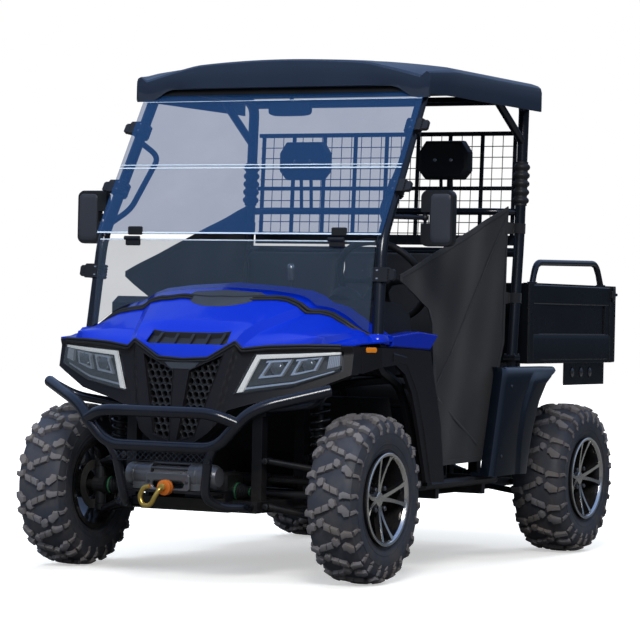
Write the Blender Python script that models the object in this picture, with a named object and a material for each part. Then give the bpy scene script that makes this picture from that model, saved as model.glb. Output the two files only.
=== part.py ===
# Two-seat utility vehicle with an open cab, roof, windscreen, side nets and a tipping cargo bed.
# Metres, +Z up. The front faces -Y and +X is the driver's left-hand side.
# The origin is on the ground, midway between the axles and on the centre line.
import math

import bmesh
import bpy
from mathutils import Matrix, Vector

# Fits between pieces
TOUCH = 0.0003
RUNNING = 0.0008
MOVING = 0.006

# Wheels and tracks
WHEELBASE = 1.85
FRONT_HALF_TRACK = 0.600
REAR_HALF_TRACK = 0.585
TYRE_RADIUS = 0.304
FRONT_TYRE_WIDTH = 0.200
REAR_TYRE_WIDTH = 0.235
RIM_LIP_RADIUS = 0.167
RIM_WALL = 0.007
RIM_DISH = 0.034
HUB_RADIUS = 0.050
SPINDLE_RADIUS = 0.017
SPINDLE_LENGTH = 0.145
BRAKE_DISC_RADIUS = 0.090
RIM_LIP_INSET = 0.004
SPOKE_PAIRS = 4
SPOKE_SPREAD = (math.radians(7), math.radians(15))
WHEEL_SIDES = 24
LUG_PITCHES = 13
LUG_SHARES = (0.0, 0.10, 0.50, 0.60)
LUG_DEPTH = 0.013
LUG_SLANT = 0.16

# Steering
KINGPIN_INSET = 0.100
KNUCKLE_RADIUS = 0.038
KNUCKLE_HALF_HEIGHT = 0.070
STEERING_ARM = 0.090
RACK_RADIUS = 0.012
RACK_RISE = 0.041
STEERING_WHEEL_RADIUS = 0.175
STEERING_WHEEL_CENTRE = Vector((0.320, -0.250, 1.090))
COLUMN_TILT = math.radians(35)
COLUMN_GAP = 0.040
COLUMN_BORE = 0.035
STEERING_SHAFT = 0.010

# Ladder frame
RAIL_X = 0.260
RAIL_WIDTH = 0.050
RAIL_HEIGHT = 0.035
RAIL_DROP = 0.054
FRAME_FRONT = -1.140
FRAME_REAR = 1.190
CROSS_INSET = 0.004
UPRIGHT = 0.040
ARM_SPREAD = 0.160
UPPER_PIVOT_RISE = 0.126
SHOCK_SEAT_RISE = 0.098
TOWER_TOP = 0.660
SILL_X = 0.575
SILL_HEIGHT = 0.325
SILL_RADIUS = 0.018
SKID_THICKNESS = 0.006
SKID_LIP_HALF_WIDTH = 0.180

# Roll cage
CAGE_HEIGHT = 1.800
CAGE_TUBE = 0.021
PILLAR_FOOT = Vector((0.6045, -0.8525, 0.842))
PILLAR_BEND = Vector((0.589, -0.803, 1.225))
PILLAR_TOP = Vector((0.578, -0.447, CAGE_HEIGHT))
REAR_PILLAR_X = 0.610
REAR_PILLAR_FOOT = Vector((REAR_PILLAR_X, 0.328, 0.800))
REAR_PILLAR_KNEE = Vector((REAR_PILLAR_X, 0.377, 1.265))
REAR_PILLAR_TOP = Vector((REAR_PILLAR_X, 0.400, CAGE_HEIGHT))
FOOT_PLATE = 0.010
FOOT_PLATE_HALF = 0.025
CLAMP_RADIUS = 0.030
CLAMP_LENGTH = 0.052
SCREEN_SHEET = 0.004
SCREEN_HALF_WIDTH = 0.600

# Roof
ROOF_HALF_WIDTH = 0.672
ROOF_FRONT = -0.515
ROOF_REAR = 0.430
ROOF_CROWN = CAGE_HEIGHT + 0.128
ROOF_CAMBER = 0.042
ROOF_SKIRT = 0.112
ROOF_WALL = 0.006

# Nose
HOOD_WALL = 0.005
HOOD_HALF_WIDTH = 0.612
FENDER_X = 0.608
FENDER_FLARE = 0.036
FLARE_LENGTH = 0.088
FENDER_WALL = 0.014

# Bull bar
BULL_TUBE = 0.021
BULL_FRONT = -1.378

# Winch
WINCH_Y = -1.235
WINCH_PLATE_TOP = 0.320
HOOK_X = 0.010

# Cab
FLOOR_TOP = SILL_HEIGHT + SILL_RADIUS + TOUCH + 0.008
FLOOR_WALL = 0.008
FLOOR_BEARERS = (-0.260, 0.160)
CAB_HALF_WIDTH = 0.550
DASH_BAR = Vector((0.0, -0.800, 0.765))
SEAT_DECK = 0.600
SEAT_RISER_Y = -0.130
DECK_REAR_Y = 0.300

# Cargo bed
BED_HALF_WIDTH = 0.625
BED_FRONT = 0.450
BED_REAR = 1.350
BED_BOTTOM = 0.775
BED_TOP = 1.098
BED_WALL = 0.025
PRESSING_DEPTH = 0.006
GATE_WALL = 0.016
GATE_GAP = 0.008
GATE_PIN = 0.005
BED_HINGE = Vector((0.260, 1.150, 0.705))
HINGE_PIN = 0.008
GATE_HINGE_DROP = 0.012

# Bed strut
STRUT_X = 0.200
STRUT_FOOT = Vector((STRUT_X, 0.550, 0.480))
STRUT_EYE = Vector((STRUT_X, 0.850, 0.730))
STRUT_BODY = 0.014
STRUT_ROD = 0.006
STRUT_PIN = 0.006

RACK_HEIGHT = TYRE_RADIUS + RACK_RISE
RAIL_BOTTOM = TYRE_RADIUS - RAIL_DROP
FRONT_AXLE = -WHEELBASE / 2
REAR_AXLE = WHEELBASE / 2
RAIL_TOP = RAIL_BOTTOM + RAIL_HEIGHT
CROSS_TOP = RAIL_TOP - CROSS_INSET


def material(name, colour, roughness, metallic=0.0):
    found = bpy.data.materials.get(name)
    if found:
        return found
    made = bpy.data.materials.new(name)
    made.use_nodes = True
    shader = made.node_tree.nodes["Principled BSDF"]
    shader.inputs["Base Color"].default_value = (*colour, 1.0)
    shader.inputs["Roughness"].default_value = roughness
    shader.inputs["Metallic"].default_value = metallic
    return made


def tube_paint():
    return material("tube_paint", (0.012, 0.013, 0.018), 0.25, 0.2)


def frame_paint():
    return material("frame_paint", (0.015, 0.015, 0.017), 0.45, 0.2)


def roof_plastic():
    return material("roof_plastic", (0.016, 0.019, 0.030), 0.45)


def body_paint():
    return material("body_paint", (0.004, 0.060, 0.700), 0.18)


def fascia_plastic():
    return material("fascia_plastic", (0.018, 0.018, 0.020), 0.55)


def gloss_plastic():
    return material("gloss_plastic", (0.010, 0.010, 0.013), 0.15)


def bed_steel():
    return material("bed_steel", (0.012, 0.012, 0.014), 0.40, 0.3)


def tyre_rubber():
    return material("tyre_rubber", (0.025, 0.026, 0.030), 0.80)


def rim_metal():
    return material("rim_metal", (0.060, 0.060, 0.065), 0.25, 0.9)


def clear_sheet():
    return material("clear_sheet", (0.550, 0.700, 0.850), 0.05)


def lamp_lens():
    return material("lamp_lens", (0.700, 0.720, 0.750), 0.10)


def net_fabric():
    return material("net_fabric", (0.020, 0.020, 0.022), 0.90)


def seat_fabric():
    return material("seat_fabric", (0.030, 0.030, 0.033), 0.85)


def cast_metal():
    return material("cast_metal", (0.300, 0.300, 0.310), 0.40, 0.9)


def winch_grey():
    return material("winch_grey", (0.250, 0.250, 0.260), 0.35, 0.7)


def hook_zinc():
    return material("hook_zinc", (0.600, 0.400, 0.120), 0.35, 0.8)


def clear_scene():
    for item in list(bpy.data.objects):
        bpy.data.objects.remove(item, do_unlink=True)


def finished(solid):
    bmesh.ops.recalc_face_normals(solid, faces=solid.faces)
    return solid


def loft(sections, closed=False):
    """Solid through rings of points with equal counts, capped at both ends unless it closes."""
    solid = bmesh.new()
    rings = [[solid.verts.new(point) for point in section] for section in sections]
    pairs = list(zip(rings, rings[1:]))
    if closed:
        pairs.append((rings[-1], rings[0]))
    count = len(rings[0])
    for ring, following in pairs:
        for index in range(count):
            after = (index + 1) % count
            solid.faces.new((ring[index], ring[after], following[after], following[index]))
    if not closed:
        solid.faces.new(rings[0])
        solid.faces.new(rings[-1])
    return finished(solid)


def prism(outline, axis, low, high):
    """Solid with an outline of two coordinates, drawn out along the named axis."""
    place = {
        "X": lambda a, b, along: (along, a, b),
        "Y": lambda a, b, along: (a, along, b),
        "Z": lambda a, b, along: (a, b, along),
    }[axis]
    return loft([[place(a, b, along) for a, b in outline] for along in (low, high)])


def block(low, high):
    return prism([(low[0], low[1]), (high[0], low[1]), (high[0], high[1]), (low[0], high[1])],
                 "Z", low[2], high[2])


def rounded(corners, bend, steps=2):
    """Route through the corners, with each inner corner rounded."""
    corners = [Vector(corner) for corner in corners]
    route = [corners[0]]
    for before, corner, after in zip(corners, corners[1:], corners[2:]):
        towards = before - corner
        away = after - corner
        reach = min(bend, 0.45 * towards.length, 0.45 * away.length)
        start = corner + towards.normalized() * reach
        end = corner + away.normalized() * reach
        for step in range(steps + 1):
            share = step / steps
            route.append(start.lerp(corner, share).lerp(corner.lerp(end, share), share))
    route.append(corners[-1])
    return route


def first_corner(axis):
    """Direction of the first corner of a round section: sideways, or up where the axis runs sideways."""
    axis = Vector(axis).normalized()
    towards = Vector((0, 0, 1)) if abs(axis.x) > 0.7 else Vector((1, 0, 0))
    return (towards - axis * towards.dot(axis)).normalized()


def bisector(route, index):
    """Direction halfway between the stretches before and after a point of a route."""
    ways = [(after - before).normalized() for before, after in zip(route, route[1:])]
    return (ways[max(index - 1, 0)] + ways[min(index, len(ways) - 1)]).normalized()


def tube(corners, radius, bend=0.07, sides=8):
    """Round bar along a route with rounded corners."""
    route = rounded(corners, bend)
    normal = first_corner(route[1] - route[0])
    sections = []
    for index, point in enumerate(route):
        ahead = bisector(route, index)
        normal = (normal - ahead * normal.dot(ahead)).normalized()
        across = ahead.cross(normal)
        turns = [2 * math.pi * side / sides for side in range(sides)]
        sections.append([point + radius * (math.cos(turn) * normal + math.sin(turn) * across)
                         for turn in turns])
    return loft(sections)


def turned(profile, centre, axis, segments=24, closed=False):
    """Solid of revolution; the profile gives (distance along the axis, radius)."""
    centre = Vector(centre)
    axis = Vector(axis).normalized()
    normal = first_corner(axis)
    across = axis.cross(normal)
    solid = bmesh.new()
    rings = []
    for along, radius in profile:
        middle = centre + axis * along
        if radius < 1e-6:
            rings.append([solid.verts.new(middle)])
            continue
        turns = [2 * math.pi * step / segments for step in range(segments)]
        rings.append([solid.verts.new(middle + radius * (math.cos(turn) * normal + math.sin(turn) * across))
                      for turn in turns])
    pairs = list(zip(rings, rings[1:]))
    if closed:
        pairs.append((rings[-1], rings[0]))
    for ring, following in pairs:
        for index in range(segments):
            after = (index + 1) % segments
            if len(ring) == 1:
                solid.faces.new((ring[0], following[after], following[index]))
            elif len(following) == 1:
                solid.faces.new((ring[index], ring[after], following[0]))
            else:
                solid.faces.new((ring[index], ring[after], following[after], following[index]))
    if not closed:
        for ring in (rings[0], rings[-1]):
            if len(ring) > 1:
                solid.faces.new(ring)
    return finished(solid)


def rod(start, end, radius, segments=12):
    start = Vector(start)
    end = Vector(end)
    return turned([(0.0, radius), ((end - start).length, radius)], start, end - start, segments)


def shell(grid, thickness):
    """Closed skin from a grid of surface points and the vector from its face to its back."""
    solid = bmesh.new()
    face = [[solid.verts.new(point) for point in row] for row in grid]
    back = [[solid.verts.new(Vector(point) + Vector(thickness)) for point in row] for row in grid]
    rows = len(grid)
    columns = len(grid[0])
    for row in range(rows - 1):
        for column in range(columns - 1):
            corners = ((row, column), (row, column + 1), (row + 1, column + 1), (row + 1, column))
            solid.faces.new([face[a][b] for a, b in corners])
            solid.faces.new([back[a][b] for a, b in reversed(corners)])
    rim = [(0, column) for column in range(columns)]
    rim += [(row, columns - 1) for row in range(1, rows)]
    rim += [(rows - 1, column) for column in range(columns - 2, -1, -1)]
    rim += [(row, 0) for row in range(rows - 2, 0, -1)]
    for (a, b), (c, d) in zip(rim, rim[1:] + rim[:1]):
        solid.faces.new((face[a][b], face[c][d], back[c][d], back[a][b]))
    bmesh.ops.triangulate(solid, faces=solid.faces)
    return finished(solid)


def folded(path, thickness, low, high):
    """Sheet bent along a path of (y, z) points, drawn out along X between low and high."""
    points = [Vector(point) for point in path]
    outer = []
    inner = []
    for index, point in enumerate(points):
        ahead = bisector(points, index)
        before = (point - points[max(index - 1, 0)]).normalized() if index else ahead
        side = Vector((-ahead.y, ahead.x))
        reach = thickness / 2 / max(0.5, ahead.dot(before))
        outer.append(tuple(point + side * reach))
        inner.append(tuple(point - side * reach))
    return prism(outer + inner[::-1], "X", low, high)


def mirrored(solid, side):
    """The solid itself for side 1, or its mirror image across the centre line for side -1."""
    if side < 0:
        bmesh.ops.transform(solid, matrix=Matrix.Scale(-1, 4, (1, 0, 0)), verts=solid.verts)
        finished(solid)
    return solid


def both(make_solid):
    """Left and right copies of a solid that a function makes for the left-hand side."""
    return [mirrored(make_solid(), 1), mirrored(make_solid(), -1)]


def scratch_object(solid):
    mesh = bpy.data.meshes.new("scratch")
    solid.to_mesh(mesh)
    solid.free()
    item = bpy.data.objects.new("scratch", mesh)
    bpy.context.scene.collection.objects.link(item)
    return item


def combined(solids, cutters):
    """One mesh: the solids joined, less the cutters."""
    joined = [scratch_object(solid) for solid in solids]
    removed = [scratch_object(solid) for solid in cutters]
    groups = []
    for operation, members in (("UNION", joined[1:]), ("DIFFERENCE", removed)):
        if not members:
            continue
        group = bpy.data.collections.new("operands")
        bpy.context.scene.collection.children.link(group)
        for member in members:
            group.objects.link(member)
        change = joined[0].modifiers.new(operation, "BOOLEAN")
        change.operation = operation
        change.operand_type = "COLLECTION"
        change.collection = group
        change.solver = "EXACT"
        groups.append(group)
    depsgraph = bpy.context.evaluated_depsgraph_get()
    mesh = bpy.data.meshes.new_from_object(joined[0].evaluated_get(depsgraph))
    for item in joined + removed:
        bpy.data.objects.remove(item, do_unlink=True)
    for group in groups:
        bpy.data.collections.remove(group)
    return mesh


def flatten_splits(mesh):
    """Join the pieces into which a cut has split each flat face."""
    solid = bmesh.new()
    solid.from_mesh(mesh)
    bmesh.ops.dissolve_limit(solid, angle_limit=math.radians(0.05), verts=solid.verts, edges=solid.edges)
    solid.to_mesh(mesh)
    solid.free()


def make(name, solids, finish, cutters=(), origin=(0.0, 0.0, 0.0), crease=35):
    """Object of one closed solid with its origin at the given point."""
    mesh = combined(solids, cutters)
    flatten_splits(mesh)
    mesh.name = name
    mesh.transform(Matrix.Translation(-Vector(origin)))
    mesh.materials.clear()
    mesh.materials.append(finish)
    mesh.shade_smooth()
    mesh.set_sharp_from_angle(angle=math.radians(crease))
    item = bpy.data.objects.new(name, mesh)
    item.location = origin
    bpy.context.scene.collection.objects.link(item)
    return item


def side_name(stem, side):
    return f"{stem}_left" if side > 0 else f"{stem}_right"


def foot_plate(place, low, high):
    """Bolting plate of the cage or of its post, between two heights about the joint face."""
    return block((place.x - FOOT_PLATE_HALF, place.y - FOOT_PLATE_HALF, place.z + low),
                 (place.x + FOOT_PLATE_HALF, place.y + FOOT_PLATE_HALF, place.z + high))


# Ladder frame, sills and the supports of the cage and the bed
def frame_solids():
    solids = []
    for side in (1, -1):
        rail = block((RAIL_X - RAIL_WIDTH / 2, FRAME_FRONT, RAIL_BOTTOM),
                     (RAIL_X + RAIL_WIDTH / 2, FRAME_REAR, RAIL_TOP))
        solids.append(mirrored(rail, side))
    cross_places = (FRAME_FRONT + 0.025, FRONT_AXLE - 0.115, FRONT_AXLE + 0.105, -0.30, 0.08, 0.38,
                    REAR_AXLE - 0.115, REAR_AXLE + 0.105, FRAME_REAR - 0.025)
    for y in cross_places:
        solids.append(block((-RAIL_X, y - 0.02, RAIL_BOTTOM + CROSS_INSET), (RAIL_X, y + 0.02, CROSS_TOP)))
    half = UPRIGHT / 2
    for side in (1, -1):
        for axle in (FRONT_AXLE, REAR_AXLE):
            for y in (axle - ARM_SPREAD, axle + ARM_SPREAD):
                upright = block((RAIL_X - half, y - half, RAIL_TOP - 0.01),
                                (RAIL_X + half, y + half, TOWER_TOP))
                solids.append(mirrored(upright, side))
        front_top = block((RAIL_X - 0.022, FRONT_AXLE - 0.20, TOWER_TOP - 0.01),
                          (RAIL_X + 0.022, FRONT_AXLE + 0.20, TOWER_TOP + 0.03))
        solids.append(mirrored(front_top, side))
        bed_rest = block((RAIL_X - 0.022, BED_FRONT + 0.02, TOWER_TOP - 0.01),
                         (RAIL_X + 0.022, BED_HINGE.y - 0.06, TOWER_TOP + 0.03))
        solids.append(mirrored(bed_rest, side))
        strut_post = block((RAIL_X - half, STRUT_FOOT.y - 0.07, RAIL_TOP - 0.01),
                           (RAIL_X + half, STRUT_FOOT.y - 0.03, TOWER_TOP))
        solids.append(mirrored(strut_post, side))
        lug = prism([(BED_HINGE.y - 0.10, TOWER_TOP), (BED_HINGE.y + 0.012, BED_HINGE.z - 0.020),
                     (BED_HINGE.y + 0.020, BED_HINGE.z), (BED_HINGE.y + 0.012, BED_HINGE.z + 0.016),
                     (BED_HINGE.y - 0.012, BED_HINGE.z + 0.016), (BED_HINGE.y - 0.10, TOWER_TOP + 0.025)],
                    "X", BED_HINGE.x - 0.010, BED_HINGE.x + 0.010)
        solids.append(mirrored(lug, side))
        for axle, reach in ((FRONT_AXLE, 0.445), (REAR_AXLE, 0.420)):
            bracket = block((RAIL_X, axle - 0.025, TOWER_TOP), (reach, axle + 0.025, TOWER_TOP + 0.026))
            solids.append(mirrored(bracket, side))
        sill = tube([(SILL_X - 0.30, -0.42, RAIL_TOP - 0.01), (SILL_X, -0.44, SILL_HEIGHT),
                     (SILL_X, 0.30, SILL_HEIGHT), (SILL_X - 0.30, 0.30, RAIL_TOP - 0.01)],
                    SILL_RADIUS, 0.05, 8)
        solids.append(mirrored(sill, side))
        for y in FLOOR_BEARERS:
            bearer = block((RAIL_X, y - 0.015, RAIL_BOTTOM + 0.02),
                           (SILL_X, y + 0.015, SILL_HEIGHT + SILL_RADIUS))
            solids.append(mirrored(bearer, side))
        panel_face = FENDER_X + FENDER_FLARE - FENDER_WALL - TOUCH
        for low, high in (((-0.615, 0.690), (-0.585, 0.710)),
                          ((-0.465, SILL_HEIGHT + 0.003), (-0.425, SILL_HEIGHT + 0.047))):
            tab = block((SILL_X, low[0], low[1]), (panel_face, high[0], high[1]))
            solids.append(mirrored(tab, side))
        foot = PILLAR_FOOT
        for place in (PILLAR_FOOT, REAR_PILLAR_FOOT):
            solids.append(mirrored(foot_plate(place, -FOOT_PLATE, -TOUCH), side))
        pillar_post = tube([(SILL_X, -0.42, SILL_HEIGHT), (SILL_X, -0.48, SILL_HEIGHT + 0.17),
                            (SILL_X, -0.60, 0.70), (foot.x, foot.y + 0.004, foot.z - 0.075),
                            (foot.x, foot.y, foot.z - FOOT_PLATE / 2)], SILL_RADIUS, 0.06, 6)
        solids.append(mirrored(pillar_post, side))
        rear_post = tube([(SILL_X, 0.285, SILL_HEIGHT), (REAR_PILLAR_X, REAR_PILLAR_FOOT.y, 0.62),
                          REAR_PILLAR_FOOT - Vector((0, 0, FOOT_PLATE / 2))], SILL_RADIUS, 0.06, 6)
        solids.append(mirrored(rear_post, side))
        brace = tube([(RAIL_X, FRONT_AXLE + 0.19, TOWER_TOP + 0.01), (0.45, -0.72, 0.71),
                      (SILL_X + 0.007, -0.66, 0.724)], SILL_RADIUS - 0.003, 0.05, 6)
        solids.append(mirrored(brace, side))
        stay = tube([(RAIL_X, STRUT_FOOT.y - 0.05, TOWER_TOP - 0.02), (0.45, 0.36, TOWER_TOP - 0.02),
                     (REAR_PILLAR_X, REAR_PILLAR_FOOT.y, TOWER_TOP - 0.02)], SILL_RADIUS - 0.003, 0.05, 6)
        solids.append(mirrored(stay, side))
    half = PILLAR_FOOT.x - 0.010
    solids.append(rod((-half, DASH_BAR.y, DASH_BAR.z), (half, DASH_BAR.y, DASH_BAR.z), SILL_RADIUS, 8))
    solids.append(block((-0.165, WINCH_Y - 0.050, WINCH_PLATE_TOP - 0.008),
                        (0.165, FRAME_FRONT + 0.010, WINCH_PLATE_TOP)))
    solids += both(lambda: block((0.150, FRAME_FRONT - 0.020, CROSS_TOP - 0.010),
                                 (0.165, FRAME_FRONT + 0.035, WINCH_PLATE_TOP - 0.001)))
    strut_y = STRUT_FOOT.y - 0.05
    solids.append(block((-RAIL_X, strut_y - 0.016, STRUT_FOOT.z - 0.02),
                        (RAIL_X, strut_y + 0.016, STRUT_FOOT.z + 0.02)))
    solids.append(block((STRUT_X - 0.026, strut_y, STRUT_FOOT.z - 0.012),
                        (STRUT_X - 0.016, STRUT_FOOT.y + 0.012, STRUT_FOOT.z + 0.012)))
    solids.append(rod((STRUT_X - 0.020, STRUT_FOOT.y, STRUT_FOOT.z),
                      (STRUT_X + 0.008, STRUT_FOOT.y, STRUT_FOOT.z),
                      STRUT_PIN, 12))
    rack_y = FRONT_AXLE + STEERING_ARM
    solids.append(block((-RAIL_X, rack_y + 0.016, RACK_HEIGHT - 0.018),
                        (RAIL_X, rack_y + 0.075, RACK_HEIGHT + 0.018)))
    solids.append(rod((-0.170, rack_y, RACK_HEIGHT), (0.170, rack_y, RACK_HEIGHT), RACK_RADIUS + 0.014, 14))
    return solids


def make_main_frame():
    rack_y = FRONT_AXLE + STEERING_ARM
    bore = rod((-0.20, rack_y, RACK_HEIGHT), (0.20, rack_y, RACK_HEIGHT), RACK_RADIUS + RUNNING, 14)
    cutters = [bore]
    for side in (1, -1):
        hinge = Vector((BED_HINGE.x * side, BED_HINGE.y, BED_HINGE.z))
        reach = Vector((0.03, 0, 0))
        cutters.append(rod(hinge - reach, hinge + reach, HINGE_PIN + RUNNING, 12))
    make("main_frame", frame_solids(), frame_paint(), cutters)


def make_skid_plate():
    top = RAIL_BOTTOM - TOUCH - SKID_THICKNESS / 2
    lip_path = [(FRAME_FRONT - 0.055, RAIL_TOP + 0.008), (FRAME_FRONT - 0.022, top),
                (FRAME_FRONT + 0.05, top)]
    lip = folded(lip_path, SKID_THICKNESS, -SKID_LIP_HALF_WIDTH, SKID_LIP_HALF_WIDTH)
    plate = folded([(FRAME_FRONT, top), (FRAME_REAR - 0.30, top)], SKID_THICKNESS - 0.0004,
                   -RAIL_X - 0.02, RAIL_X + 0.02)
    make("skid_plate", [plate, lip], frame_paint())


def make_floor_pan():
    middle = FLOOR_TOP - FLOOR_WALL / 2
    path = [(-0.640, 0.655), (-0.560, 0.440), (-0.470, middle), (SEAT_RISER_Y, middle),
            (SEAT_RISER_Y, SEAT_DECK - FLOOR_WALL / 2), (DECK_REAR_Y, SEAT_DECK - FLOOR_WALL / 2),
            (DECK_REAR_Y, 0.80)]
    pan = folded(path, FLOOR_WALL, -CAB_HALF_WIDTH, CAB_HALF_WIDTH)
    make("floor_pan", [pan], fascia_plastic())


def make_dashboard():
    front = DASH_BAR.y + SILL_RADIUS + TOUCH
    outline = [(front, 0.740), (front, 0.985), (-0.740, 1.010), (-0.560, 1.000), (-0.490, 0.960),
               (-0.470, 0.900), (-0.500, 0.790), (-0.560, 0.740)]
    board = prism(outline, "X", -0.555, 0.555)
    along = Vector((0, math.cos(COLUMN_TILT), math.sin(COLUMN_TILT)))
    top = STEERING_WHEEL_CENTRE - along * COLUMN_GAP
    column = rod(STEERING_WHEEL_CENTRE - along * 0.330, top, 0.024, 12)
    bore = rod(top - along * COLUMN_BORE, top + along * 0.010, STEERING_SHAFT + RUNNING, 12)
    make("dashboard", [board, column], fascia_plastic(), [bore])


# Surfaces of the nose
def front_face(x, z):
    """Y of the nose at a place across and up the front of the vehicle."""
    return -1.195 - 0.20 * (0.80 - z) + 0.51 * max(0.0, abs(x) - 0.20) ** 1.5


def interpolate(stations, value):
    """Value on a line of (place, height) stations."""
    for (low, low_height), (high, high_height) in zip(stations, stations[1:]):
        if value <= high:
            share = (value - low) / (high - low)
            return low_height + (high_height - low_height) * max(0.0, share)
    return stations[-1][1]


# Creases of the hood, each as x at the nose, then (x, z) at the middle and at the rear.
HOOD_CREASES = ((0.0, (0.0, 0.926), (0.0, 1.035)),
                (0.103, (0.120, 0.924), (0.180, 1.025)),
                (0.160, (0.190, 0.921), (0.280, 1.014)),
                (0.207, (0.233, 0.916), (0.330, 0.999)),
                (0.234, (0.262, 0.889), (0.362, 0.975)),
                (0.330, (0.345, 0.890), (0.405, 0.970)),
                (0.400, (0.410, 0.884), (0.450, 0.960)),
                (0.450, (0.460, 0.880), (0.500, 0.934)),
                (0.520, (0.525, 0.875), (0.560, 0.890)),
                (0.612, (0.612, 0.864), (0.612, 0.866)))
VENT_FRONT_Y = -1.172
VENT_REAR_Y = -1.132
VENT_HALF_WIDTH = 0.160
VENT_FIN = 0.010
VENT_SLOTS = 5
HOOD_MIDDLE_Y = -1.095
HOOD_REAR_Y = -0.860
HOOD_END_Y = -0.790


def fender_front():
    """Y of the seam where the fender meets the back of the nose."""
    return front_face(FENDER_X, 0.80) + FASCIA_DEPTH + 0.010


def flare(y):
    """How far the fender stands out beyond the nose at a place along the vehicle."""
    share = (y - fender_front()) / FLARE_LENGTH
    return FENDER_FLARE * min(1.0, max(0.0, share))


def hood_point(crease, y):
    """Point on one crease of the hood at a place along the vehicle."""
    nose_x, (middle_x, middle_z), (rear_x, rear_z) = crease
    nose_y = front_face(nose_x, 0.85) + 0.004
    nose_z = interpolate(FASCIA_TOP, nose_x) + HOOD_WALL + TOUCH
    if nose_y < HOOD_MIDDLE_Y:
        share = (y - nose_y) / (HOOD_MIDDLE_Y - nose_y)
        if share < 1.0:
            share = max(0.0, share)
            return nose_x + (middle_x - nose_x) * share, nose_z + (middle_z - nose_z) * share ** 0.75
        share = (y - HOOD_MIDDLE_Y) / (HOOD_REAR_Y - HOOD_MIDDLE_Y)
        return middle_x + (rear_x - middle_x) * share, middle_z + (rear_z - middle_z) * share
    share = (y - nose_y) / (HOOD_REAR_Y - nose_y)
    return nose_x + (rear_x - nose_x) * share, nose_z + (rear_z - nose_z) * share


def hood_height(x, y):
    """Height of the hood's surface at a place across and along the vehicle."""
    return interpolate([hood_point(crease, y) for crease in HOOD_CREASES], abs(x))


def hood_grid():
    creases = [(crease, -1) for crease in HOOD_CREASES[:0:-1]] + [(crease, 1) for crease in HOOD_CREASES]
    grid = []
    for share in (0.0, 0.12, 0.30, 0.55, 0.80, 1.0):
        row = []
        for crease, side in creases:
            nose_y = front_face(crease[0], 0.85) + 0.004
            y = nose_y + (HOOD_END_Y - nose_y) * share
            x, z = hood_point(crease, y)
            outboard = max(0.0, (x - 0.50) / (HOOD_HALF_WIDTH - 0.50))
            row.append((side * (x + flare(y) * outboard), y, z))
        grid.append(row)
    return grid


def vent_slots():
    """Cutters for the slots of the hood's vent; the strips left between them are its slanted fins."""
    pitch = 2 * VENT_HALF_WIDTH / VENT_SLOTS
    slots = []
    for index in range(VENT_SLOTS):
        low = -VENT_HALF_WIDTH + index * pitch + VENT_FIN / 2
        high = low + pitch - VENT_FIN
        slots.append(prism([(low - 0.006, VENT_FRONT_Y), (high - 0.006, VENT_FRONT_Y),
                            (high + 0.006, VENT_REAR_Y), (low + 0.006, VENT_REAR_Y)], "Z", 0.840, 0.940))
    return slots


def make_hood():
    skin = shell(hood_grid(), (0, 0, -HOOD_WALL))
    outer = HOOD_HALF_WIDTH + FENDER_FLARE
    start = HOOD_END_Y - 0.028
    outline = [(start, 0.846), (-0.500, 0.833), (-0.440, 0.888), (-0.60, 0.900), (start, 0.882)]
    wings = both(lambda: prism(outline, "X", outer - 0.055, outer + 0.002))
    holes = both(lambda: rod(PILLAR_FOOT - Vector((0, 0, 0.04)), PILLAR_FOOT + Vector((0, 0.009, 0.06)),
                             CAGE_TUBE + 0.004, 16))
    make("hood", [skin] + wings, body_paint(), holes + vent_slots())


def headlight_outline(grow=0.0):
    inner_bottom = (0.222 - 1.6 * grow, 0.668 - grow)
    return [inner_bottom, (0.285 - grow, 0.812 + 0.8 * grow), (0.571 + grow, 0.826 + grow),
            (0.575 + grow, 0.757 - grow), (0.420, 0.700 - grow)]


def headlight_solid(grow=0.0, front=0.0, depth=0.060):
    outline = headlight_outline(grow)
    sections = [[(x, front_face(x, z) + offset, z) for x, z in outline] for offset in (front, depth)]
    return loft(sections)


def make_headlight(side):
    """Lens with two shallow round wells in front of its projectors."""
    wells = []
    for x, z in ((0.345, 0.752), (0.465, 0.772)):
        front = front_face(x, z)
        wells.append(rod((x, front - 0.030, z), (x, front + 0.012, z), 0.024, 16))
    solid = mirrored(headlight_solid(), side)
    make(side_name("headlight", side), [solid], lamp_lens(), [mirrored(well, side) for well in wells])


FASCIA_TOP = ((0.0, 0.786), (0.103, 0.792), (0.207, 0.853), (0.234, 0.827), (0.330, 0.839), (0.450, 0.845),
              (0.608, 0.847))
FASCIA_BOTTOM = ((0.0, 0.485), (0.085, 0.492), (0.140, 0.530), (0.200, 0.610), (0.300, 0.640),
                 (0.450, 0.672),
                 (0.608, 0.745))
FASCIA_DEPTH = 0.075
GRILLE_FRONT = 0.0148
GRILLE_BACK = 0.032
GRILLE_TOP = ((0.036, 0.743), (0.160, 0.799))
GRILLE_BOTTOM = ((0.018, 0.500), (0.080, 0.523))
GRILLE_MARGIN = 0.0155
CELL_PITCH = 0.028
CELL_WIDTH = 0.0205
CELL_STRETCH = 1.08


def fascia_solid():
    columns = [0.0, 0.085, 0.103, 0.140, 0.207, 0.234, 0.300, 0.380, 0.450, 0.530, FENDER_X]
    columns = [-x for x in columns[:0:-1]] + columns
    grid = []
    for share in (0.0, 0.5, 1.0):
        row = []
        for x in columns:
            top = interpolate(FASCIA_TOP, abs(x))
            z = top + (interpolate(FASCIA_BOTTOM, abs(x)) - top) * share
            row.append((x, front_face(x, z), z))
        grid.append(row)
    end = block((FENDER_X - FENDER_WALL, fender_front() - 0.040, 0.750),
                (FENDER_X - 0.001, fender_front(), 0.843))
    return [shell(grid, (0, FASCIA_DEPTH, 0)), end, mirrored(end.copy(), -1)]


def on_face(outline, front, back):
    """Solid with an outline of (x, z) points, between two depths behind the nose."""
    return loft([[(x, front_face(x, z) + depth, z) for x, z in outline] for depth in (front, back)])


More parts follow.
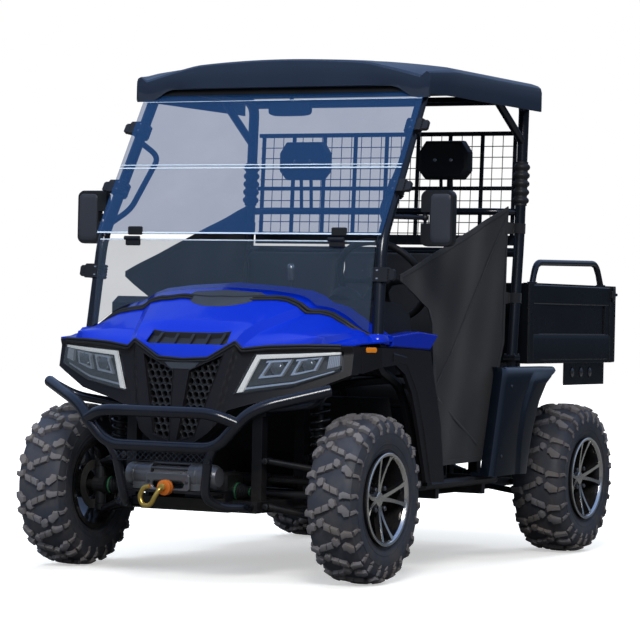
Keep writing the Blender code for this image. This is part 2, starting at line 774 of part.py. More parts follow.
def grille_window():
    """Outline of the left-hand window of the grille, at one side of the fascia's centre column."""
    return [GRILLE_TOP[0], GRILLE_TOP[1], GRILLE_BOTTOM[1], GRILLE_BOTTOM[0]]


def grille_outline(grow=0.0):
    """Outline of the whole plate behind both windows."""
    half = [(0.0, 0.749 + grow), (0.034, 0.749 + grow), (0.166 + grow, 0.808 + grow),
            (0.086 + grow, 0.517 - grow),
            (0.0, 0.494 - grow)]
    return half + [(-x, z) for x, z in half[-2:0:-1]]


def cell_places():
    """Centres of the honeycomb's whole cells, in rows half a pitch apart, on both sides of the column."""
    places = []
    rows = int((GRILLE_TOP[1][1] - GRILLE_BOTTOM[0][1]) / (CELL_PITCH * 0.866))
    for row in range(rows):
        z = GRILLE_BOTTOM[0][1] + GRILLE_MARGIN + row * CELL_PITCH * 0.866
        height = (z - GRILLE_BOTTOM[1][1]) / (GRILLE_TOP[1][1] - GRILLE_BOTTOM[1][1])
        inner = GRILLE_BOTTOM[0][0] + (GRILLE_TOP[0][0] - GRILLE_BOTTOM[0][0]) * height + GRILLE_MARGIN
        outer = GRILLE_BOTTOM[1][0] + (GRILLE_TOP[1][0] - GRILLE_BOTTOM[1][0]) * height - GRILLE_MARGIN
        for column in range(7):
            x = (column + (row % 2) / 2) * CELL_PITCH + 0.010
            top = interpolate(GRILLE_TOP, x) - GRILLE_MARGIN
            if inner <= x <= outer and z <= top:
                places += [(x, z), (-x, z)]
    return places


def cell(x, z):
    """Six-sided cutter through the grille's plate, a little taller than it is wide."""
    reach = CELL_WIDTH / 2 / math.cos(math.radians(30))
    corners = [(x + reach * math.cos(turn), z + reach * CELL_STRETCH * math.sin(turn))
               for turn in (math.radians(30 + 60 * corner) for corner in range(6))]
    return on_face(corners, GRILLE_FRONT - 0.010, GRILLE_BACK + 0.010)


def make_front_fascia():
    """Nose panel with pockets for the lamps and, on both sides of its centre column, for the grille."""
    pockets = both(lambda: headlight_solid(TOUCH, -0.02, 2 * FASCIA_DEPTH))
    pockets += both(lambda: on_face(grille_window(), -0.02, GRILLE_FRONT))
    pockets.append(on_face(grille_outline(TOUCH), GRILLE_FRONT - TOUCH, 2 * FASCIA_DEPTH))
    make("front_fascia", fascia_solid(), fascia_plastic(), pockets)


def make_grille():
    plate = on_face(grille_outline(), GRILLE_FRONT, GRILLE_BACK)
    make("grille", [plate], fascia_plastic(), [cell(x, z) for x, z in cell_places()])


def make_side_panel(side):
    front = fender_front() + TOUCH
    full = front + FLARE_LENGTH
    inner = FENDER_X - FENDER_WALL
    outline = [(full, 0.772), (-0.777, 0.779), (-0.700, 0.745), (-0.640, 0.675), (-0.593, 0.577),
               (-0.505, SILL_HEIGHT + 0.020), (-0.349, SILL_HEIGHT + 0.013), (-0.390, 0.560),
               (-0.490, 0.826), (-0.600, 0.834), (full, 0.840)]
    panel = prism(outline, "X", inner + FENDER_FLARE, FENDER_X + FENDER_FLARE)
    sections = []
    for y, low, high, shift in ((front, 0.748, 0.845, 0.0), (full, 0.7725, 0.8395, FENDER_FLARE - 0.0004),
                                (full + 0.010, 0.7725, 0.8395, FENDER_FLARE - 0.0004)):
        sections.append([(inner + shift, y, low), (FENDER_X + shift, y, low), (FENDER_X + shift, y, high),
                         (inner + shift, y, high)])
    make(side_name("side_panel", side), [mirrored(part, side) for part in (panel, loft(sections))],
         fascia_plastic())


def make_bull_bar():
    upper = [(0.579, -1.167, 0.690), (0.376, -1.308, 0.644), (0.225, BULL_FRONT, 0.603)]
    upper = upper + [(-x, y, z) for x, y, z in reversed(upper)]
    lower = [(0.306, -1.338, 0.600), (0.222, -1.335, 0.478)]
    lower = lower + [(-x, y, z) for x, y, z in reversed(lower)]
    solids = [tube(upper, BULL_TUBE, 0.06), tube(lower, BULL_TUBE, 0.06)]
    rail_middle = RAIL_BOTTOM + RAIL_HEIGHT / 2
    solids += both(lambda: tube([(0.210, -1.335, 0.478), (0.188, -1.329, 0.440), (0.165, -1.310, 0.300),
                                 (0.200, -1.240, rail_middle), (RAIL_X - 0.005, -1.190, rail_middle),
                                 (RAIL_X - 0.005, FRAME_FRONT - TOUCH, rail_middle)], 0.017, 0.04, 8))
    front_upright = FRONT_AXLE - ARM_SPREAD
    foot_x = RAIL_X + UPRIGHT / 2 + TOUCH
    solids += both(lambda: tube([(0.569, -1.170, 0.688), (0.500, -1.110, 0.640),
                                 (foot_x + 0.006, front_upright, 0.610)],
                                0.016, 0.05, 8))
    solids += both(lambda: block((foot_x, front_upright - 0.020, 0.585),
                                 (foot_x + 0.012, front_upright + 0.020, 0.635)))
    plate = block((-0.200, -1.345, 0.425), (0.200, -1.339, 0.470))
    make("bull_bar", solids + [plate], tube_paint())


def make_winch():
    axis_height = WINCH_PLATE_TOP + 0.052
    stretches = (((-0.085, 0.085), 0.034), ((-0.185, -0.075), 0.042), ((0.075, 0.185), 0.046))
    solids = [rod((low, WINCH_Y, axis_height), (high, WINCH_Y, axis_height), radius)
              for (low, high), radius in stretches]
    solids.append(block((-0.150, WINCH_Y - 0.040, WINCH_PLATE_TOP + TOUCH),
                        (0.150, WINCH_Y + 0.045, axis_height - 0.025)))
    solids.append(block((-0.090, WINCH_Y - 0.052, WINCH_PLATE_TOP + TOUCH + 0.0004),
                        (0.090, WINCH_Y - 0.038, axis_height + 0.010)))
    make("winch", solids, winch_grey())


def make_winch_hook():
    fairlead = WINCH_Y - 0.052 - TOUCH
    height = WINCH_PLATE_TOP + 0.016
    stopper = rod((HOOK_X, fairlead - 0.045, height), (HOOK_X, fairlead - 0.018, height), 0.024, 12)
    shank = rod((HOOK_X, fairlead - 0.025, height), (HOOK_X, fairlead, height), 0.010, 8)
    hook = tube([(HOOK_X, fairlead - 0.040, height), (HOOK_X, fairlead - 0.075, height - 0.004),
                 (HOOK_X - 0.015, fairlead - 0.085, height - 0.040),
                 (HOOK_X - 0.050, fairlead - 0.080, height - 0.058),
                 (HOOK_X - 0.072, fairlead - 0.075, height - 0.020)], 0.008, 0.02, 6)
    make("winch_hook", [stopper, shank, hook], hook_zinc())


# Roll cage with the windscreen clamps, grab handles and mirror arms
def pillar_point(height):
    low, high = (PILLAR_FOOT, PILLAR_BEND) if height < PILLAR_BEND.z else (PILLAR_BEND, PILLAR_TOP)
    return low.lerp(high, (height - low.z) / (high.z - low.z))


def pillar_height(share):
    """Height of a place on the raked stretch of the front pillar."""
    return PILLAR_BEND.z + (PILLAR_TOP.z - PILLAR_BEND.z) * share


def rear_pillar_point(height):
    low, high = ((REAR_PILLAR_FOOT, REAR_PILLAR_KNEE) if height < REAR_PILLAR_KNEE.z
                 else (REAR_PILLAR_KNEE, REAR_PILLAR_TOP))
    return low.lerp(high, (height - low.z) / (high.z - low.z))


BELLOWS_RIBS = 5
BELLOWS_PITCH = 0.033
BELLOWS_RADIUS = 0.033
NET_STRAPS = (1.310, 1.035)
CLAMP_SHARES = (0.332, 0.734)
GRIP_SHARES = (0.113, 0.652)
MIRROR_HEIGHT = PILLAR_BEND.z + 0.090
MIRROR_PIN = 0.006
MIRROR_PIN_HALF = 0.034
MIRROR_NOTCH_HALF = 0.018
MIRROR_ARM_END = Vector((0.682, -0.640, MIRROR_HEIGHT))


def clamp_solid(height):
    """Clamp round the pillar, with a flat face for the screen and a tab on its outer side."""
    middle = pillar_point(height)
    along = (pillar_point(height + 0.01) - pillar_point(height - 0.01)).normalized()
    ahead = Vector((0, -along.z, along.y)).normalized()
    across = Vector((1, 0, 0))
    back = CLAMP_RADIUS * 0.9
    outline = [(-0.018, CLAMP_RADIUS), (0.040, CLAMP_RADIUS), (0.048, 0.018), (back, 0.008), (back, -0.014),
               (0.014, -back), (-0.014, -back), (-back, -0.014), (-back, 0.016)]
    sections = [[middle + along * reach + across * x + ahead * y for x, y in outline]
                for reach in (-CLAMP_LENGTH / 2, CLAMP_LENGTH / 2)]
    return loft(sections)


def cage_side():
    roof_front = PILLAR_TOP + Vector((0.004, 0.115, 0.034))
    roof_rear = REAR_PILLAR_TOP + Vector((-0.004, -0.06, 0.034))
    lift = Vector((0, 0, FOOT_PLATE / 2))
    hoop = tube([PILLAR_FOOT + lift, PILLAR_BEND, PILLAR_TOP, roof_front, roof_rear,
                 REAR_PILLAR_TOP, REAR_PILLAR_KNEE, REAR_PILLAR_FOOT + lift], CAGE_TUBE, 0.06, 8)
    brace = tube([rear_pillar_point(CAGE_HEIGHT - 0.150),
                  (REAR_PILLAR_X - 0.008, 0.100, CAGE_HEIGHT + 0.032)],
                 0.016, 0.05, 8)
    solids = [hoop, brace]
    solids += [foot_plate(place, 0, FOOT_PLATE) for place in (PILLAR_FOOT, REAR_PILLAR_FOOT)]
    solids.append(clamp_solid(PILLAR_BEND.z - 0.125))
    for share in CLAMP_SHARES:
        solids.append(clamp_solid(pillar_height(share)))
    inward = Vector((-0.010, 0.010, 0))
    grip_low, grip_high = [pillar_point(pillar_height(share)) + inward for share in GRIP_SHARES]
    solids.append(tube([grip_low, grip_low + Vector((-0.045, 0.055, 0.05)),
                        grip_high + Vector((-0.045, 0.055, -0.05)), grip_high], 0.011, 0.04, 6))
    arm_root = pillar_point(MIRROR_HEIGHT)
    solids.append(tube([arm_root, arm_root + Vector((0.03, 0.03, 0.0)), MIRROR_ARM_END], 0.009, 0.03, 6))
    pin = Vector((0, 0, MIRROR_PIN_HALF))
    solids.append(rod(MIRROR_ARM_END - pin, MIRROR_ARM_END + pin, MIRROR_PIN, 10))
    bellows = []
    for step in range(BELLOWS_RIBS):
        bellows += [(BELLOWS_PITCH * step, CAGE_TUBE + 0.001),
                    (BELLOWS_PITCH * (step + 0.5), BELLOWS_RADIUS)]
    bellows.append((BELLOWS_PITCH * BELLOWS_RIBS, CAGE_TUBE + 0.001))
    foot = rear_pillar_point(CAGE_HEIGHT - 0.395)
    solids.append(turned(bellows, foot, rear_pillar_point(CAGE_HEIGHT - 0.200) - foot, 8))
    return solids


def make_roll_cage():
    solids = []
    for side in (1, -1):
        solids += [mirrored(solid, side) for solid in cage_side()]
    front = PILLAR_TOP + Vector((0, 0.05, 0.018))
    rear = REAR_PILLAR_TOP + Vector((0, -0.01, 0.018))
    solids.append(rod((-front.x, front.y, front.z), (front.x, front.y, front.z), 0.018, 8))
    solids.append(rod((-rear.x, rear.y, rear.z), (rear.x, rear.y, rear.z), 0.018, 8))
    belt = rear_pillar_point(1.215)
    solids.append(rod((-belt.x, belt.y, belt.z), (belt.x, belt.y, belt.z), 0.018, 8))
    make("roll_cage", solids, tube_paint())


def roof_section(y):
    """Outer and inner faces of the roof's shell at one station, as a closed ring of points."""
    front_share = max(0.0, (-0.36 - y) / (-0.36 - ROOF_FRONT))
    half = ROOF_HALF_WIDTH - 0.045 * front_share ** 2
    top = [(x / 8 * half * 0.93, ROOF_CROWN - ROOF_CAMBER * (x / 8) ** 2 - 0.012 * front_share)
           for x in range(-8, 9)]
    edge = ROOF_CROWN - ROOF_CAMBER - 0.012
    skirt_bottom = edge - ROOF_SKIRT + 0.012
    outer = [(-half, skirt_bottom), (-half, edge - 0.016)] + top + [(half, edge - 0.016),
                                                                    (half, skirt_bottom)]
    inner = []
    for x, z in reversed(outer):
        shift = ROOF_WALL if abs(x) >= half else 0.0
        inner.append((x - math.copysign(shift, x),
                      z if abs(x) >= half and z <= skirt_bottom else z - ROOF_WALL))
    return [(x, y, z) for x, z in outer + inner]


def make_roof():
    stations = [ROOF_FRONT, -0.470, -0.400, -0.200, 0.0, 0.200, ROOF_REAR]
    skin = loft([roof_section(y) for y in stations])
    front_edge = [(x, z) for x, y, z in roof_section(ROOF_FRONT)[1:20]]
    drop = [(x, ROOF_CROWN - 0.116) for x, z in (front_edge[-1], front_edge[0])]
    front_wall = prism(front_edge + drop, "Y", ROOF_FRONT + 0.0002, ROOF_FRONT + ROOF_WALL)
    rear_edge = [(x, z) for x, y, z in roof_section(ROOF_REAR)[1:20]]
    rear_drop = [(x, ROOF_CROWN - 0.078) for x, z in (rear_edge[-1], rear_edge[0])]
    rear_wall = prism([(x * 0.998, z - 0.0004) for x, z in rear_edge] + rear_drop, "Y",
                      ROOF_REAR - ROOF_WALL,
                      ROOF_REAR - 0.0002)
    rails = both(lambda: block((REAR_PILLAR_X - 0.030, -0.280, CAGE_HEIGHT + 0.0555),
                               (REAR_PILLAR_X + 0.010, 0.300, CAGE_HEIGHT + 0.084)))
    make("roof", [skin, front_wall, rear_wall] + rails, roof_plastic())


def screen_solid(low_height, high_height, half_width, bottom=None):
    """Clear sheet that rests on the clamps in front of the pillars."""
    along = (pillar_point(high_height) - pillar_point(low_height)).normalized()
    ahead = Vector((0, -along.z, along.y)).normalized()
    sections = []
    for offset in (CLAMP_RADIUS + TOUCH, CLAMP_RADIUS + TOUCH + SCREEN_SHEET):
        top = pillar_point(high_height) + ahead * offset
        low = pillar_point(low_height) + ahead * offset
        ring = [(half_width, top.y, top.z), (-half_width, top.y, top.z)]
        edge = bottom or [(-half_width, 0.0), (half_width, 0.0)]
        ring += [(x, low.y - rise * along.y / along.z, low.z - rise) for x, rise in edge]
        sections.append(ring)
    return loft(sections)


def make_windshield():
    make("windshield_upper", [screen_solid(PILLAR_BEND.z + 0.002, PILLAR_TOP.z - 0.005, SCREEN_HALF_WIDTH)],
         clear_sheet())
    low_height = 1.060
    edge = []
    for x in (0.580, 0.500, 0.450, 0.370, 0.310, 0.180, 0.0):
        edge.append((x, low_height - hood_height(x, HOOD_REAR_Y) - 0.010))
    edge = [(-x, rise) for x, rise in edge] + [(x, rise) for x, rise in reversed(edge[:-1])]
    make("windshield_lower", [screen_solid(low_height, PILLAR_BEND.z - 0.004, 0.580, edge)], clear_sheet())


def make_rear_screen():
    slope = (REAR_PILLAR_TOP.y - REAR_PILLAR_KNEE.y) / (REAR_PILLAR_TOP.z - REAR_PILLAR_KNEE.z)
    back = REAR_PILLAR_KNEE.y + CAGE_TUBE + TOUCH
    half = REAR_PILLAR_X
    low = REAR_PILLAR_KNEE.z + 0.010
    high = CAGE_HEIGHT - 0.110
    inner = REAR_PILLAR_X - BELLOWS_RADIUS - 0.004
    solids = [block((-reach, back, z - 0.008), (reach, back + 0.010, z + 0.008))
              for z, reach in ((low, half), ((low + high) / 2 - 0.012, inner), (high, half))]
    count = 8
    for step in range(count + 1):
        x = (inner - 0.008) * (2 * step / count - 1)
        width = 0.008 if step in (0, count) else 0.004
        solids.append(block((x - width, back + 0.001, low), (x + width, back + 0.009, high)))
    for solid in solids:
        for corner in solid.verts:
            corner.co.y += slope * (corner.co.z - REAR_PILLAR_KNEE.z)
    make("rear_screen", solids, tube_paint())


def make_seat(side):
    outline = [(-0.115, SEAT_DECK + TOUCH), (-0.130, 0.680), (-0.100, 0.725), (0.110, 0.712), (0.185, 1.200),
               (0.210, 1.235), (0.250, 1.230), (0.270, 1.190), (0.235, 0.760), (0.220, SEAT_DECK + TOUCH)]
    cushion = prism([(y, z) for y, z in outline], "X", 0.075, 0.530)
    make(side_name("seat", side), [mirrored(cushion, side)], seat_fabric(), crease=50)


def make_headrest_bar():
    height = CAGE_HEIGHT - 0.425
    y = rear_pillar_point(height).y
    end = REAR_PILLAR_X - CAGE_TUBE - TOUCH
    front = y - 0.060
    bend = end - 0.040
    bar = tube([(-end, y, height), (-bend, y, height), (-0.50, front, height), (0.50, front, height),
                (bend, y, height), (end, y, height)], 0.014, 0.05, 6)
    base = height + 0.125
    heads = both(lambda: prism([(0.205, base), (0.205, base + 0.130), (0.235, base + 0.155),
                                (0.395, base + 0.155),
                                (0.425, base + 0.130), (0.425, base)], "Y", front - 0.045, front + 0.010))
    stems = both(lambda: block((0.285, front - 0.008, height), (0.345, front + 0.006, base + 0.020)))
    make("headrest_bar", [bar] + heads + stems, fascia_plastic())


def make_engine_block():
    block_solid = block((-0.200, 0.010, CROSS_TOP + TOUCH), (0.200, 0.420, 0.560))
    pipe = tube([(-0.10, 0.400, 0.420), (-0.10, 0.520, 0.400), (-0.12, 0.740, 0.420), (-0.12, 1.05, 0.500)],
                0.020, 0.06, 8)
    silencer = rod((-0.22, 1.065, 0.520), (0.12, 1.065, 0.520), 0.065, 18)
    make("engine_block", [block_solid, pipe, silencer], cast_metal())


def make_rear_fender(side):
    low = SILL_HEIGHT + 0.030
    arch = [(0.360, low - 0.018), (0.400, 0.480), (0.470, 0.620), (0.560, 0.710), (0.660, 0.745)]
    skin = prism([(-0.040, 0.765), (0.028, low)] + arch + [(0.655, 0.764)], "X", 0.650, 0.664)
    inner = [(0.318, low - 0.010), (0.352, 0.500), (0.425, 0.652), (0.520, 0.742), (0.530, 0.7635)]
    rim = prism(arch + [(0.655, 0.7635)] + inner[::-1], "X", 0.6635, 0.672)
    top = block((0.593, -0.030, 0.7500), (0.655, 0.290, 0.7640))
    rear_top = block((0.635, 0.290, 0.7505), (0.655, 0.600, 0.7635))
    lip = prism([(-0.040, 0.765), (0.028, low), (0.042, low), (-0.026, 0.765)], "X", 0.600, 0.655)
    sill_top = SILL_HEIGHT + SILL_RADIUS + TOUCH
    flange = block((SILL_X - 0.010, 0.040, sill_top), (0.655, 0.240, sill_top + 0.014))
    solids = [skin, rim, top, rear_top, lip, flange]
    make(side_name("rear_fender", side), [mirrored(part, side) for part in solids], gloss_plastic())


def make_side_net(side):
    straps = []
    for height in NET_STRAPS:
        tie = rear_pillar_point(height).y + 0.004
        straps += [(0.314, height + 0.026), (tie, height + 0.022), (tie - 0.003, height - 0.022),
                   (0.312, height - 0.026)]
    outline = [(-0.640, 1.105), (0.315, 1.395)] + straps + [
        (0.300, 0.860), (0.120, 0.425), (-0.300, 0.415), (-0.330, 0.700), (-0.365, 0.930), (-0.400, 0.985),
        (-0.640, 1.085)]
    net = prism(outline, "X", REAR_PILLAR_X - CAGE_TUBE - 0.0063, REAR_PILLAR_X - CAGE_TUBE - TOUCH)
    make(side_name("side_net", side), [mirrored(net, side)], net_fabric())


# Suspension, drive and steering
def arm_solids(axle, inner_x, inner_z, tip, radius=0.013):
    legs = [rod((inner_x + 0.014, axle + way * ARM_SPREAD, inner_z), tip, radius, 6) for way in (-1, 1)]
    pivots = [rod((inner_x + 0.012, axle + way * ARM_SPREAD - 0.022, inner_z),
                  (inner_x + 0.012, axle + way * ARM_SPREAD + 0.022, inner_z), 0.0117, 8) for way in (-1, 1)]
    return legs + pivots


def shock_profile(length):
    profile = [(0.0, 0.012), (0.020, 0.012), (0.021, 0.018)]
    coils = 3
    start = 0.030
    pitch = (length - 2 * start) / coils
    for turn in range(coils):
        profile += [(start + pitch * turn, 0.022), (start + pitch * (turn + 0.5), 0.030)]
    profile += [(length - start, 0.022), (length - 0.021, 0.018), (length - 0.020, 0.012), (length, 0.012)]
    return profile


def make_front_arms(side):
    kingpin = FRONT_HALF_TRACK - KINGPIN_INSET
    half = KNUCKLE_HALF_HEIGHT + TOUCH
    low_tip = Vector((kingpin, FRONT_AXLE, TYRE_RADIUS - half - 0.012))
    lower = arm_solids(FRONT_AXLE, RAIL_X + RAIL_WIDTH / 2 + TOUCH, RAIL_BOTTOM + RAIL_HEIGHT / 2,
                       low_tip - Vector((0.012, 0, 0.008)))
    lower.append(rod(low_tip - Vector((0, 0, 0.012)), low_tip + Vector((0, 0, 0.012)), 0.022, 10))
    make(side_name("front_lower_arm", side), [mirrored(part, side) for part in lower], frame_paint())
    high_tip = Vector((kingpin, FRONT_AXLE, TYRE_RADIUS + half + 0.012))
    upper = arm_solids(FRONT_AXLE, RAIL_X + UPRIGHT / 2 + TOUCH, TYRE_RADIUS + UPPER_PIVOT_RISE, high_tip,
                       0.012)
    seat = Vector((0.420, FRONT_AXLE, TYRE_RADIUS + SHOCK_SEAT_RISE))
    way = Vector((0, 0.062, 0))
    upper.append(rod(high_tip - Vector((0, 0, 0.012)), high_tip + Vector((0, 0, 0.012)), 0.022, 10))
    upper.append(rod(seat - way, seat + way, 0.012, 6))
    top = TOWER_TOP - TOUCH
    upper.append(turned(shock_profile(top - seat.z), seat, (0, 0, 1), 8))
    make(side_name("front_upper_arm", side), [mirrored(part, side) for part in upper], frame_paint())


def make_rear_suspension(side):
    hub_x = REAR_HALF_TRACK - REAR_TYRE_WIDTH / 2 - 0.005
    carrier = block((hub_x - 0.030, REAR_AXLE - 0.035, TYRE_RADIUS - 0.089),
                    (hub_x + 0.010, REAR_AXLE + 0.035, TYRE_RADIUS + 0.101))
    spindle_end = REAR_HALF_TRACK - KINGPIN_INSET + SPINDLE_LENGTH
    spindle = rod((hub_x - 0.01, REAR_AXLE, TYRE_RADIUS), (spindle_end, REAR_AXLE, TYRE_RADIUS),
                  SPINDLE_RADIUS, 16)
    lower = arm_solids(REAR_AXLE, RAIL_X + RAIL_WIDTH / 2 + TOUCH, RAIL_BOTTOM + RAIL_HEIGHT / 2,
                       (hub_x - 0.010, REAR_AXLE, TYRE_RADIUS - 0.079))
    upper = arm_solids(REAR_AXLE, RAIL_X + UPRIGHT / 2 + TOUCH, TYRE_RADIUS + UPPER_PIVOT_RISE,
                       (hub_x - 0.010, REAR_AXLE, TYRE_RADIUS + 0.096), 0.012)
    foot = Vector((0.385, REAR_AXLE, TYRE_RADIUS + SHOCK_SEAT_RISE + 0.006))
    way = Vector((0, 0.070, 0))
    seat = rod(foot - way, foot + way, 0.012, 6)
    top = TOWER_TOP - TOUCH
    shock = turned(shock_profile(top - foot.z), foot, (0, 0, 1), 8)
    parts = [carrier, spindle, seat, shock] + lower + upper
    make(side_name("rear_suspension", side), [mirrored(part, side) for part in parts], frame_paint())


def boot_profile(length):
    profile = []
    ribs = 3
    for rib in range(ribs):
        wide = 0.022 + 0.012 * rib / (ribs - 1)
        profile += [(length * rib / ribs, wide - 0.006), (length * (rib + 0.5) / ribs, wide)]
    profile.append((length, 0.034))
    return profile


def make_drive(name, axle, reach):
    centre_z = TYRE_RADIUS
    case = block((-0.080, axle - 0.075, RAIL_BOTTOM + 0.006), (0.080, axle + 0.055, centre_z + 0.071))
    ears = block((-0.060, axle - 0.133, CROSS_TOP + TOUCH), (0.060, axle + 0.120, CROSS_TOP + 0.014))
    shaft = rod((-reach + 0.01, axle, centre_z), (reach - 0.01, axle, centre_z), 0.013, 8)
    boots = both(lambda: turned(boot_profile(0.070), (reach - 0.070, axle, centre_z), (1, 0, 0), 8))
    boots += both(lambda: turned(boot_profile(0.060), (0.145, axle, centre_z), (-1, 0, 0), 8))
    make(name, [case, ears, shaft] + boots, cast_metal())


def make_knuckle(side):
    kingpin = Vector(((FRONT_HALF_TRACK - KINGPIN_INSET), FRONT_AXLE, TYRE_RADIUS))
    body = rod(kingpin - Vector((0, 0, KNUCKLE_HALF_HEIGHT)), kingpin + Vector((0, 0, KNUCKLE_HALF_HEIGHT)),
               0.020, 14)
    boss = rod(kingpin - Vector((0.030, 0, 0)), kingpin + Vector((0.022, 0, 0)), KNUCKLE_RADIUS - 0.006, 16)
    spindle = rod(kingpin, kingpin + Vector((SPINDLE_LENGTH, 0, 0)), SPINDLE_RADIUS, 16)
    arm_z = RACK_HEIGHT + RACK_RADIUS + MOVING
    arm = block((kingpin.x - 0.014, kingpin.y, arm_z), (kingpin.x + 0.010, kingpin.y + STEERING_ARM + 0.012,
                                                       arm_z + 0.010))
    parts = [body, boss, spindle, arm]
    make(side_name("knuckle", side), [mirrored(part, side) for part in parts], cast_metal(),
         origin=(kingpin.x * side, kingpin.y, kingpin.z))


def make_steering_rack():
    y = FRONT_AXLE + STEERING_ARM
    end = FRONT_HALF_TRACK - KINGPIN_INSET
    bar = rod((-end + 0.004, y, RACK_HEIGHT), (end - 0.004, y, RACK_HEIGHT), RACK_RADIUS, 14)
    make("steering_rack", [bar], cast_metal(), origin=(0, y, RACK_HEIGHT))


def make_steering_wheel():
    along = Vector((0, math.cos(COLUMN_TILT), math.sin(COLUMN_TILT)))
    centre = STEERING_WHEEL_CENTRE
    turns = [2 * math.pi * step / 6 for step in range(6)]
    profile = [(0.014 * math.sin(turn), STEERING_WHEEL_RADIUS + 0.014 * math.cos(turn)) for turn in turns]
    ring = turned(profile, centre, along, 20, closed=True)
    hub = rod(centre - along * (COLUMN_GAP - MOVING), centre + along * 0.004, 0.045, 12)
    shaft = rod(centre - along * (COLUMN_GAP + COLUMN_BORE - 0.004), centre - along * 0.020, STEERING_SHAFT,
                12)
    across = Vector((1, 0, 0))
    down = along.cross(across)
    spokes = []
    for turn in (math.radians(0), math.radians(180), math.radians(90)):
        way = across * math.cos(turn) + down * math.sin(turn)
        spokes.append(rod(centre - along * 0.010, centre - along * 0.002 + way * STEERING_WHEEL_RADIUS,
                          0.009, 6))
    make("steering_wheel", [ring, hub, shaft] + spokes, fascia_plastic(), origin=centre)


# Wheels
def tyre_section(width, share):
    """Outline of a tyre at a share of one pitch of its lugs, as (across, radius, lead round the wheel)."""
    half = width / 2
    widest_step = (LUG_SHARES[2] - LUG_SHARES[1]) * 2 * math.pi / LUG_PITCHES
    bead = (RIM_LIP_RADIUS - RIM_WALL) / math.cos(widest_step / 2)
    groove = TYRE_RADIUS - LUG_DEPTH
    raised = 0.05 < share < 0.55
    points = []
    for side in (-1, 1):
        top = TYRE_RADIUS if raised == (side > 0) else groove
        rows = [(0.04 * half, top, 0.0), (0.66 * half, top - 0.003, LUG_SLANT), (half, top - 0.036, 0.0),
                (half - 0.018, bead, 0.0)]
        rows = [(side * across, radius, lead) for across, radius, lead in rows]
        points += rows if side > 0 else rows[::-1]
    return points


def make_tyre(name, centre, width, side):
    """Tyre with a ring of slanted lugs on each side, the two rings half a pitch apart."""
    pitch = 2 * math.pi / LUG_PITCHES
    sections = []
    for index in range(LUG_PITCHES):
        for share in LUG_SHARES:
            section = []
            for across, radius, lead in tyre_section(width, share):
                turn = (index + share + lead) * pitch
                section.append((across * side, radius * math.sin(turn), radius * math.cos(turn)))
            sections.append(section)
    tyre = loft(sections, closed=True)
    bmesh.ops.translate(tyre, vec=Vector(centre), verts=tyre.verts)
    make(name, [tyre], tyre_rubber(), origin=centre)


def rim_parts(width):
    """Rim of a left-hand wheel about the origin, outer face towards +X."""
    half = width / 2 - RIM_LIP_INSET
    outer = RIM_LIP_RADIUS - RIM_WALL - TOUCH
    profile = [(-half + 0.010, outer), (half - 0.004, outer), (half - 0.002, RIM_LIP_RADIUS),
               (half, RIM_LIP_RADIUS - 0.004), (half - 0.004, outer - 0.009), (-half + 0.010, outer - 0.011)]
    barrel = turned(profile, (0, 0, 0), (1, 0, 0), WHEEL_SIDES, closed=True)
    face = half - RIM_DISH
    disc = -KINGPIN_INSET + 0.030
    centre = turned([(disc, BRAKE_DISC_RADIUS), (disc + 0.006, BRAKE_DISC_RADIUS), (disc + 0.006, 0.030),
                     (face - 0.040, 0.030), (face - 0.040, HUB_RADIUS), (face - 0.004, HUB_RADIUS),
                     (face, 0.030)], (0, 0, 0), (1, 0, 0), 12)
    solids = [barrel, centre]
    for pair in range(SPOKE_PAIRS):
        for way in (1, -1):
            solids.append(spoke(2 * math.pi * pair / SPOKE_PAIRS, way, face, half - 0.008, outer))
    return solids


def spoke(middle, way, hub_face, lip_face, outer):
    """One arm of a twin spoke; the arms of a pair part from each other towards the rim's lip."""
    near, far = SPOKE_SPREAD
    sections = []
    for radius, turn, face, deep, thick in ((0.026, near, hub_face - 0.0045, 0.030, 0.010),
                                            (outer - 0.004, far, lip_face, 0.020, 0.009)):
        centre = middle + way * turn
        across = Vector((0, math.cos(centre), -math.sin(centre)))
        outward = Vector((0, math.sin(centre), math.cos(centre))) * radius
        sections.append([outward + across * wide + Vector((along, 0, 0)) for along, wide in
                         ((face - deep, -thick), (face, -thick * 0.8), (face, thick * 0.8),
                          (face - deep, thick))])
    return loft(sections)


def make_rim(name, centre, width, side):
    solids = rim_parts(width)
    bore = rod((-0.2, 0, 0), (SPINDLE_LENGTH - KINGPIN_INSET + 0.003, 0, 0), SPINDLE_RADIUS + RUNNING, 16)
    parts = []
    for solid in solids + [bore]:
        mirrored(solid, side)
        bmesh.ops.translate(solid, vec=Vector(centre), verts=solid.verts)
        parts.append(solid)
    make(name, parts[:-1], rim_metal(), parts[-1:], origin=centre)


def make_wheels():
    for end, axle, half_track, width in (("front", FRONT_AXLE, FRONT_HALF_TRACK, FRONT_TYRE_WIDTH),
                                         ("rear", REAR_AXLE, REAR_HALF_TRACK, REAR_TYRE_WIDTH)):
        for side in (1, -1):
            centre = (half_track * side, axle, TYRE_RADIUS)
            make_tyre(side_name(f"{end}_tyre", side), centre, width, side)
            make_rim(side_name(f"{end}_rim", side), centre, width, side)


# Cargo bed, tailgate and the strut that lifts the bed
def gate_hinge():
    return Vector((0.0, BED_REAR + GATE_GAP + GATE_WALL / 2, BED_BOTTOM + GATE_HINGE_DROP))


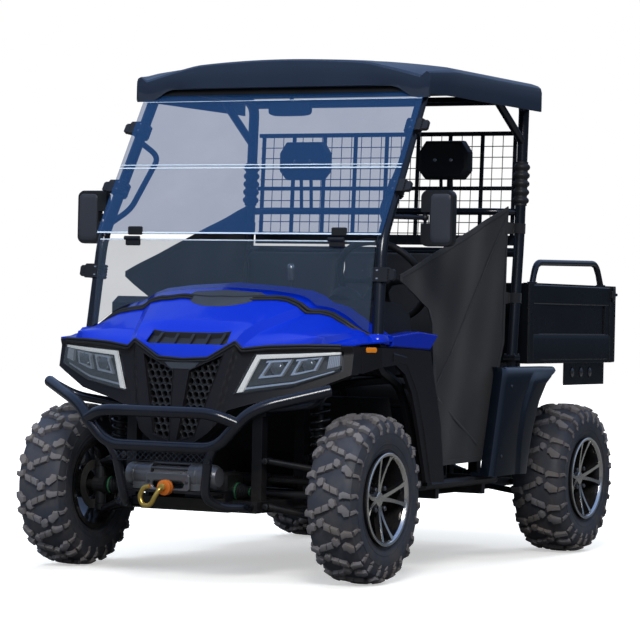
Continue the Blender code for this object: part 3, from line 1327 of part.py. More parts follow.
def make_cargo_bed():
    half = BED_HALF_WIDTH
    floor = block((-half + 0.002, BED_FRONT + 0.001, BED_BOTTOM),
                  (half - 0.002, BED_REAR, BED_BOTTOM + 0.020))
    front = block((-half + 0.001, BED_FRONT, BED_BOTTOM + 0.002),
                  (half - 0.001, BED_FRONT + BED_WALL, BED_TOP - 0.002))
    solids = [floor, front]
    solids += both(lambda: block((half - BED_WALL, BED_FRONT + 0.0005, BED_BOTTOM + 0.001),
                                 (half, BED_REAR + GATE_GAP + GATE_WALL, BED_TOP)))
    hinge = gate_hinge()
    solids += both(lambda: rod((half - BED_WALL - 0.024, hinge.y, hinge.z),
                               (half - BED_WALL + 0.004, hinge.y, hinge.z),
                               GATE_PIN, 10))
    rail_x = half - BED_WALL / 2
    solids += both(lambda: tube([(rail_x, 0.510, BED_TOP - 0.02), (rail_x, 0.545, BED_TOP + 0.082),
                                 (rail_x, 1.180, BED_TOP + 0.092), (rail_x, 1.235, BED_TOP - 0.02)],
                                0.0115, 0.05, 8))
    solids += both(lambda: block((half - 0.035, 0.900, BED_BOTTOM - 0.092),
                                 (half - 0.029, BED_REAR - 0.02, BED_BOTTOM + 0.01)))
    pressings = both(lambda: prism([(0.560, 0.862), (0.590, 0.838), (1.230, 0.838), (1.260, 0.862),
                                    (1.260, 1.008), (1.230, 1.032), (0.590, 1.032), (0.560, 1.008)],
                                   "X", half - PRESSING_DEPTH, half + 0.010))
    for y in (0.985, 1.080, 1.175):
        pressings += both(lambda: rod((half - 0.050, y, 0.735), (half, y, 0.735), 0.020, 16))
    for side in (1, -1):
        for offset in (-0.0155, 0.0155):
            ear = block((BED_HINGE.x + offset - 0.005, BED_HINGE.y - 0.018, BED_HINGE.z - 0.018),
                        (BED_HINGE.x + offset + 0.005, BED_HINGE.y + 0.018, BED_BOTTOM + 0.01))
            solids.append(mirrored(ear, side))
        pin = rod((BED_HINGE.x - 0.020, BED_HINGE.y, BED_HINGE.z),
                  (BED_HINGE.x + 0.020, BED_HINGE.y, BED_HINGE.z),
                  HINGE_PIN, 12)
        solids.append(mirrored(pin, side))
    solids += both(lambda: block((RAIL_X - 0.018, 0.540, TOWER_TOP + 0.030 + TOUCH),
                                 (RAIL_X + 0.018, 1.060, BED_BOTTOM + 0.01)))
    solids.append(block((STRUT_X + 0.015, STRUT_EYE.y - 0.015, STRUT_EYE.z - 0.015),
                        (STRUT_X + 0.023, STRUT_EYE.y + 0.015, BED_BOTTOM + 0.01)))
    make("cargo_bed", solids, bed_steel(), pressings, origin=(0, BED_HINGE.y, BED_HINGE.z))


def make_tailgate():
    half = BED_HALF_WIDTH - BED_WALL - MOVING
    hinge = gate_hinge()
    back = BED_REAR + GATE_GAP + GATE_WALL
    panel = block((-half, BED_REAR + GATE_GAP, hinge.z - 0.007), (half, back, BED_TOP - 0.004))
    rib = block((-half + 0.06, back - 0.001, hinge.z + 0.08), (half - 0.06, back + 0.010, hinge.z + 0.22))
    bores = both(lambda: rod((half - 0.022, hinge.y, hinge.z), (half + 0.010, hinge.y, hinge.z),
                             GATE_PIN + RUNNING, 10))
    handle = block((-0.075, back - 0.001, BED_TOP - 0.085), (0.075, BULL_TUBE - BULL_FRONT, BED_TOP - 0.045))
    make("tailgate", [panel, rib, handle], bed_steel(), bores, origin=hinge)


def strut_direction():
    return (STRUT_EYE - STRUT_FOOT).normalized()


def make_bed_strut():
    along = strut_direction()
    length = (STRUT_EYE - STRUT_FOOT).length
    foot = STRUT_FOOT
    side = Vector((0.008, 0, 0))
    eye = rod(foot - side, foot + side, 0.013, 16)
    neck = rod(foot + along * 0.006, foot + along * 0.040, 0.008, 12)
    barrel = rod(foot + along * 0.034, foot + along * 0.275, STRUT_BODY, 16)
    bore = rod(foot + along * 0.044, foot + along * 0.290, STRUT_ROD + RUNNING, 12)
    pin_hole = rod(foot - side * 2, foot + side * 2, STRUT_PIN + RUNNING, 12)
    make("strut_body", [eye, neck, barrel], tube_paint(), [bore, pin_hole], origin=foot)
    piston = rod(foot + along * 0.048, foot + along * (length - 0.008), STRUT_ROD, 12)
    top = rod(STRUT_EYE - side, STRUT_EYE + side, 0.012, 16)
    make("strut_rod", [piston, top], cast_metal(), origin=foot + along * 0.048)


def make_mirror(side):
    hinge = MIRROR_ARM_END
    inner = hinge.x - 0.014
    outer = hinge.x + 0.118
    top = hinge.z + 0.100
    low = hinge.z - 0.105
    outline = [(inner, low + 0.030), (inner, top - 0.025), (inner + 0.020, top), (outer - 0.012, top),
               (outer, top - 0.015), (outer, low + 0.015), (outer - 0.012, low), (inner + 0.020, low)]
    glass = prism(outline, "Y", hinge.y - 0.016, hinge.y + 0.018)
    notch = block((inner - 0.02, hinge.y - 0.040, hinge.z - MIRROR_NOTCH_HALF),
                  (hinge.x + 0.020, hinge.y + 0.040, hinge.z + MIRROR_NOTCH_HALF))
    reach = Vector((0, 0, MIRROR_PIN_HALF + 0.002))
    bore = rod(hinge - reach, hinge + reach, MIRROR_PIN + RUNNING, 10)
    make(side_name("mirror", side), [mirrored(glass, side)], fascia_plastic(),
         [mirrored(notch, side), mirrored(bore, side)], origin=(hinge.x * side, hinge.y, hinge.z))


def build():
    clear_scene()
    make_main_frame()
    make_skid_plate()
    make_floor_pan()
    make_dashboard()
    make_hood()
    make_front_fascia()
    make_grille()
    make_bull_bar()
    make_winch()
    make_winch_hook()
    make_roll_cage()
    make_roof()
    make_windshield()
    make_rear_screen()
    make_headrest_bar()
    make_engine_block()
    make_drive("front_drive", FRONT_AXLE, FRONT_HALF_TRACK - KINGPIN_INSET - KNUCKLE_RADIUS - 0.007)
    make_drive("rear_drive", REAR_AXLE, REAR_HALF_TRACK - REAR_TYRE_WIDTH / 2 - 0.036)
    make_steering_rack()
    make_steering_wheel()
    make_wheels()
    make_cargo_bed()
    make_tailgate()
    make_bed_strut()
    for side in (1, -1):
        make_side_panel(side)
        make_headlight(side)
        make_seat(side)
        make_rear_fender(side)
        make_side_net(side)
        make_front_arms(side)
        make_rear_suspension(side)
        make_knuckle(side)
        make_mirror(side)


build()
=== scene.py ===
# Open two-seat utility vehicle: the looks of every surface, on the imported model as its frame.
# Metres, +Z up. The front faces -Y and +X is the driver's left-hand side.
import math

import bmesh
import bpy
from mathutils import Matrix, Vector


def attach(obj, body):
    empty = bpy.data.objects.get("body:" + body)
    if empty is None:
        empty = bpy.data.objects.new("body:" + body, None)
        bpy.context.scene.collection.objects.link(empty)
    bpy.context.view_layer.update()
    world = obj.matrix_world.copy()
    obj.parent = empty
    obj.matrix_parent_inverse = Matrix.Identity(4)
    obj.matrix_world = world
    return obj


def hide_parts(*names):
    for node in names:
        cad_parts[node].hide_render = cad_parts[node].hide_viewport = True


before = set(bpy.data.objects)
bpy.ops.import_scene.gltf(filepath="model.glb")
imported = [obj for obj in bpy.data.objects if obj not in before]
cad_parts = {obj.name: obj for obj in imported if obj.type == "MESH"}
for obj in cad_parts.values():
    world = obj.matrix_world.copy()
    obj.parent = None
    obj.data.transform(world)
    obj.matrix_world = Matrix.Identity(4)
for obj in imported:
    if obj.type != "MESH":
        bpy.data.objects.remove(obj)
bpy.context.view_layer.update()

# The camera stands in front of the vehicle on its left-hand side, with the lens just under a metre up.
# Its place and lens come from pairs of points that mirror across the vehicle's centre line.
CAMERA_PLACE = Vector((5.238, -10.187, 0.970))
CAMERA_YAW = math.radians(27.539)
CAMERA_PITCH = math.radians(-0.188)
CAMERA_ROLL = math.radians(1.193)
FOCAL_PIXELS = 2909.39
PHOTO_WIDTH = 640

camera_data = bpy.data.cameras.new("camera")
camera_data.sensor_fit = "HORIZONTAL"
camera_data.sensor_width = 36.0
camera_data.lens = FOCAL_PIXELS / PHOTO_WIDTH * 36.0
camera_data.clip_end = 100.0
camera = bpy.data.objects.new("camera", camera_data)
bpy.context.scene.collection.objects.link(camera)
ahead = Vector((-math.sin(CAMERA_YAW) * math.cos(CAMERA_PITCH),
                math.cos(CAMERA_YAW) * math.cos(CAMERA_PITCH), math.sin(CAMERA_PITCH)))
level = Vector((math.cos(CAMERA_YAW), math.sin(CAMERA_YAW), 0))
upright = level.cross(ahead)
right = level * math.cos(CAMERA_ROLL) + upright * math.sin(CAMERA_ROLL)
above = upright * math.cos(CAMERA_ROLL) - level * math.sin(CAMERA_ROLL)
camera.matrix_world = Matrix.Translation(CAMERA_PLACE) @ Matrix((right, above, -ahead)).transposed().to_4x4()
bpy.context.scene.camera = camera
bpy.context.scene.view_settings.view_transform = "Standard"


def add_node(tree, kind, **settings):
    """A node with its own settings; a name that is an input socket sets that socket's value."""
    made = tree.nodes.new(kind)
    for name, value in settings.items():
        if hasattr(made, name):
            setattr(made, name, value)
        else:
            made.inputs[name.replace("_", " ")].default_value = value
    return made


# The world is a soft pale sky that looks plain white to the camera, and reflects as blue over dark ground.
SKY_STRENGTH = 0.40
world = bpy.data.worlds.new("studio")
world.use_nodes = True
bpy.context.scene.world = world
sky = world.node_tree
sky.nodes.clear()
rays = add_node(sky, "ShaderNodeLightPath")
seen = add_node(sky, "ShaderNodeMath", operation="MAXIMUM")
sky.links.new(rays.outputs["Is Camera Ray"], seen.inputs[0])
sky.links.new(rays.outputs["Is Transmission Ray"], seen.inputs[1])
lit = add_node(sky, "ShaderNodeBackground", Color=(0.93, 0.96, 1.0, 1.0), Strength=SKY_STRENGTH)
white = add_node(sky, "ShaderNodeBackground", Color=(1.0, 1.0, 1.0, 1.0), Strength=1.0)
shown = add_node(sky, "ShaderNodeMixShader")
sky.links.new(seen.outputs[0], shown.inputs[0])
sky.links.new(lit.outputs[0], shown.inputs[1])
sky.links.new(white.outputs[0], shown.inputs[2])
direction = add_node(sky, "ShaderNodeTexCoord")
upward = add_node(sky, "ShaderNodeSeparateXYZ")
sky.links.new(direction.outputs["Generated"], upward.inputs[0])
dome = add_node(sky, "ShaderNodeValToRGB")
ramp = dome.color_ramp
ramp.elements[0].position = 0.46
ramp.elements[0].color = (0.020, 0.026, 0.034, 1.0)
ramp.elements[1].position = 1.0
ramp.elements[1].color = (0.26, 0.42, 0.85, 1.0)
for place, colour in ((0.53, (0.05, 0.07, 0.11)), (0.62, (0.20, 0.28, 0.42)), (0.75, (0.36, 0.50, 0.82))):
    band = ramp.elements.new(place)
    band.color = (*colour, 1.0)
height = add_node(sky, "ShaderNodeMapRange")
height.inputs["From Min"].default_value = -1.0
sky.links.new(upward.outputs["Z"], height.inputs["Value"])
sky.links.new(height.outputs[0], dome.inputs[0])
mirrored = add_node(sky, "ShaderNodeBackground", Strength=0.9)
sky.links.new(dome.outputs["Color"], mirrored.inputs["Color"])
gloss_mix = add_node(sky, "ShaderNodeMixShader")
sky.links.new(rays.outputs["Is Glossy Ray"], gloss_mix.inputs[0])
sky.links.new(shown.outputs[0], gloss_mix.inputs[1])
sky.links.new(mirrored.outputs[0], gloss_mix.inputs[2])
sky_out = add_node(sky, "ShaderNodeOutputWorld")
sky.links.new(gloss_mix.outputs[0], sky_out.inputs["Surface"])


# Four large soft lamps: a key over the vehicle's left front corner, a fill, a rim light and one overhead.
def area_lamp(name, place, target, size, power, colour, mirrored=False):
    """Round soft lamp aimed at a target; only a mirrored one shows in glossy finishes."""
    lamp_data = bpy.data.lights.new(name, "AREA")
    lamp_data.shape = "DISK"
    lamp_data.size = size
    lamp_data.energy = power
    lamp_data.color = colour
    lamp = bpy.data.objects.new(name, lamp_data)
    lamp.location = place
    lamp.rotation_euler = (Vector(target) - Vector(place)).to_track_quat("-Z", "Y").to_euler()
    lamp.visible_glossy = mirrored
    bpy.context.scene.collection.objects.link(lamp)


area_lamp("key_lamp", (3.4, -6.2, 5.0), (0.0, -0.2, 0.8), 2.2, 300, (1.0, 0.97, 0.92), True)
area_lamp("fill_lamp", (-3.8, -6.0, 2.8), (0.0, -0.6, 0.8), 3.0, 120, (0.86, 0.93, 1.0))
area_lamp("rim_lamp", (1.5, 5.5, 4.2), (0.0, 0.3, 1.0), 2.6, 170, (0.90, 0.95, 1.0))
area_lamp("top_lamp", (-0.6, -0.8, 6.0), (0.0, 0.0, 1.0), 3.0, 190, (0.90, 0.95, 1.0))


# The floor is a white sheet that keeps the vehicle's shadow, and looks as dark as asphalt in reflections.
FLOOR_GLOW = 0.46
floor_mesh = bmesh.new()
bmesh.ops.create_circle(floor_mesh, cap_ends=True, segments=64, radius=30.0)
floor_data = bpy.data.meshes.new("floor")
floor_mesh.to_mesh(floor_data)
floor = bpy.data.objects.new("floor", floor_data)
bpy.context.scene.collection.objects.link(floor)
floor_finish = bpy.data.materials.new("floor_white")
floor_finish.use_nodes = True
floor_tree = floor_finish.node_tree
floor_shader = floor_tree.nodes["Principled BSDF"]
floor_shader.inputs["Roughness"].default_value = 0.9
floor_shader.inputs["Specular IOR Level"].default_value = 0.0
floor_shader.inputs["Emission Color"].default_value = (1.0, 1.0, 1.0, 1.0)
floor_rays = add_node(floor_tree, "ShaderNodeLightPath")
floor_tone = add_node(floor_tree, "ShaderNodeMix", data_type="RGBA")
floor_tone.inputs["A"].default_value = (0.16, 0.165, 0.175, 1.0)
floor_tone.inputs["B"].default_value = (0.86, 0.87, 0.88, 1.0)
floor_tree.links.new(floor_rays.outputs["Is Camera Ray"], floor_tone.inputs["Factor"])
floor_tree.links.new(floor_tone.outputs["Result"], floor_shader.inputs["Base Color"])
floor_glow = add_node(floor_tree, "ShaderNodeMath", operation="MULTIPLY")
floor_place = add_node(floor_tree, "ShaderNodeTexCoord")
floor_reach = add_node(floor_tree, "ShaderNodeVectorMath", operation="LENGTH")
floor_tree.links.new(floor_place.outputs["Object"], floor_reach.inputs[0])
floor_rise = add_node(floor_tree, "ShaderNodeMapRange")
floor_rise.inputs["From Min"].default_value = 1.6
floor_rise.inputs["From Max"].default_value = 5.0
floor_rise.inputs["To Min"].default_value = FLOOR_GLOW
floor_rise.inputs["To Max"].default_value = 1.1
floor_tree.links.new(floor_reach.outputs["Value"], floor_rise.inputs["Value"])
floor_tree.links.new(floor_rise.outputs[0], floor_glow.inputs[1])
floor_tree.links.new(floor_rays.outputs["Is Camera Ray"], floor_glow.inputs[0])
floor_tree.links.new(floor_glow.outputs[0], floor_shader.inputs["Emission Strength"])
floor_side = add_node(floor_tree, "ShaderNodeNewGeometry")
floor_clear = add_node(floor_tree, "ShaderNodeBsdfTransparent")
floor_mix = add_node(floor_tree, "ShaderNodeMixShader")
floor_tree.links.new(floor_side.outputs["Backfacing"], floor_mix.inputs[0])
floor_tree.links.new(floor_shader.outputs[0], floor_mix.inputs[1])
floor_tree.links.new(floor_clear.outputs[0], floor_mix.inputs[2])
floor_tree.links.new(floor_mix.outputs[0], floor_tree.nodes["Material Output"].inputs["Surface"])
floor_data.materials.append(floor_finish)


# Tyres: knobbly rubber, with a blue-black carcass and the lugs dusted in patches to a warm brown grey.
# The carcass is moulded round; thirteen pitches of chevron bars and shoulder blocks stand on it.
def node_group(name, numbers=(), colours=(), outputs=("Mask",)):
    """Empty shader group with named number and colour inputs."""
    tree = bpy.data.node_groups.new(name, "ShaderNodeTree")
    for label, value in numbers:
        socket = tree.interface.new_socket(label, in_out="INPUT", socket_type="NodeSocketFloat")
        socket.default_value = value
    for label, value in colours:
        socket = tree.interface.new_socket(label, in_out="INPUT", socket_type="NodeSocketColor")
        socket.default_value = value
    for label in outputs:
        kind = "NodeSocketColor" if label == "Color" else "NodeSocketFloat"
        tree.interface.new_socket(label, in_out="OUTPUT", socket_type=kind)
    return tree, tree.nodes.new("NodeGroupInput"), tree.nodes.new("NodeGroupOutput")


def grain_group():
    """Fine moulded grain: a height for the bump and a slow cloud for colour and roughness."""
    tree, given, result = node_group("grain", (("Scale", 400.0), ("Cloud Scale", 6.0)), (),
                                     ("Height", "Cloud"))
    place = add_node(tree, "ShaderNodeTexCoord")
    fine = add_node(tree, "ShaderNodeTexNoise", Detail=3.0, Roughness=0.6)
    slow = add_node(tree, "ShaderNodeTexNoise", Detail=4.0, Roughness=0.55)
    tree.links.new(place.outputs["Object"], fine.inputs["Vector"])
    tree.links.new(place.outputs["Object"], slow.inputs["Vector"])
    tree.links.new(given.outputs["Scale"], fine.inputs["Scale"])
    tree.links.new(given.outputs["Cloud Scale"], slow.inputs["Scale"])
    tree.links.new(fine.outputs["Fac"], result.inputs["Height"])
    tree.links.new(slow.outputs["Fac"], result.inputs["Cloud"])
    return tree


def dust_group():
    """Where road dust lies: low on the vehicle, broken by a noise."""
    tree, given, result = node_group("dust", (("Height Limit", 0.6), ("Amount", 0.5)))
    place = add_node(tree, "ShaderNodeTexCoord")
    apart = add_node(tree, "ShaderNodeSeparateXYZ")
    tree.links.new(place.outputs["Object"], apart.inputs[0])
    low = add_node(tree, "ShaderNodeMapRange")
    low.inputs["From Min"].default_value = 0.0
    low.inputs["To Min"].default_value = 1.0
    low.inputs["To Max"].default_value = 0.0
    tree.links.new(apart.outputs["Z"], low.inputs["Value"])
    tree.links.new(given.outputs["Height Limit"], low.inputs["From Max"])
    noise = add_node(tree, "ShaderNodeTexNoise", Scale=14.0, Detail=6.0, Roughness=0.65)
    tree.links.new(place.outputs["Object"], noise.inputs["Vector"])
    patchy = add_node(tree, "ShaderNodeMapRange")
    patchy.inputs["From Min"].default_value = 0.38
    patchy.inputs["From Max"].default_value = 0.72
    tree.links.new(noise.outputs["Fac"], patchy.inputs["Value"])
    both_masks = add_node(tree, "ShaderNodeMath", operation="MULTIPLY")
    tree.links.new(low.outputs[0], both_masks.inputs[0])
    tree.links.new(patchy.outputs[0], both_masks.inputs[1])
    amount = add_node(tree, "ShaderNodeMath", operation="MULTIPLY")
    amount.use_clamp = True
    tree.links.new(both_masks.outputs[0], amount.inputs[0])
    tree.links.new(given.outputs["Amount"], amount.inputs[1])
    tree.links.new(amount.outputs[0], result.inputs["Mask"])
    return tree


def edge_wear_and_highlight_group():
    """Bright line along outer edges, partly rubbed wear and partly a painted highlight, from how far a
    rounded normal leaves the true one.
    """
    tree, given, result = node_group("edge_wear_and_highlight", (("Width", 0.003), ("Amount", 0.5)))
    soft = add_node(tree, "ShaderNodeBevel", samples=3)
    tree.links.new(given.outputs["Width"], soft.inputs["Radius"])
    true = add_node(tree, "ShaderNodeNewGeometry")
    dot = add_node(tree, "ShaderNodeVectorMath", operation="DOT_PRODUCT")
    tree.links.new(soft.outputs[0], dot.inputs[0])
    tree.links.new(true.outputs["Normal"], dot.inputs[1])
    ranged = add_node(tree, "ShaderNodeMapRange")
    ranged.inputs["From Min"].default_value = 0.985
    ranged.inputs["From Max"].default_value = 0.86
    ranged.inputs["To Max"].default_value = 1.0
    tree.links.new(dot.outputs["Value"], ranged.inputs["Value"])
    amount = add_node(tree, "ShaderNodeMath", operation="MULTIPLY")
    amount.use_clamp = True
    tree.links.new(ranged.outputs[0], amount.inputs[0])
    tree.links.new(given.outputs["Amount"], amount.inputs[1])
    tree.links.new(amount.outputs[0], result.inputs["Mask"])
    return tree


GRAIN = grain_group()
DUST = dust_group()
EDGE_WEAR_AND_HIGHLIGHT = edge_wear_and_highlight_group()
DUST_COLOUR = (0.155, 0.125, 0.100, 1.0)


def finish(name, colour, roughness, metallic=0.0, grain=400.0, bump=0.05, cloud=0.25, coat=0.0, wear_and_highlight=0.0,
           wear_and_highlight_colour=(0.20, 0.20, 0.21), dust=0.0, dust_limit=0.6, sheen=0.0, specular=0.4, alpha=1.0,
           bump_distance=0.001):
    """Solid finish with moulded grain, slow variation of tone and gloss, bright edges that are partly rubbed
    wear and partly a painted highlight, and road dust.
    """
    made = bpy.data.materials.new(name)
    made.use_nodes = True
    tree = made.node_tree
    shader = tree.nodes["Principled BSDF"]
    shader.inputs["Metallic"].default_value = metallic
    shader.inputs["Coat Weight"].default_value = coat
    shader.inputs["Coat Roughness"].default_value = 0.04
    shader.inputs["Sheen Weight"].default_value = sheen
    shader.inputs["Specular IOR Level"].default_value = specular
    shader.inputs["Alpha"].default_value = alpha
    texture = add_node(tree, "ShaderNodeGroup", node_tree=GRAIN, Scale=grain)
    base = add_node(tree, "ShaderNodeMix", data_type="RGBA")
    base.inputs["A"].default_value = (*[part * (1.0 - cloud) for part in colour], 1.0)
    base.inputs["B"].default_value = (*[min(1.0, part * (1.0 + cloud)) for part in colour], 1.0)
    tree.links.new(texture.outputs["Cloud"], base.inputs["Factor"])
    rough = add_node(tree, "ShaderNodeMapRange")
    rough.inputs["To Min"].default_value = max(0.02, roughness * 0.80)
    rough.inputs["To Max"].default_value = min(1.0, roughness * 1.25)
    tree.links.new(texture.outputs["Cloud"], rough.inputs["Value"])
    colour_out = base.outputs["Result"]
    # The lighter colour along edges is partly rubbed wear and partly a painted highlight.
    for amount, tree_used, mix_colour, extra in (
            (wear_and_highlight, EDGE_WEAR_AND_HIGHLIGHT, (*wear_and_highlight_colour, 1.0), {"Width": 0.004}),
            (dust, DUST, DUST_COLOUR, {"Height_Limit": dust_limit})):
        if amount <= 0:
            continue
        mask = add_node(tree, "ShaderNodeGroup", node_tree=tree_used, Amount=amount, **extra)
        mixed = add_node(tree, "ShaderNodeMix", data_type="RGBA")
        mixed.inputs["B"].default_value = mix_colour
        tree.links.new(mask.outputs["Mask"], mixed.inputs["Factor"])
        tree.links.new(colour_out, mixed.inputs["A"])
        colour_out = mixed.outputs["Result"]
    tree.links.new(colour_out, shader.inputs["Base Color"])
    tree.links.new(rough.outputs[0], shader.inputs["Roughness"])
    raised = add_node(tree, "ShaderNodeBump", Strength=bump, Distance=bump_distance)
    tree.links.new(texture.outputs["Height"], raised.inputs["Height"])
    tree.links.new(raised.outputs[0], shader.inputs["Normal"])
    return made


def piece(name, shape, finish_used, body, crease=35, replaced=(), weld=True):
    """Object from a bmesh in vehicle coordinates, shaded smooth up to the crease, riding on its body."""
    if weld:
        bmesh.ops.remove_doubles(shape, verts=shape.verts, dist=0.00002)
        bmesh.ops.recalc_face_normals(shape, faces=shape.faces)
    data = bpy.data.meshes.new(name)
    shape.to_mesh(data)
    shape.free()
    return dress(name, data, finish_used, body, crease, replaced)


def dress(name, data, finish_used, body, crease=35, replaced=()):
    """Object from a finished mesh, with its finish, its body and the nodes it replaces."""
    data.materials.clear()
    data.materials.append(finish_used)
    data.shade_smooth()
    data.set_sharp_from_angle(angle=math.radians(crease))
    made = bpy.data.objects.new(name, data)
    bpy.context.scene.collection.objects.link(made)
    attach(made, body)
    if replaced:
        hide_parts(*replaced)
    return made


def first_corner(axis):
    """Unit vector square to an axis."""
    axis = Vector(axis).normalized()
    towards = Vector((0, 0, 1)) if abs(axis.x) > 0.7 else Vector((1, 0, 0))
    return (towards - axis * towards.dot(axis)).normalized()


def skin_rings(shape, rings, closed=False, caps=True, wrap=True):
    """Faces between rings of points with equal counts."""
    made = [[shape.verts.new(point) for point in ring] for ring in rings]
    count = len(made[0])
    pairs = list(zip(made, made[1:])) + ([(made[-1], made[0])] if closed else [])
    for ring, following in pairs:
        for index in range(count if wrap else count - 1):
            after = (index + 1) % count
            shape.faces.new((ring[index], ring[after], following[after], following[index]))
    if caps and not closed and wrap:
        shape.faces.new(made[0])
        shape.faces.new(made[-1])
    return made


def add_turned(shape, profile, centre, axis, segments=48, closed=False, caps=True):
    """Solid of revolution; the profile gives (distance along the axis, radius)."""
    centre = Vector(centre)
    axis = Vector(axis).normalized()
    normal = first_corner(axis)
    across = axis.cross(normal)
    rings = []
    for along, radius in profile:
        radius = max(radius, 0.0002)
        rings.append([centre + axis * along + radius * (math.cos(turn) * normal + math.sin(turn) * across)
                      for turn in (2 * math.pi * step / segments for step in range(segments))])
    skin_rings(shape, rings, closed, caps)


def array_tree(name):
    """Geometry tree that repeats its input round the X axis, a set number of times, and realizes it."""
    tree = bpy.data.node_groups.new(name, "GeometryNodeTree")
    tree.interface.new_socket("Geometry", in_out="INPUT", socket_type="NodeSocketGeometry")
    tree.interface.new_socket("Count", in_out="INPUT", socket_type="NodeSocketInt")
    tree.interface.new_socket("Finish", in_out="INPUT", socket_type="NodeSocketMaterial")
    tree.interface.new_socket("Geometry", in_out="OUTPUT", socket_type="NodeSocketGeometry")
    given = tree.nodes.new("NodeGroupInput")
    result = tree.nodes.new("NodeGroupOutput")
    line = add_node(tree, "GeometryNodeMeshLine")
    line.inputs["Offset"].default_value = (0.0, 0.0, 0.0)
    tree.links.new(given.outputs["Count"], line.inputs["Count"])
    place = add_node(tree, "GeometryNodeInputIndex")
    share = add_node(tree, "ShaderNodeMath", operation="DIVIDE")
    tree.links.new(place.outputs[0], share.inputs[0])
    tree.links.new(given.outputs["Count"], share.inputs[1])
    turn = add_node(tree, "ShaderNodeMath", operation="MULTIPLY")
    turn.inputs[1].default_value = 2 * math.pi
    tree.links.new(share.outputs[0], turn.inputs[0])
    angles = add_node(tree, "ShaderNodeCombineXYZ")
    tree.links.new(turn.outputs[0], angles.inputs["X"])
    rotation = add_node(tree, "FunctionNodeEulerToRotation")
    tree.links.new(angles.outputs[0], rotation.inputs[0])
    copies = add_node(tree, "GeometryNodeInstanceOnPoints")
    tree.links.new(line.outputs[0], copies.inputs["Points"])
    tree.links.new(given.outputs["Geometry"], copies.inputs["Instance"])
    tree.links.new(rotation.outputs[0], copies.inputs["Rotation"])
    real = add_node(tree, "GeometryNodeRealizeInstances")
    tree.links.new(copies.outputs[0], real.inputs[0])
    painted = add_node(tree, "GeometryNodeSetMaterial")
    tree.links.new(real.outputs[0], painted.inputs["Geometry"])
    tree.links.new(given.outputs["Finish"], painted.inputs["Material"])
    tree.links.new(painted.outputs[0], result.inputs[0])
    return tree


ROUND_ARRAY = array_tree("round_array")


def worked_out(data, tree, values):
    """Plain mesh that a geometry tree makes from a mesh; the values go in by the sockets' identifiers."""
    carrier = bpy.data.objects.new("carrier", data)
    bpy.context.scene.collection.objects.link(carrier)
    change = carrier.modifiers.new("array", "NODES")
    change.node_group = tree
    for item in tree.interface.items_tree:
        if item.item_type == "SOCKET" and item.in_out == "INPUT" and item.name in values:
            change[item.identifier] = values[item.name]
    seen_from = bpy.context.evaluated_depsgraph_get()
    made = bpy.data.meshes.new_from_object(carrier.evaluated_get(seen_from))
    carrier.modifiers.remove(change)
    bpy.data.objects.remove(carrier)
    return made


def repeated_round(shape, count, finish_used):
    """Mesh of a bmesh's copies round the X axis through the origin."""
    bmesh.ops.recalc_face_normals(shape, faces=shape.faces)
    data = bpy.data.meshes.new("one_pitch")
    shape.to_mesh(data)
    shape.free()
    return worked_out(data, ROUND_ARRAY, {"Count": count, "Finish": finish_used})


TYRE_RADIUS = 0.304
BEAD_RADIUS = 0.160
LUG_HEIGHT = 0.014
LUG_PITCHES = 13
PITCH = 2 * math.pi * (TYRE_RADIUS - LUG_HEIGHT) / LUG_PITCHES
SIDEWALL_CLEAR = 0.0055

tread_finish = finish("tyre_lug_rubber", (0.150, 0.150, 0.170), 0.82, grain=260.0, bump=0.45, cloud=0.35,
                      dust=0.8, dust_limit=1.6, specular=0.30)
carcass_finish = finish("tyre_carcass_rubber", (0.034, 0.040, 0.056), 0.55, grain=90.0, bump=0.20,
                        cloud=0.40, dust=0.35, dust_limit=1.2, specular=0.40)


def carcass_line(half):
    """Outer line of a tyre's carcass from its middle to its bead, as (across, radius)."""
    crown = TYRE_RADIUS - LUG_HEIGHT
    wide = half - SIDEWALL_CLEAR
    return [(0.0, crown), (0.30 * half, crown - 0.0008), (0.55 * half, crown - 0.003),
            (0.72 * half, crown - 0.008), (0.84 * half, crown - 0.017), (wide - 0.004, crown - 0.034),
            (wide, crown - 0.056), (wide - 0.001, crown - 0.080), (wide - 0.006, crown - 0.100),
            (wide - 0.013, BEAD_RADIUS + 0.014), (wide - 0.016, BEAD_RADIUS + 0.004),
            (wide - 0.022, BEAD_RADIUS)]


def on_carcass(half, across, height):
    """Point at a distance along the carcass's line from its middle, raised square to the line."""
    line = carcass_line(half)
    left = abs(across)
    for (a, b), (c, d) in zip(line, line[1:]):
        step = math.hypot(c - a, d - b)
        if left <= step or (c, d) == line[-1]:
            share = left / step
            x = a + (c - a) * share + height * (b - d) / step
            return math.copysign(x, across) if across else x, b + (d - b) * share + height * (c - a) / step
        left -= step
    return line[-1]


def add_lug(shape, half, outline, height):
    """Rubber block with sloping sides and a rounded top edge; the outline is (across, along) in metres."""
    centre = (sum(a for a, b in outline) / len(outline), sum(b for a, b in outline) / len(outline))
    rings = []
    for lift, shrink in ((-0.003, -0.0022), (height - 0.0022, 0.0), (height - 0.0006, 0.0008),
                         (height, 0.0026)):
        ring = []
        for a, b in outline:
            away = Vector((a - centre[0], b - centre[1]))
            away -= away.normalized() * shrink
            x, radius = on_carcass(half, centre[0] + away.x, lift)
            turn = (centre[1] + away.y) / (TYRE_RADIUS - LUG_HEIGHT)
            ring.append((x, radius * math.cos(turn), radius * math.sin(turn)))
        rings.append(ring)
    skin_rings(shape, rings)


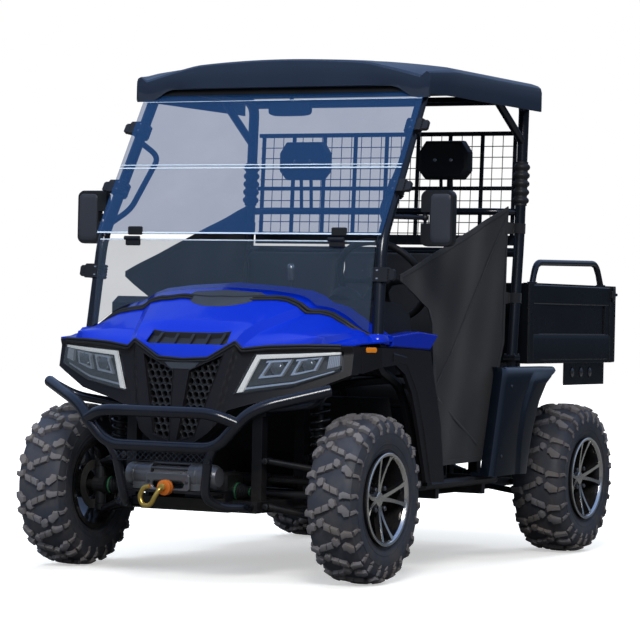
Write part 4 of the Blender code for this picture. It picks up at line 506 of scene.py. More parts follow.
def lug_outlines(half):
    """Blocks of one pitch on the side towards +X, as (outline, height); shares of the pitch run along."""
    wide = half / 0.100
    full = LUG_HEIGHT
    return [
        ([(-0.010, 0.02), (0.011, 0.08), (0.013, 0.24), (-0.012, 0.17)], full),
        ([(0.0150, 0.095), (0.040, 0.16), (0.043, 0.31), (0.0170, 0.255)], full),
        ([(0.012, 0.44), (0.020, 0.40), (0.034, 0.44), (0.038, 0.56), (0.028, 0.63), (0.014, 0.58)], full),
        ([(0.050, 0.27), (0.060, 0.22), (0.084 * wide, 0.27), (0.086 * wide, 0.39), (0.062, 0.38),
          (0.051, 0.42)],
         full),
        ([(0.047, 0.60), (0.058, 0.54), (0.070, 0.60), (0.082 * wide, 0.70), (0.080 * wide, 0.83),
          (0.066, 0.84), (0.058, 0.74), (0.048, 0.72)], full),
        ([(0.089 * wide, 0.27), (0.106 * wide, 0.25), (0.112 * wide, 0.33), (0.091 * wide, 0.39)], 0.0085),
        ([(0.087 * wide, 0.72), (0.104 * wide, 0.70), (0.110 * wide, 0.78), (0.085 * wide, 0.83)], 0.0085),
        ([(0.113 * wide, 0.24), (0.128 * wide, 0.34), (0.122 * wide, 0.40), (0.111 * wide, 0.33)], 0.0048),
        ([(0.112 * wide, 0.69), (0.127 * wide, 0.79), (0.121 * wide, 0.85), (0.110 * wide, 0.78)], 0.0048),
    ]


def tyre(end, side, axle, half_track, width):
    """Carcass with three thin ribs on each sidewall, and the lugs round it."""
    half = width / 2
    centre = Vector((half_track * side, axle, TYRE_RADIUS))
    name = f"{end}_tyre_{'left' if side > 0 else 'right'}"
    body = f"wheel_{end}_{'left' if side > 0 else 'right'}"
    carcass = bmesh.new()
    line = carcass_line(half)
    outer = [(-x, r) for x, r in reversed(line)] + line[1:]
    inner = [(half - 0.045, BEAD_RADIUS + 0.002), (-half + 0.045, BEAD_RADIUS + 0.002)]
    add_turned(carcass, outer + inner, (0, 0, 0), (1, 0, 0), 104, closed=True)
    for ring_radius, reach in ((0.236, 0.0012), (0.200, 0.0012), (0.180, 0.0010)):
        for way in (1, -1):
            x = next(a + (c - a) * (b - ring_radius) / (b - d) for (a, b), (c, d) in zip(line[5:], line[6:])
                     if b >= ring_radius >= d)
            add_turned(carcass, [(way * (x - 0.002), ring_radius + 0.002),
                                 (way * (x + reach), ring_radius + 0.0012),
                                 (way * (x + reach), ring_radius - 0.0012),
                                 (way * (x - 0.002), ring_radius - 0.002)],
                       (0, 0, 0), (1, 0, 0), 104, closed=True)
    bmesh.ops.translate(carcass, vec=centre, verts=carcass.verts)
    piece(f"{name}_carcass", carcass, carcass_finish, body, 30, [name])
    one_pitch = bmesh.new()
    for mirror, shift in ((1, 0.0), (-1, 0.5)):
        for outline, height in lug_outlines(half):
            points = [(a * mirror, (b + shift) * PITCH * side) for a, b in outline]
            add_lug(one_pitch, half, points, height)
    lugs = repeated_round(one_pitch, LUG_PITCHES, tread_finish)
    lugs.transform(Matrix.Translation(centre))
    dress(f"{name}_lugs", lugs, tread_finish, body, 40)


FRONT_AXLE = -0.925
REAR_AXLE = 0.925
WHEELS = [(end, side, axle, half_track, width)
          for end, axle, half_track, width in (("front", FRONT_AXLE, 0.600, 0.200),
                                               ("rear", REAR_AXLE, 0.585, 0.235))
          for side in (1, -1)]
for wheel in WHEELS:
    tyre(*wheel)


# Rims: cast aluminium, gloss black with the faces of the four twin spokes and of the lip machined bright.
# Four dark lug nuts hold each rim to its hub, and the vented brake disc shows through between the spokes.
rim_black = finish("rim_gloss_black", (0.010, 0.011, 0.014), 0.16, 0.2, grain=300.0, bump=0.02, cloud=0.2,
                   coat=0.6, dust=0.25, dust_limit=0.7)
rim_bright = finish("rim_machined", (0.72, 0.69, 0.63), 0.22, 0.95, grain=900.0, bump=0.06, cloud=0.08)
nut_steel = finish("dark_nut_steel", (0.16, 0.16, 0.17), 0.28, 0.9, grain=500.0, bump=0.04)
disc_steel = finish("brake_disc_steel", (0.30, 0.29, 0.28), 0.38, 0.9, grain=700.0, bump=0.10)

SPOKE_PAIRS = 4
SPOKE_FIRST = math.radians(5)
SPOKE_SPREAD = math.radians(15)
RIM_LIP = 0.167


def spoke_face(half, radius):
    """How far out the face of a spoke lies at a radius: deep at the hub, level with the lip at the rim."""
    lip = half - 0.004
    share = max(0.0, min(1.0, (radius - 0.030) / 0.120))
    return lip - 0.034 + 0.030 * share ** 1.4


def arm_outline(way):
    """One arm of a twin spoke, seen square on, as rings of (radius, angle from, angle to)."""
    stations = []
    for step in range(9):
        share = step / 8
        radius = 0.022 + 0.130 * share
        middle = way * (math.radians(7) * (1 - share) + SPOKE_SPREAD * share)
        thick = (0.0085 * (1 - share) + 0.0058 * share + 0.0035 * max(0.0, share - 0.75) * 4) / radius
        stations.append((radius, middle - thick, middle + thick))
    return stations


def rim(end, side, axle, half_track, width):
    """Barrel, hub and spokes of one rim with their bright faces, its nuts and the brake disc behind it."""
    half = width / 2
    centre = Vector((half_track * side, axle, TYRE_RADIUS))
    label = "left" if side > 0 else "right"
    name = f"{end}_rim_{label}"
    body = f"wheel_{end}_{label}"
    place = Matrix.Translation(centre) @ Matrix.Scale(side, 4, (1, 0, 0))
    lip = half - 0.004
    outer = BEAD_RADIUS - 0.0006
    barrel = bmesh.new()
    add_turned(barrel, [(-half + 0.014, outer), (-half + 0.018, RIM_LIP - 0.001),
                        (-half + 0.013, RIM_LIP - 0.002), (-half + 0.012, outer - 0.010),
                        (-half + 0.040, outer - 0.018), (-0.01, outer - 0.026),
                        (half - 0.045, outer - 0.016), (lip - 0.010, outer - 0.009), (lip - 0.008, outer),
                        (half - 0.040, outer), (0.0, outer - 0.018), (-half + 0.045, outer - 0.008)],
               (0, 0, 0), (1, 0, 0), 96, closed=True)
    add_turned(barrel, [(-0.045, 0.052), (-0.030, 0.055), (lip - 0.052, 0.052), (lip - 0.050, 0.046),
                        (lip - 0.042, 0.040), (lip - 0.036, 0.028), (lip - 0.036, 0.001)], (0, 0, 0),
               (1, 0, 0), 48)
    arms = bmesh.new()
    faces = bmesh.new()
    for way in (1, -1):
        stations = arm_outline(way)
        for target, back, front in ((arms, 0.020, 0.0), (faces, 0.0005, -0.0006)):
            rings = []
            for radius, low, high in stations:
                face = spoke_face(half, radius)
                inset = 0.0 if target is arms else 0.0007 / radius
                ring = []
                for depth, turn in ((back, low - 0.002 / radius), (front, low + inset),
                                    (front, high - inset), (back, high + 0.002 / radius)):
                    if target is faces:
                        turn = min(max(turn, low + inset), high - inset)
                    ring.append((face - depth, radius * math.cos(turn), radius * math.sin(turn)))
                rings.append(ring)
            skin_rings(target, rings)
    spin = Matrix.Rotation(SPOKE_FIRST, 4, "X")
    for shape in (arms, faces):
        bmesh.ops.transform(shape, matrix=spin, verts=shape.verts)
    arm_mesh = repeated_round(arms, SPOKE_PAIRS, rim_black)
    face_mesh = repeated_round(faces, SPOKE_PAIRS, rim_bright)
    barrel.from_mesh(arm_mesh)
    bmesh.ops.transform(barrel, matrix=place, verts=barrel.verts)
    piece(name + "_dark", barrel, rim_black, body, 35, [name])
    bright = bmesh.new()
    bright.from_mesh(face_mesh)
    add_turned(bright, [(lip - 0.0095, outer - 0.0085), (lip - 0.004, outer - 0.0060),
                        (lip + 0.0005, outer - 0.003), (lip + 0.002, RIM_LIP - 0.003),
                        (lip, RIM_LIP - 0.0006), (lip - 0.006, RIM_LIP - 0.002),
                        (lip - 0.0075, outer + 0.0006)], (0, 0, 0), (1, 0, 0), 96, closed=True)
    add_turned(bright, [(lip - 0.036, 0.026), (lip - 0.0335, 0.026), (lip - 0.0320, 0.0235),
                        (lip - 0.0316, 0.001)],
               (0, 0, 0), (1, 0, 0), 40)
    bmesh.ops.transform(bright, matrix=place, verts=bright.verts)
    piece(name + "_bright", bright, rim_bright, body, 30)
    nut = bmesh.new()
    nut_place = (0.0, 0.050 * math.cos(math.radians(47)), 0.050 * math.sin(math.radians(47)))
    add_turned(nut, [(lip - 0.052, 0.0125), (lip - 0.047, 0.0125), (lip - 0.046, 0.0095),
                     (lip - 0.030, 0.0092), (lip - 0.027, 0.0065),
                     (lip - 0.026, 0.001)], nut_place, (1, 0, 0), 6)
    nuts = repeated_round(nut, 4, nut_steel)
    nuts.transform(place)
    dress(name + "_nuts", nuts, nut_steel, body, 30)
    disc = bmesh.new()
    add_turned(disc, [(-0.070, 0.058), (-0.070, 0.090), (-0.066, 0.090), (-0.066, 0.058)], (0, 0, 0),
               (1, 0, 0), 64, closed=True)
    bmesh.ops.transform(disc, matrix=place, verts=disc.verts)
    piece(name + "_disc", disc, disc_steel, body, 30)


for wheel in WHEELS:
    rim(*wheel)


# Nose panel: charcoal moulded plastic with fine grain, in one piece from lamp to lamp.
# A smooth centre column runs between two windows; the flanks lie back behind a crease on each side.
FASCIA_TOP = ((0.0, 0.786), (0.103, 0.792), (0.207, 0.853), (0.234, 0.827), (0.330, 0.839), (0.450, 0.845),
              (0.608, 0.847))
FASCIA_BOTTOM = ((0.0, 0.485), (0.085, 0.492), (0.140, 0.530), (0.200, 0.610), (0.300, 0.640),
                 (0.450, 0.672), (0.608, 0.745))
FASCIA_DEPTH = 0.075
FLANK_RECESS = 0.013
FENDER_X = 0.608

fascia_grain = finish("fascia_charcoal", (0.0085, 0.0082, 0.0105), 0.42, grain=520.0, bump=0.30, cloud=0.14,
                      wear_and_highlight=0.25, wear_and_highlight_colour=(0.06, 0.06, 0.07), dust=0.06, dust_limit=0.8, specular=0.25)
# Near-black matte finish of the sheet behind the grille: painted shade.
grille_shade_black = finish("grille_shade_black", (0.006, 0.006, 0.007), 0.75, grain=300.0, bump=0.1, specular=0.2)


def front_face(x, z):
    """Y of the nose at a place across and up the front of the vehicle."""
    return -1.195 - 0.20 * (0.80 - z) + 0.51 * max(0.0, abs(x) - 0.20) ** 1.5


def interpolate(stations, value):
    """Value on a line of (place, value) stations."""
    for (low, low_height), (high, high_height) in zip(stations, stations[1:]):
        if value <= high:
            share = (value - low) / (high - low)
            return low_height + (high_height - low_height) * max(0.0, share)
    return stations[-1][1]


def smooth_step(share):
    """Share eased in and out between 0 and 1."""
    share = max(0.0, min(1.0, share))
    return share * share * (3 - 2 * share)


def flank_depth(x, z):
    """How far the nose panel lies back outside the crease that runs down from the hood's ridge."""
    crease = 0.138 + 0.069 * (z - 0.50) / 0.353
    top = interpolate(FASCIA_TOP, abs(x))
    return FLANK_RECESS * smooth_step((abs(x) - crease) / 0.016) * smooth_step((top - z) / 0.030)


def add_walls(shape, face_grid, back_grid):
    """Closed skin between two grids of points, joined along their borders."""
    face = [[shape.verts.new(point) for point in row] for row in face_grid]
    back = [[shape.verts.new(point) for point in row] for row in back_grid]
    rows = len(face)
    columns = len(face[0])
    for row in range(rows - 1):
        for column in range(columns - 1):
            corners = ((row, column), (row, column + 1), (row + 1, column + 1), (row + 1, column))
            shape.faces.new([face[a][b] for a, b in corners])
            shape.faces.new([back[a][b] for a, b in reversed(corners)])
    edge = [(0, column) for column in range(columns)]
    edge += [(row, columns - 1) for row in range(1, rows)]
    edge += [(rows - 1, column) for column in range(columns - 2, -1, -1)]
    edge += [(row, 0) for row in range(rows - 2, 0, -1)]
    for (a, b), (c, d) in zip(edge, edge[1:] + edge[:1]):
        shape.faces.new((face[a][b], face[c][d], back[c][d], back[a][b]))


def add_shell(shape, grid, offset):
    """Closed skin from a grid of points and the vector from its face to its back."""
    add_walls(shape, grid, [[Vector(point) + Vector(offset) for point in row] for row in grid])


def add_prism(shape, outline, axis, low, high):
    """Solid with an outline of two coordinates, drawn out along the named axis."""
    place = {
        "X": lambda a, b, along: (along, a, b),
        "Y": lambda a, b, along: (a, along, b),
        "Z": lambda a, b, along: (a, b, along),
    }[axis]
    skin_rings(shape, [[place(a, b, along) for a, b in outline] for along in (low, high)])


def add_block(shape, low, high, edge=0.0):
    """Box with its four upright edges and its ends chamfered by the given amount."""
    if edge <= 0:
        outline = [(low[0], low[1]), (high[0], low[1]), (high[0], high[1]), (low[0], high[1])]
        add_prism(shape, outline, "Z", low[2], high[2])
        return
    rings = []
    for z, inset in ((low[2], edge), (low[2] + edge, 0.0), (high[2] - edge, 0.0), (high[2], edge)):
        x0, y0, x1, y1 = low[0] + inset, low[1] + inset, high[0] - inset, high[1] - inset
        cut = edge * 0.8
        rings.append([(x0 + cut, y0, z), (x1 - cut, y0, z), (x1, y0 + cut, z), (x1, y1 - cut, z),
                      (x1 - cut, y1, z), (x0 + cut, y1, z), (x0, y1 - cut, z), (x0, y0 + cut, z)])
    skin_rings(shape, rings)


def on_face(shape, outline, front, back):
    """Solid with an outline of (x, z) points, between two depths behind the nose."""
    skin_rings(shape, [[(x, front_face(x, z) + depth, z) for x, z in outline] for depth in (front, back)])


def mirror_copy(shape):
    """Adds the mirror image of everything in a bmesh across the centre line."""
    kept = shape.verts[:] + shape.edges[:] + shape.faces[:]
    made = bmesh.ops.duplicate(shape, geom=kept)["geom"]
    copies = [item for item in made if isinstance(item, bmesh.types.BMVert)]
    bmesh.ops.transform(shape, matrix=Matrix.Scale(-1, 4, (1, 0, 0)), verts=copies)


def cut_away(shape, cutter):
    """Mesh of one closed bmesh less another."""
    operands = []
    for part in (shape, cutter):
        bmesh.ops.recalc_face_normals(part, faces=part.faces)
        data = bpy.data.meshes.new("operand")
        part.to_mesh(data)
        part.free()
        item = bpy.data.objects.new("operand", data)
        bpy.context.scene.collection.objects.link(item)
        operands.append(item)
    change = operands[0].modifiers.new("cut", "BOOLEAN")
    change.operation = "DIFFERENCE"
    change.solver = "EXACT"
    change.use_self = True
    change.object = operands[1]
    made = bpy.data.meshes.new_from_object(operands[0].evaluated_get(bpy.context.evaluated_depsgraph_get()))
    for item in operands:
        bpy.data.objects.remove(item)
    return made


LAMP_BOTTOM = ((0.222, 0.668), (0.420, 0.700), (0.575, 0.757))
LAMP_TOP = ((0.285, 0.812), (0.571, 0.826))
WINDOW = ((0.034, 0.7455), (0.163, 0.8035), (0.0835, 0.519), (0.016, 0.498))
columns = [0.0, 0.030, 0.060, 0.085, 0.103, 0.118, 0.128, 0.136, 0.144, 0.152, 0.160, 0.168, 0.176, 0.184,
           0.192, 0.200, 0.207, 0.214, 0.222, 0.234, 0.260, 0.290, 0.330, 0.370, 0.410, 0.450, 0.490, 0.530,
           0.570, FENDER_X]
columns = [-x for x in columns[:0:-1]] + columns
grid = []
for step in range(33):
    row = []
    for x in columns:
        top = interpolate(FASCIA_TOP, abs(x))
        z = top + (interpolate(FASCIA_BOTTOM, abs(x)) - top) * step / 32
        row.append((x, front_face(x, z) + flank_depth(x, z), z))
    grid.append(row)
panel = bmesh.new()
add_shell(panel, grid, (0, FASCIA_DEPTH - 0.02, 0))
end_front = front_face(FENDER_X, 0.80) + FASCIA_DEPTH - 0.030
pockets = bmesh.new()
lamp_outline = [LAMP_BOTTOM[0], LAMP_TOP[0], LAMP_TOP[1], LAMP_BOTTOM[2], LAMP_BOTTOM[1]]
middle = (sum(x for x, z in lamp_outline) / 5, sum(z for x, z in lamp_outline) / 5)
grown = []
for x, z in lamp_outline:
    away = Vector((x - middle[0], z - middle[1]))
    away += away.normalized() * 0.006
    grown.append((middle[0] + away.x, middle[1] + away.y))
on_face(pockets, grown, -0.03, 0.15)
on_face(pockets, WINDOW, -0.03, 0.15)
mirror_copy(pockets)
panel_mesh = cut_away(panel, pockets)
dress("nose_panel", panel_mesh, fascia_grain, "chassis", 24, ["front_fascia"])
ends = bmesh.new()
add_block(ends, (FENDER_X - 0.014, end_front, 0.750), (FENDER_X - 0.001, end_front + 0.040, 0.843))
mirror_copy(ends)
piece("nose_panel_ends", ends, fascia_grain, "chassis")
rim_band = bmesh.new()
centre = (sum(x for x, z in WINDOW) / 4, sum(z for x, z in WINDOW) / 4)
rings = []
for grow, depth in ((0.0055, 0.0), (0.0040, -0.0035), (0.0005, -0.0035), (-0.0005, 0.012)):
    ring = []
    for x, z in WINDOW:
        away = Vector((x - centre[0], z - centre[1]))
        away += away.normalized() * grow
        ring.append((centre[0] + away.x, front_face(centre[0] + away.x, centre[1] + away.y) + depth,
                     centre[1] + away.y))
    rings.append(ring)
skin_rings(rim_band, rings, closed=True)
mirror_copy(rim_band)
piece("grille_window_rims", rim_band, fascia_grain, "chassis", 40)


# Honeycomb grille: black plastic cells, taller than wide, standing behind the two windows of the nose panel.
# Every cell is one hollow six-sided ring with rolled front edges, set out in rows half a pitch apart.
CELL_PITCH = 0.0255
CELL_HOLE = 0.0175
CELL_STRETCH = 1.08
GRILLE_DEPTH = 0.0148

honeycomb_black = finish("honeycomb_black", (0.014, 0.015, 0.017), 0.34, grain=500.0, bump=0.12, cloud=0.2,
                         specular=0.55)


def points_tree(name):
    """Geometry tree that sets a copy of one object on every point of its input and realizes them all."""
    tree = bpy.data.node_groups.new(name, "GeometryNodeTree")
    tree.interface.new_socket("Geometry", in_out="INPUT", socket_type="NodeSocketGeometry")
    tree.interface.new_socket("Copy", in_out="INPUT", socket_type="NodeSocketObject")
    tree.interface.new_socket("Finish", in_out="INPUT", socket_type="NodeSocketMaterial")
    tree.interface.new_socket("Geometry", in_out="OUTPUT", socket_type="NodeSocketGeometry")
    given = tree.nodes.new("NodeGroupInput")
    result = tree.nodes.new("NodeGroupOutput")
    source = add_node(tree, "GeometryNodeObjectInfo")
    tree.links.new(given.outputs["Copy"], source.inputs["Object"])
    turn = add_node(tree, "GeometryNodeInputNamedAttribute", data_type="FLOAT_VECTOR")
    turn.inputs["Name"].default_value = "turn"
    rotation = add_node(tree, "FunctionNodeEulerToRotation")
    tree.links.new(turn.outputs["Attribute"], rotation.inputs[0])
    copies = add_node(tree, "GeometryNodeInstanceOnPoints")
    tree.links.new(given.outputs["Geometry"], copies.inputs["Points"])
    tree.links.new(source.outputs["Geometry"], copies.inputs["Instance"])
    tree.links.new(rotation.outputs[0], copies.inputs["Rotation"])
    real = add_node(tree, "GeometryNodeRealizeInstances")
    tree.links.new(copies.outputs[0], real.inputs[0])
    painted = add_node(tree, "GeometryNodeSetMaterial")
    tree.links.new(real.outputs[0], painted.inputs["Geometry"])
    tree.links.new(given.outputs["Finish"], painted.inputs["Material"])
    tree.links.new(painted.outputs[0], result.inputs[0])
    return tree


ON_POINTS = points_tree("on_points")


def set_out(name, shape, places, finish_used, body, crease=35, turns=None, replaced=()):
    """One piece made of a bmesh's copies at the given places, each turned by its own Euler angles."""
    bmesh.ops.recalc_face_normals(shape, faces=shape.faces)
    data = bpy.data.meshes.new("one_copy")
    shape.to_mesh(data)
    shape.free()
    source = bpy.data.objects.new("one_copy", data)
    bpy.context.scene.collection.objects.link(source)
    points = bpy.data.meshes.new("places")
    points.from_pydata([tuple(place) for place in places], [], [])
    held = points.attributes.new("turn", "FLOAT_VECTOR", "POINT")
    for index in range(len(places)):
        held.data[index].vector = turns[index] if turns else (0.0, 0.0, 0.0)
    made = worked_out(points, ON_POINTS, {"Copy": source, "Finish": finish_used})
    bpy.data.objects.remove(source)
    return dress(name, made, finish_used, body, crease, replaced)


ring_cell = bmesh.new()
tile = CELL_PITCH / 2 / math.cos(math.radians(30)) + 0.0002
hole = CELL_HOLE / 2 / math.cos(math.radians(30))
rings = []
for reach, depth in ((tile, 0.015), (tile, 0.0015), (hole + 0.0016, 0.0), (hole, 0.0016),
                     (hole - 0.0006, 0.015)):
    rings.append([(reach * math.cos(math.radians(30 + 60 * corner)), depth,
                   reach * CELL_STRETCH * math.sin(math.radians(30 + 60 * corner))) for corner in range(6)])
skin_rings(ring_cell, rings, closed=True)
cells = []
for row in range(15):
    z = 0.494 + row * CELL_PITCH * 0.866 * CELL_STRETCH
    share = (z - 0.519) / (0.8035 - 0.519)
    for column in range(-7, 8):
        x = (column + (row % 2) / 2) * CELL_PITCH
        inner = 0.016 + 0.018 * share - 0.010
        outer = 0.0835 + 0.0795 * share + 0.010
        if inner <= abs(x) <= outer and z <= interpolate(((0.0, 0.730), (0.034, 0.7455), (0.163, 0.8035)),
                                                         abs(x)) + 0.010:
            cells.append((x, front_face(x, z) + GRILLE_DEPTH, z))
set_out("honeycomb", ring_cell, cells, honeycomb_black, "chassis", 50, None, ["grille"])
# A near-black matte sheet behind the cells stands in for the shade inside the nose: painted shade.
backing = bmesh.new()
on_face(backing, [(-0.175, 0.815), (0.175, 0.815), (0.094, 0.505), (0.0, 0.488), (-0.094, 0.505)], 0.046,
        0.052)
piece("grille_backing", backing, grille_shade_black, "chassis")


# Headlights: smoky clear lens over a black housing, with a white light strip along the top and inner edges.
# Two slanted projectors sit in bright frames, over a chrome line; the outer end is ribbed and bright.
lens_clear = bpy.data.materials.new("lamp_lens_smoky")
lens_clear.use_nodes = True
lens_shader = lens_clear.node_tree.nodes["Principled BSDF"]
lens_shader.inputs["Base Color"].default_value = (0.10, 0.12, 0.14, 1.0)
lens_shader.inputs["Roughness"].default_value = 0.03
lens_shader.inputs["Alpha"].default_value = 0.16
lens_edge = add_node(lens_clear.node_tree, "ShaderNodeLayerWeight", Blend=0.35)
lens_alpha = add_node(lens_clear.node_tree, "ShaderNodeMapRange")
lens_alpha.inputs["To Min"].default_value = 0.12
lens_alpha.inputs["To Max"].default_value = 0.55
lens_clear.node_tree.links.new(lens_edge.outputs["Facing"], lens_alpha.inputs["Value"])
lens_clear.node_tree.links.new(lens_alpha.outputs[0], lens_shader.inputs["Alpha"])
chrome = finish("lamp_chrome", (0.82, 0.83, 0.85), 0.10, 1.0, grain=300.0, bump=0.02, cloud=0.05)
strip_white = finish("lamp_strip_white", (0.80, 0.82, 0.84), 0.22, grain=200.0, bump=0.05, cloud=0.06,
                     coat=0.4)
strip_shader = strip_white.node_tree.nodes["Principled BSDF"]
strip_shader.inputs["Emission Color"].default_value = (0.92, 0.96, 1.0, 1.0)
strip_shader.inputs["Emission Strength"].default_value = 0.25
housing_black = finish("lamp_housing", (0.045, 0.050, 0.060), 0.22, grain=300.0, bump=0.06, coat=0.3)
# The chrome, on the lamp trim and on the strut rod, gets a faint pale blue glow: a painted reflection of the
# sky.
chrome_glow_shader = chrome.node_tree.nodes["Principled BSDF"]
chrome_glow_shader.inputs["Emission Color"].default_value = (0.75, 0.82, 0.92, 1.0)
chrome_glow_shader.inputs["Emission Strength"].default_value = 0.10
bulb_glass = finish("projector_glass", (0.10, 0.12, 0.15), 0.05, 0.35, grain=100.0, bump=0.01, coat=1.0)


def lamp_point(u, v, depth):
    """Point in a lamp: u from its inner to its outer end, v from its lower to its upper edge."""
    break_at = 0.56
    if u <= break_at:
        low = Vector(LAMP_BOTTOM[0]).lerp(Vector(LAMP_BOTTOM[1]), u / break_at)
    else:
        low = Vector(LAMP_BOTTOM[1]).lerp(Vector(LAMP_BOTTOM[2]), (u - break_at) / (1 - break_at))
    high = Vector(LAMP_TOP[0]).lerp(Vector(LAMP_TOP[1]), u)
    place = low.lerp(high, v)
    return (place.x, front_face(place.x, place.y) + depth, place.y)


def lamp_patch(shape, u_span, v_span, front, back, across=12, up=4, bulge=0.0, lean=0.0):
    """Skin over part of a lamp, between two depths; lean shifts its upper edge outward."""
    grid = []
    for row in range(up + 1):
        v = v_span[0] + (v_span[1] - v_span[0]) * row / up
        line = []
        for column in range(across + 1):
            share = column / across
            u = u_span[0] + (u_span[1] - u_span[0]) * share + lean * (v - v_span[0])
            swell = bulge * (1 - (2 * share - 1) ** 2) * (1 - (2 * row / up - 1) ** 2)
            line.append(lamp_point(u, v, front - swell))
        grid.append(line)
    add_shell(shape, grid, (0, back - front, 0))


lens = bmesh.new()
lamp_patch(lens, (0.0, 1.0), (0.0, 1.0), 0.001, 0.004, 28, 10, 0.004)
mirror_copy(lens)
headlights = ["headlight_left", "headlight_right"]
piece("lamp_lenses", lens, lens_clear, "chassis", 30, headlights)
tray = bmesh.new()
lamp_patch(tray, (-0.015, 1.015), (-0.03, 1.03), 0.046, 0.052, 20, 6)
lamp_patch(tray, (0.065, 0.975), (0.17, 0.32), 0.020, 0.034, 20, 2)
lamp_patch(tray, (0.085, 0.975), (0.845, 0.885), 0.012, 0.040, 20, 2)
mirror_copy(tray)
piece("lamp_housings", tray, housing_black, "chassis", 30)
strip = bmesh.new()
lamp_patch(strip, (0.020, 0.985), (0.862, 0.975), 0.0065, 0.016, 28, 3, 0.002)
lamp_patch(strip, (0.020, 0.082), (0.030, 0.862), 0.0065, 0.016, 3, 14, 0.002)
mirror_copy(strip)
piece("lamp_strips", strip, strip_white, "chassis", 40)
frames = bmesh.new()
for start in (0.170, 0.505):
    for u_span, v_span in (((start, start + 0.245), (0.345, 0.400)),
                           ((start, start + 0.245), (0.755, 0.810)),
                           ((start, start + 0.026), (0.345, 0.810)),
                           ((start + 0.219, start + 0.245), (0.345, 0.810))):
        lamp_patch(frames, u_span, v_span, 0.013, 0.030, 6, 4, 0.0, 0.09)
lamp_patch(frames, (0.060, 0.930), (0.085, 0.140), 0.016, 0.024, 24, 1)
for step in range(7):
    lamp_patch(frames, (0.862 + 0.018 * step, 0.870 + 0.018 * step), (0.30, 0.82), 0.014, 0.030, 1, 4)
mirror_copy(frames)
piece("lamp_bright_trim", frames, chrome, "chassis", 30)
glasses = bmesh.new()
for start in (0.170, 0.505):
    x, y, z = lamp_point(start + 0.145, 0.575, 0.020)
    add_turned(glasses, [(0.016, 0.027), (0.004, 0.027), (-0.003, 0.022), (-0.007, 0.013), (-0.0085, 0.001)],
               (x, y, z), (0, 1, 0), 28)
mirror_copy(glasses)
piece("lamp_projectors", glasses, bulb_glass, "chassis", 50)


# Hood: gloss blue moulding. Ridges run back and out from its two peaks, each over a side wall and a valley;
# a central flap hangs between the peaks, above a slot with five slanted black fins.
HOOD_WALL = 0.005
HOOD_MIDDLE_Y = -1.095
HOOD_REAR_Y = -0.860
HOOD_END_Y = -0.790
HOOD_HALF_WIDTH = 0.612
PILLAR_FOOT = Vector((0.6045, -0.8525, 0.842))
FENDER_FLARE = 0.036
HOOD_CREASES = ((0.0, (0.0, 0.926), (0.0, 1.035)),
                (0.103, (0.120, 0.924), (0.180, 1.025)),
                (0.160, (0.190, 0.921), (0.280, 1.014)),
                (0.207, (0.233, 0.916), (0.330, 0.999)),
                (0.234, (0.262, 0.889), (0.362, 0.975)),
                (0.330, (0.345, 0.890), (0.405, 0.970)),
                (0.400, (0.410, 0.884), (0.450, 0.960)),
                (0.450, (0.460, 0.880), (0.500, 0.934)),
                (0.520, (0.525, 0.875), (0.560, 0.890)),
                (0.612, (0.612, 0.864), (0.612, 0.866)))
# The hood's edges take a lighter blue through the edge mask: a painted highlight.
blue_paint = finish("hood_blue", (0.0, 0.022, 0.50), 0.24, grain=700.0, bump=0.02, cloud=0.05, coat=0.30,
                    wear_and_highlight=0.10, wear_and_highlight_colour=(0.05, 0.20, 0.85), specular=0.25)
rubber_black = finish("seal_rubber", (0.012, 0.013, 0.015), 0.52, grain=400.0, bump=0.15, cloud=0.2)
slate = finish("slate_pad", (0.030, 0.036, 0.046), 0.42, grain=300.0, bump=0.10)


def hood_point(crease, y):
    """Point on one crease of the hood at a place along the vehicle."""
    nose_x, (middle_x, middle_z), (rear_x, rear_z) = crease
    nose_y = front_face(nose_x, 0.85) + 0.004
    nose_z = interpolate(FASCIA_TOP, nose_x) + HOOD_WALL + 0.0003
    if nose_y < HOOD_MIDDLE_Y:
        share = (y - nose_y) / (HOOD_MIDDLE_Y - nose_y)
        if share < 1.0:
            share = max(0.0, share)
            return nose_x + (middle_x - nose_x) * share, nose_z + (middle_z - nose_z) * share ** 0.75
        share = (y - HOOD_MIDDLE_Y) / (HOOD_REAR_Y - HOOD_MIDDLE_Y)
        return middle_x + (rear_x - middle_x) * share, middle_z + (rear_z - middle_z) * share
    share = (y - nose_y) / (HOOD_REAR_Y - nose_y)
    return nose_x + (rear_x - nose_x) * share, nose_z + (rear_z - nose_z) * share


def hood_height(x, y):
    """Height of the hood's surface at a place across and along the vehicle."""
    return interpolate([hood_point(crease, y) for crease in HOOD_CREASES], abs(x))


def flare(y):
    """How far the hood's outer edge has flared out over the front wheel."""
    share = (y - front_face(FENDER_X, 0.80) - FASCIA_DEPTH - 0.010) / 0.088
    return FENDER_FLARE * min(1.0, max(0.0, share))


dense = []
for (nose, middle_place, rear), (nose_next, middle_next, rear_next) in zip(HOOD_CREASES, HOOD_CREASES[1:]):
    for step in range(4):
        share = step / 4
        dense.append((nose + (nose_next - nose) * share,
                      tuple(Vector(middle_place).lerp(Vector(middle_next), share)),
                      tuple(Vector(rear).lerp(Vector(rear_next), share))))
dense.append(HOOD_CREASES[-1])
grid = []
for step in range(41):
    share = step / 40
    row = []
    for side, creases in ((-1, dense[:0:-1]), (1, dense)):
        for crease in creases:
            nose_y = front_face(crease[0], 0.85) + 0.004
            y = nose_y + (HOOD_END_Y - nose_y) * share
            x, z = hood_point(crease, y)
            outboard = max(0.0, (x - 0.50) / (HOOD_HALF_WIDTH - 0.50))
            row.append((side * (x + flare(y) * outboard), y, z))
    grid.append(row)
skin = bmesh.new()
add_shell(skin, grid, (0, 0, -HOOD_WALL))
slot_cutter = bmesh.new()
add_prism(slot_cutter, [(-0.168, -1.174), (0.168, -1.174), (0.161, -1.131), (-0.161, -1.131)], "Z", 0.84,
          0.95)
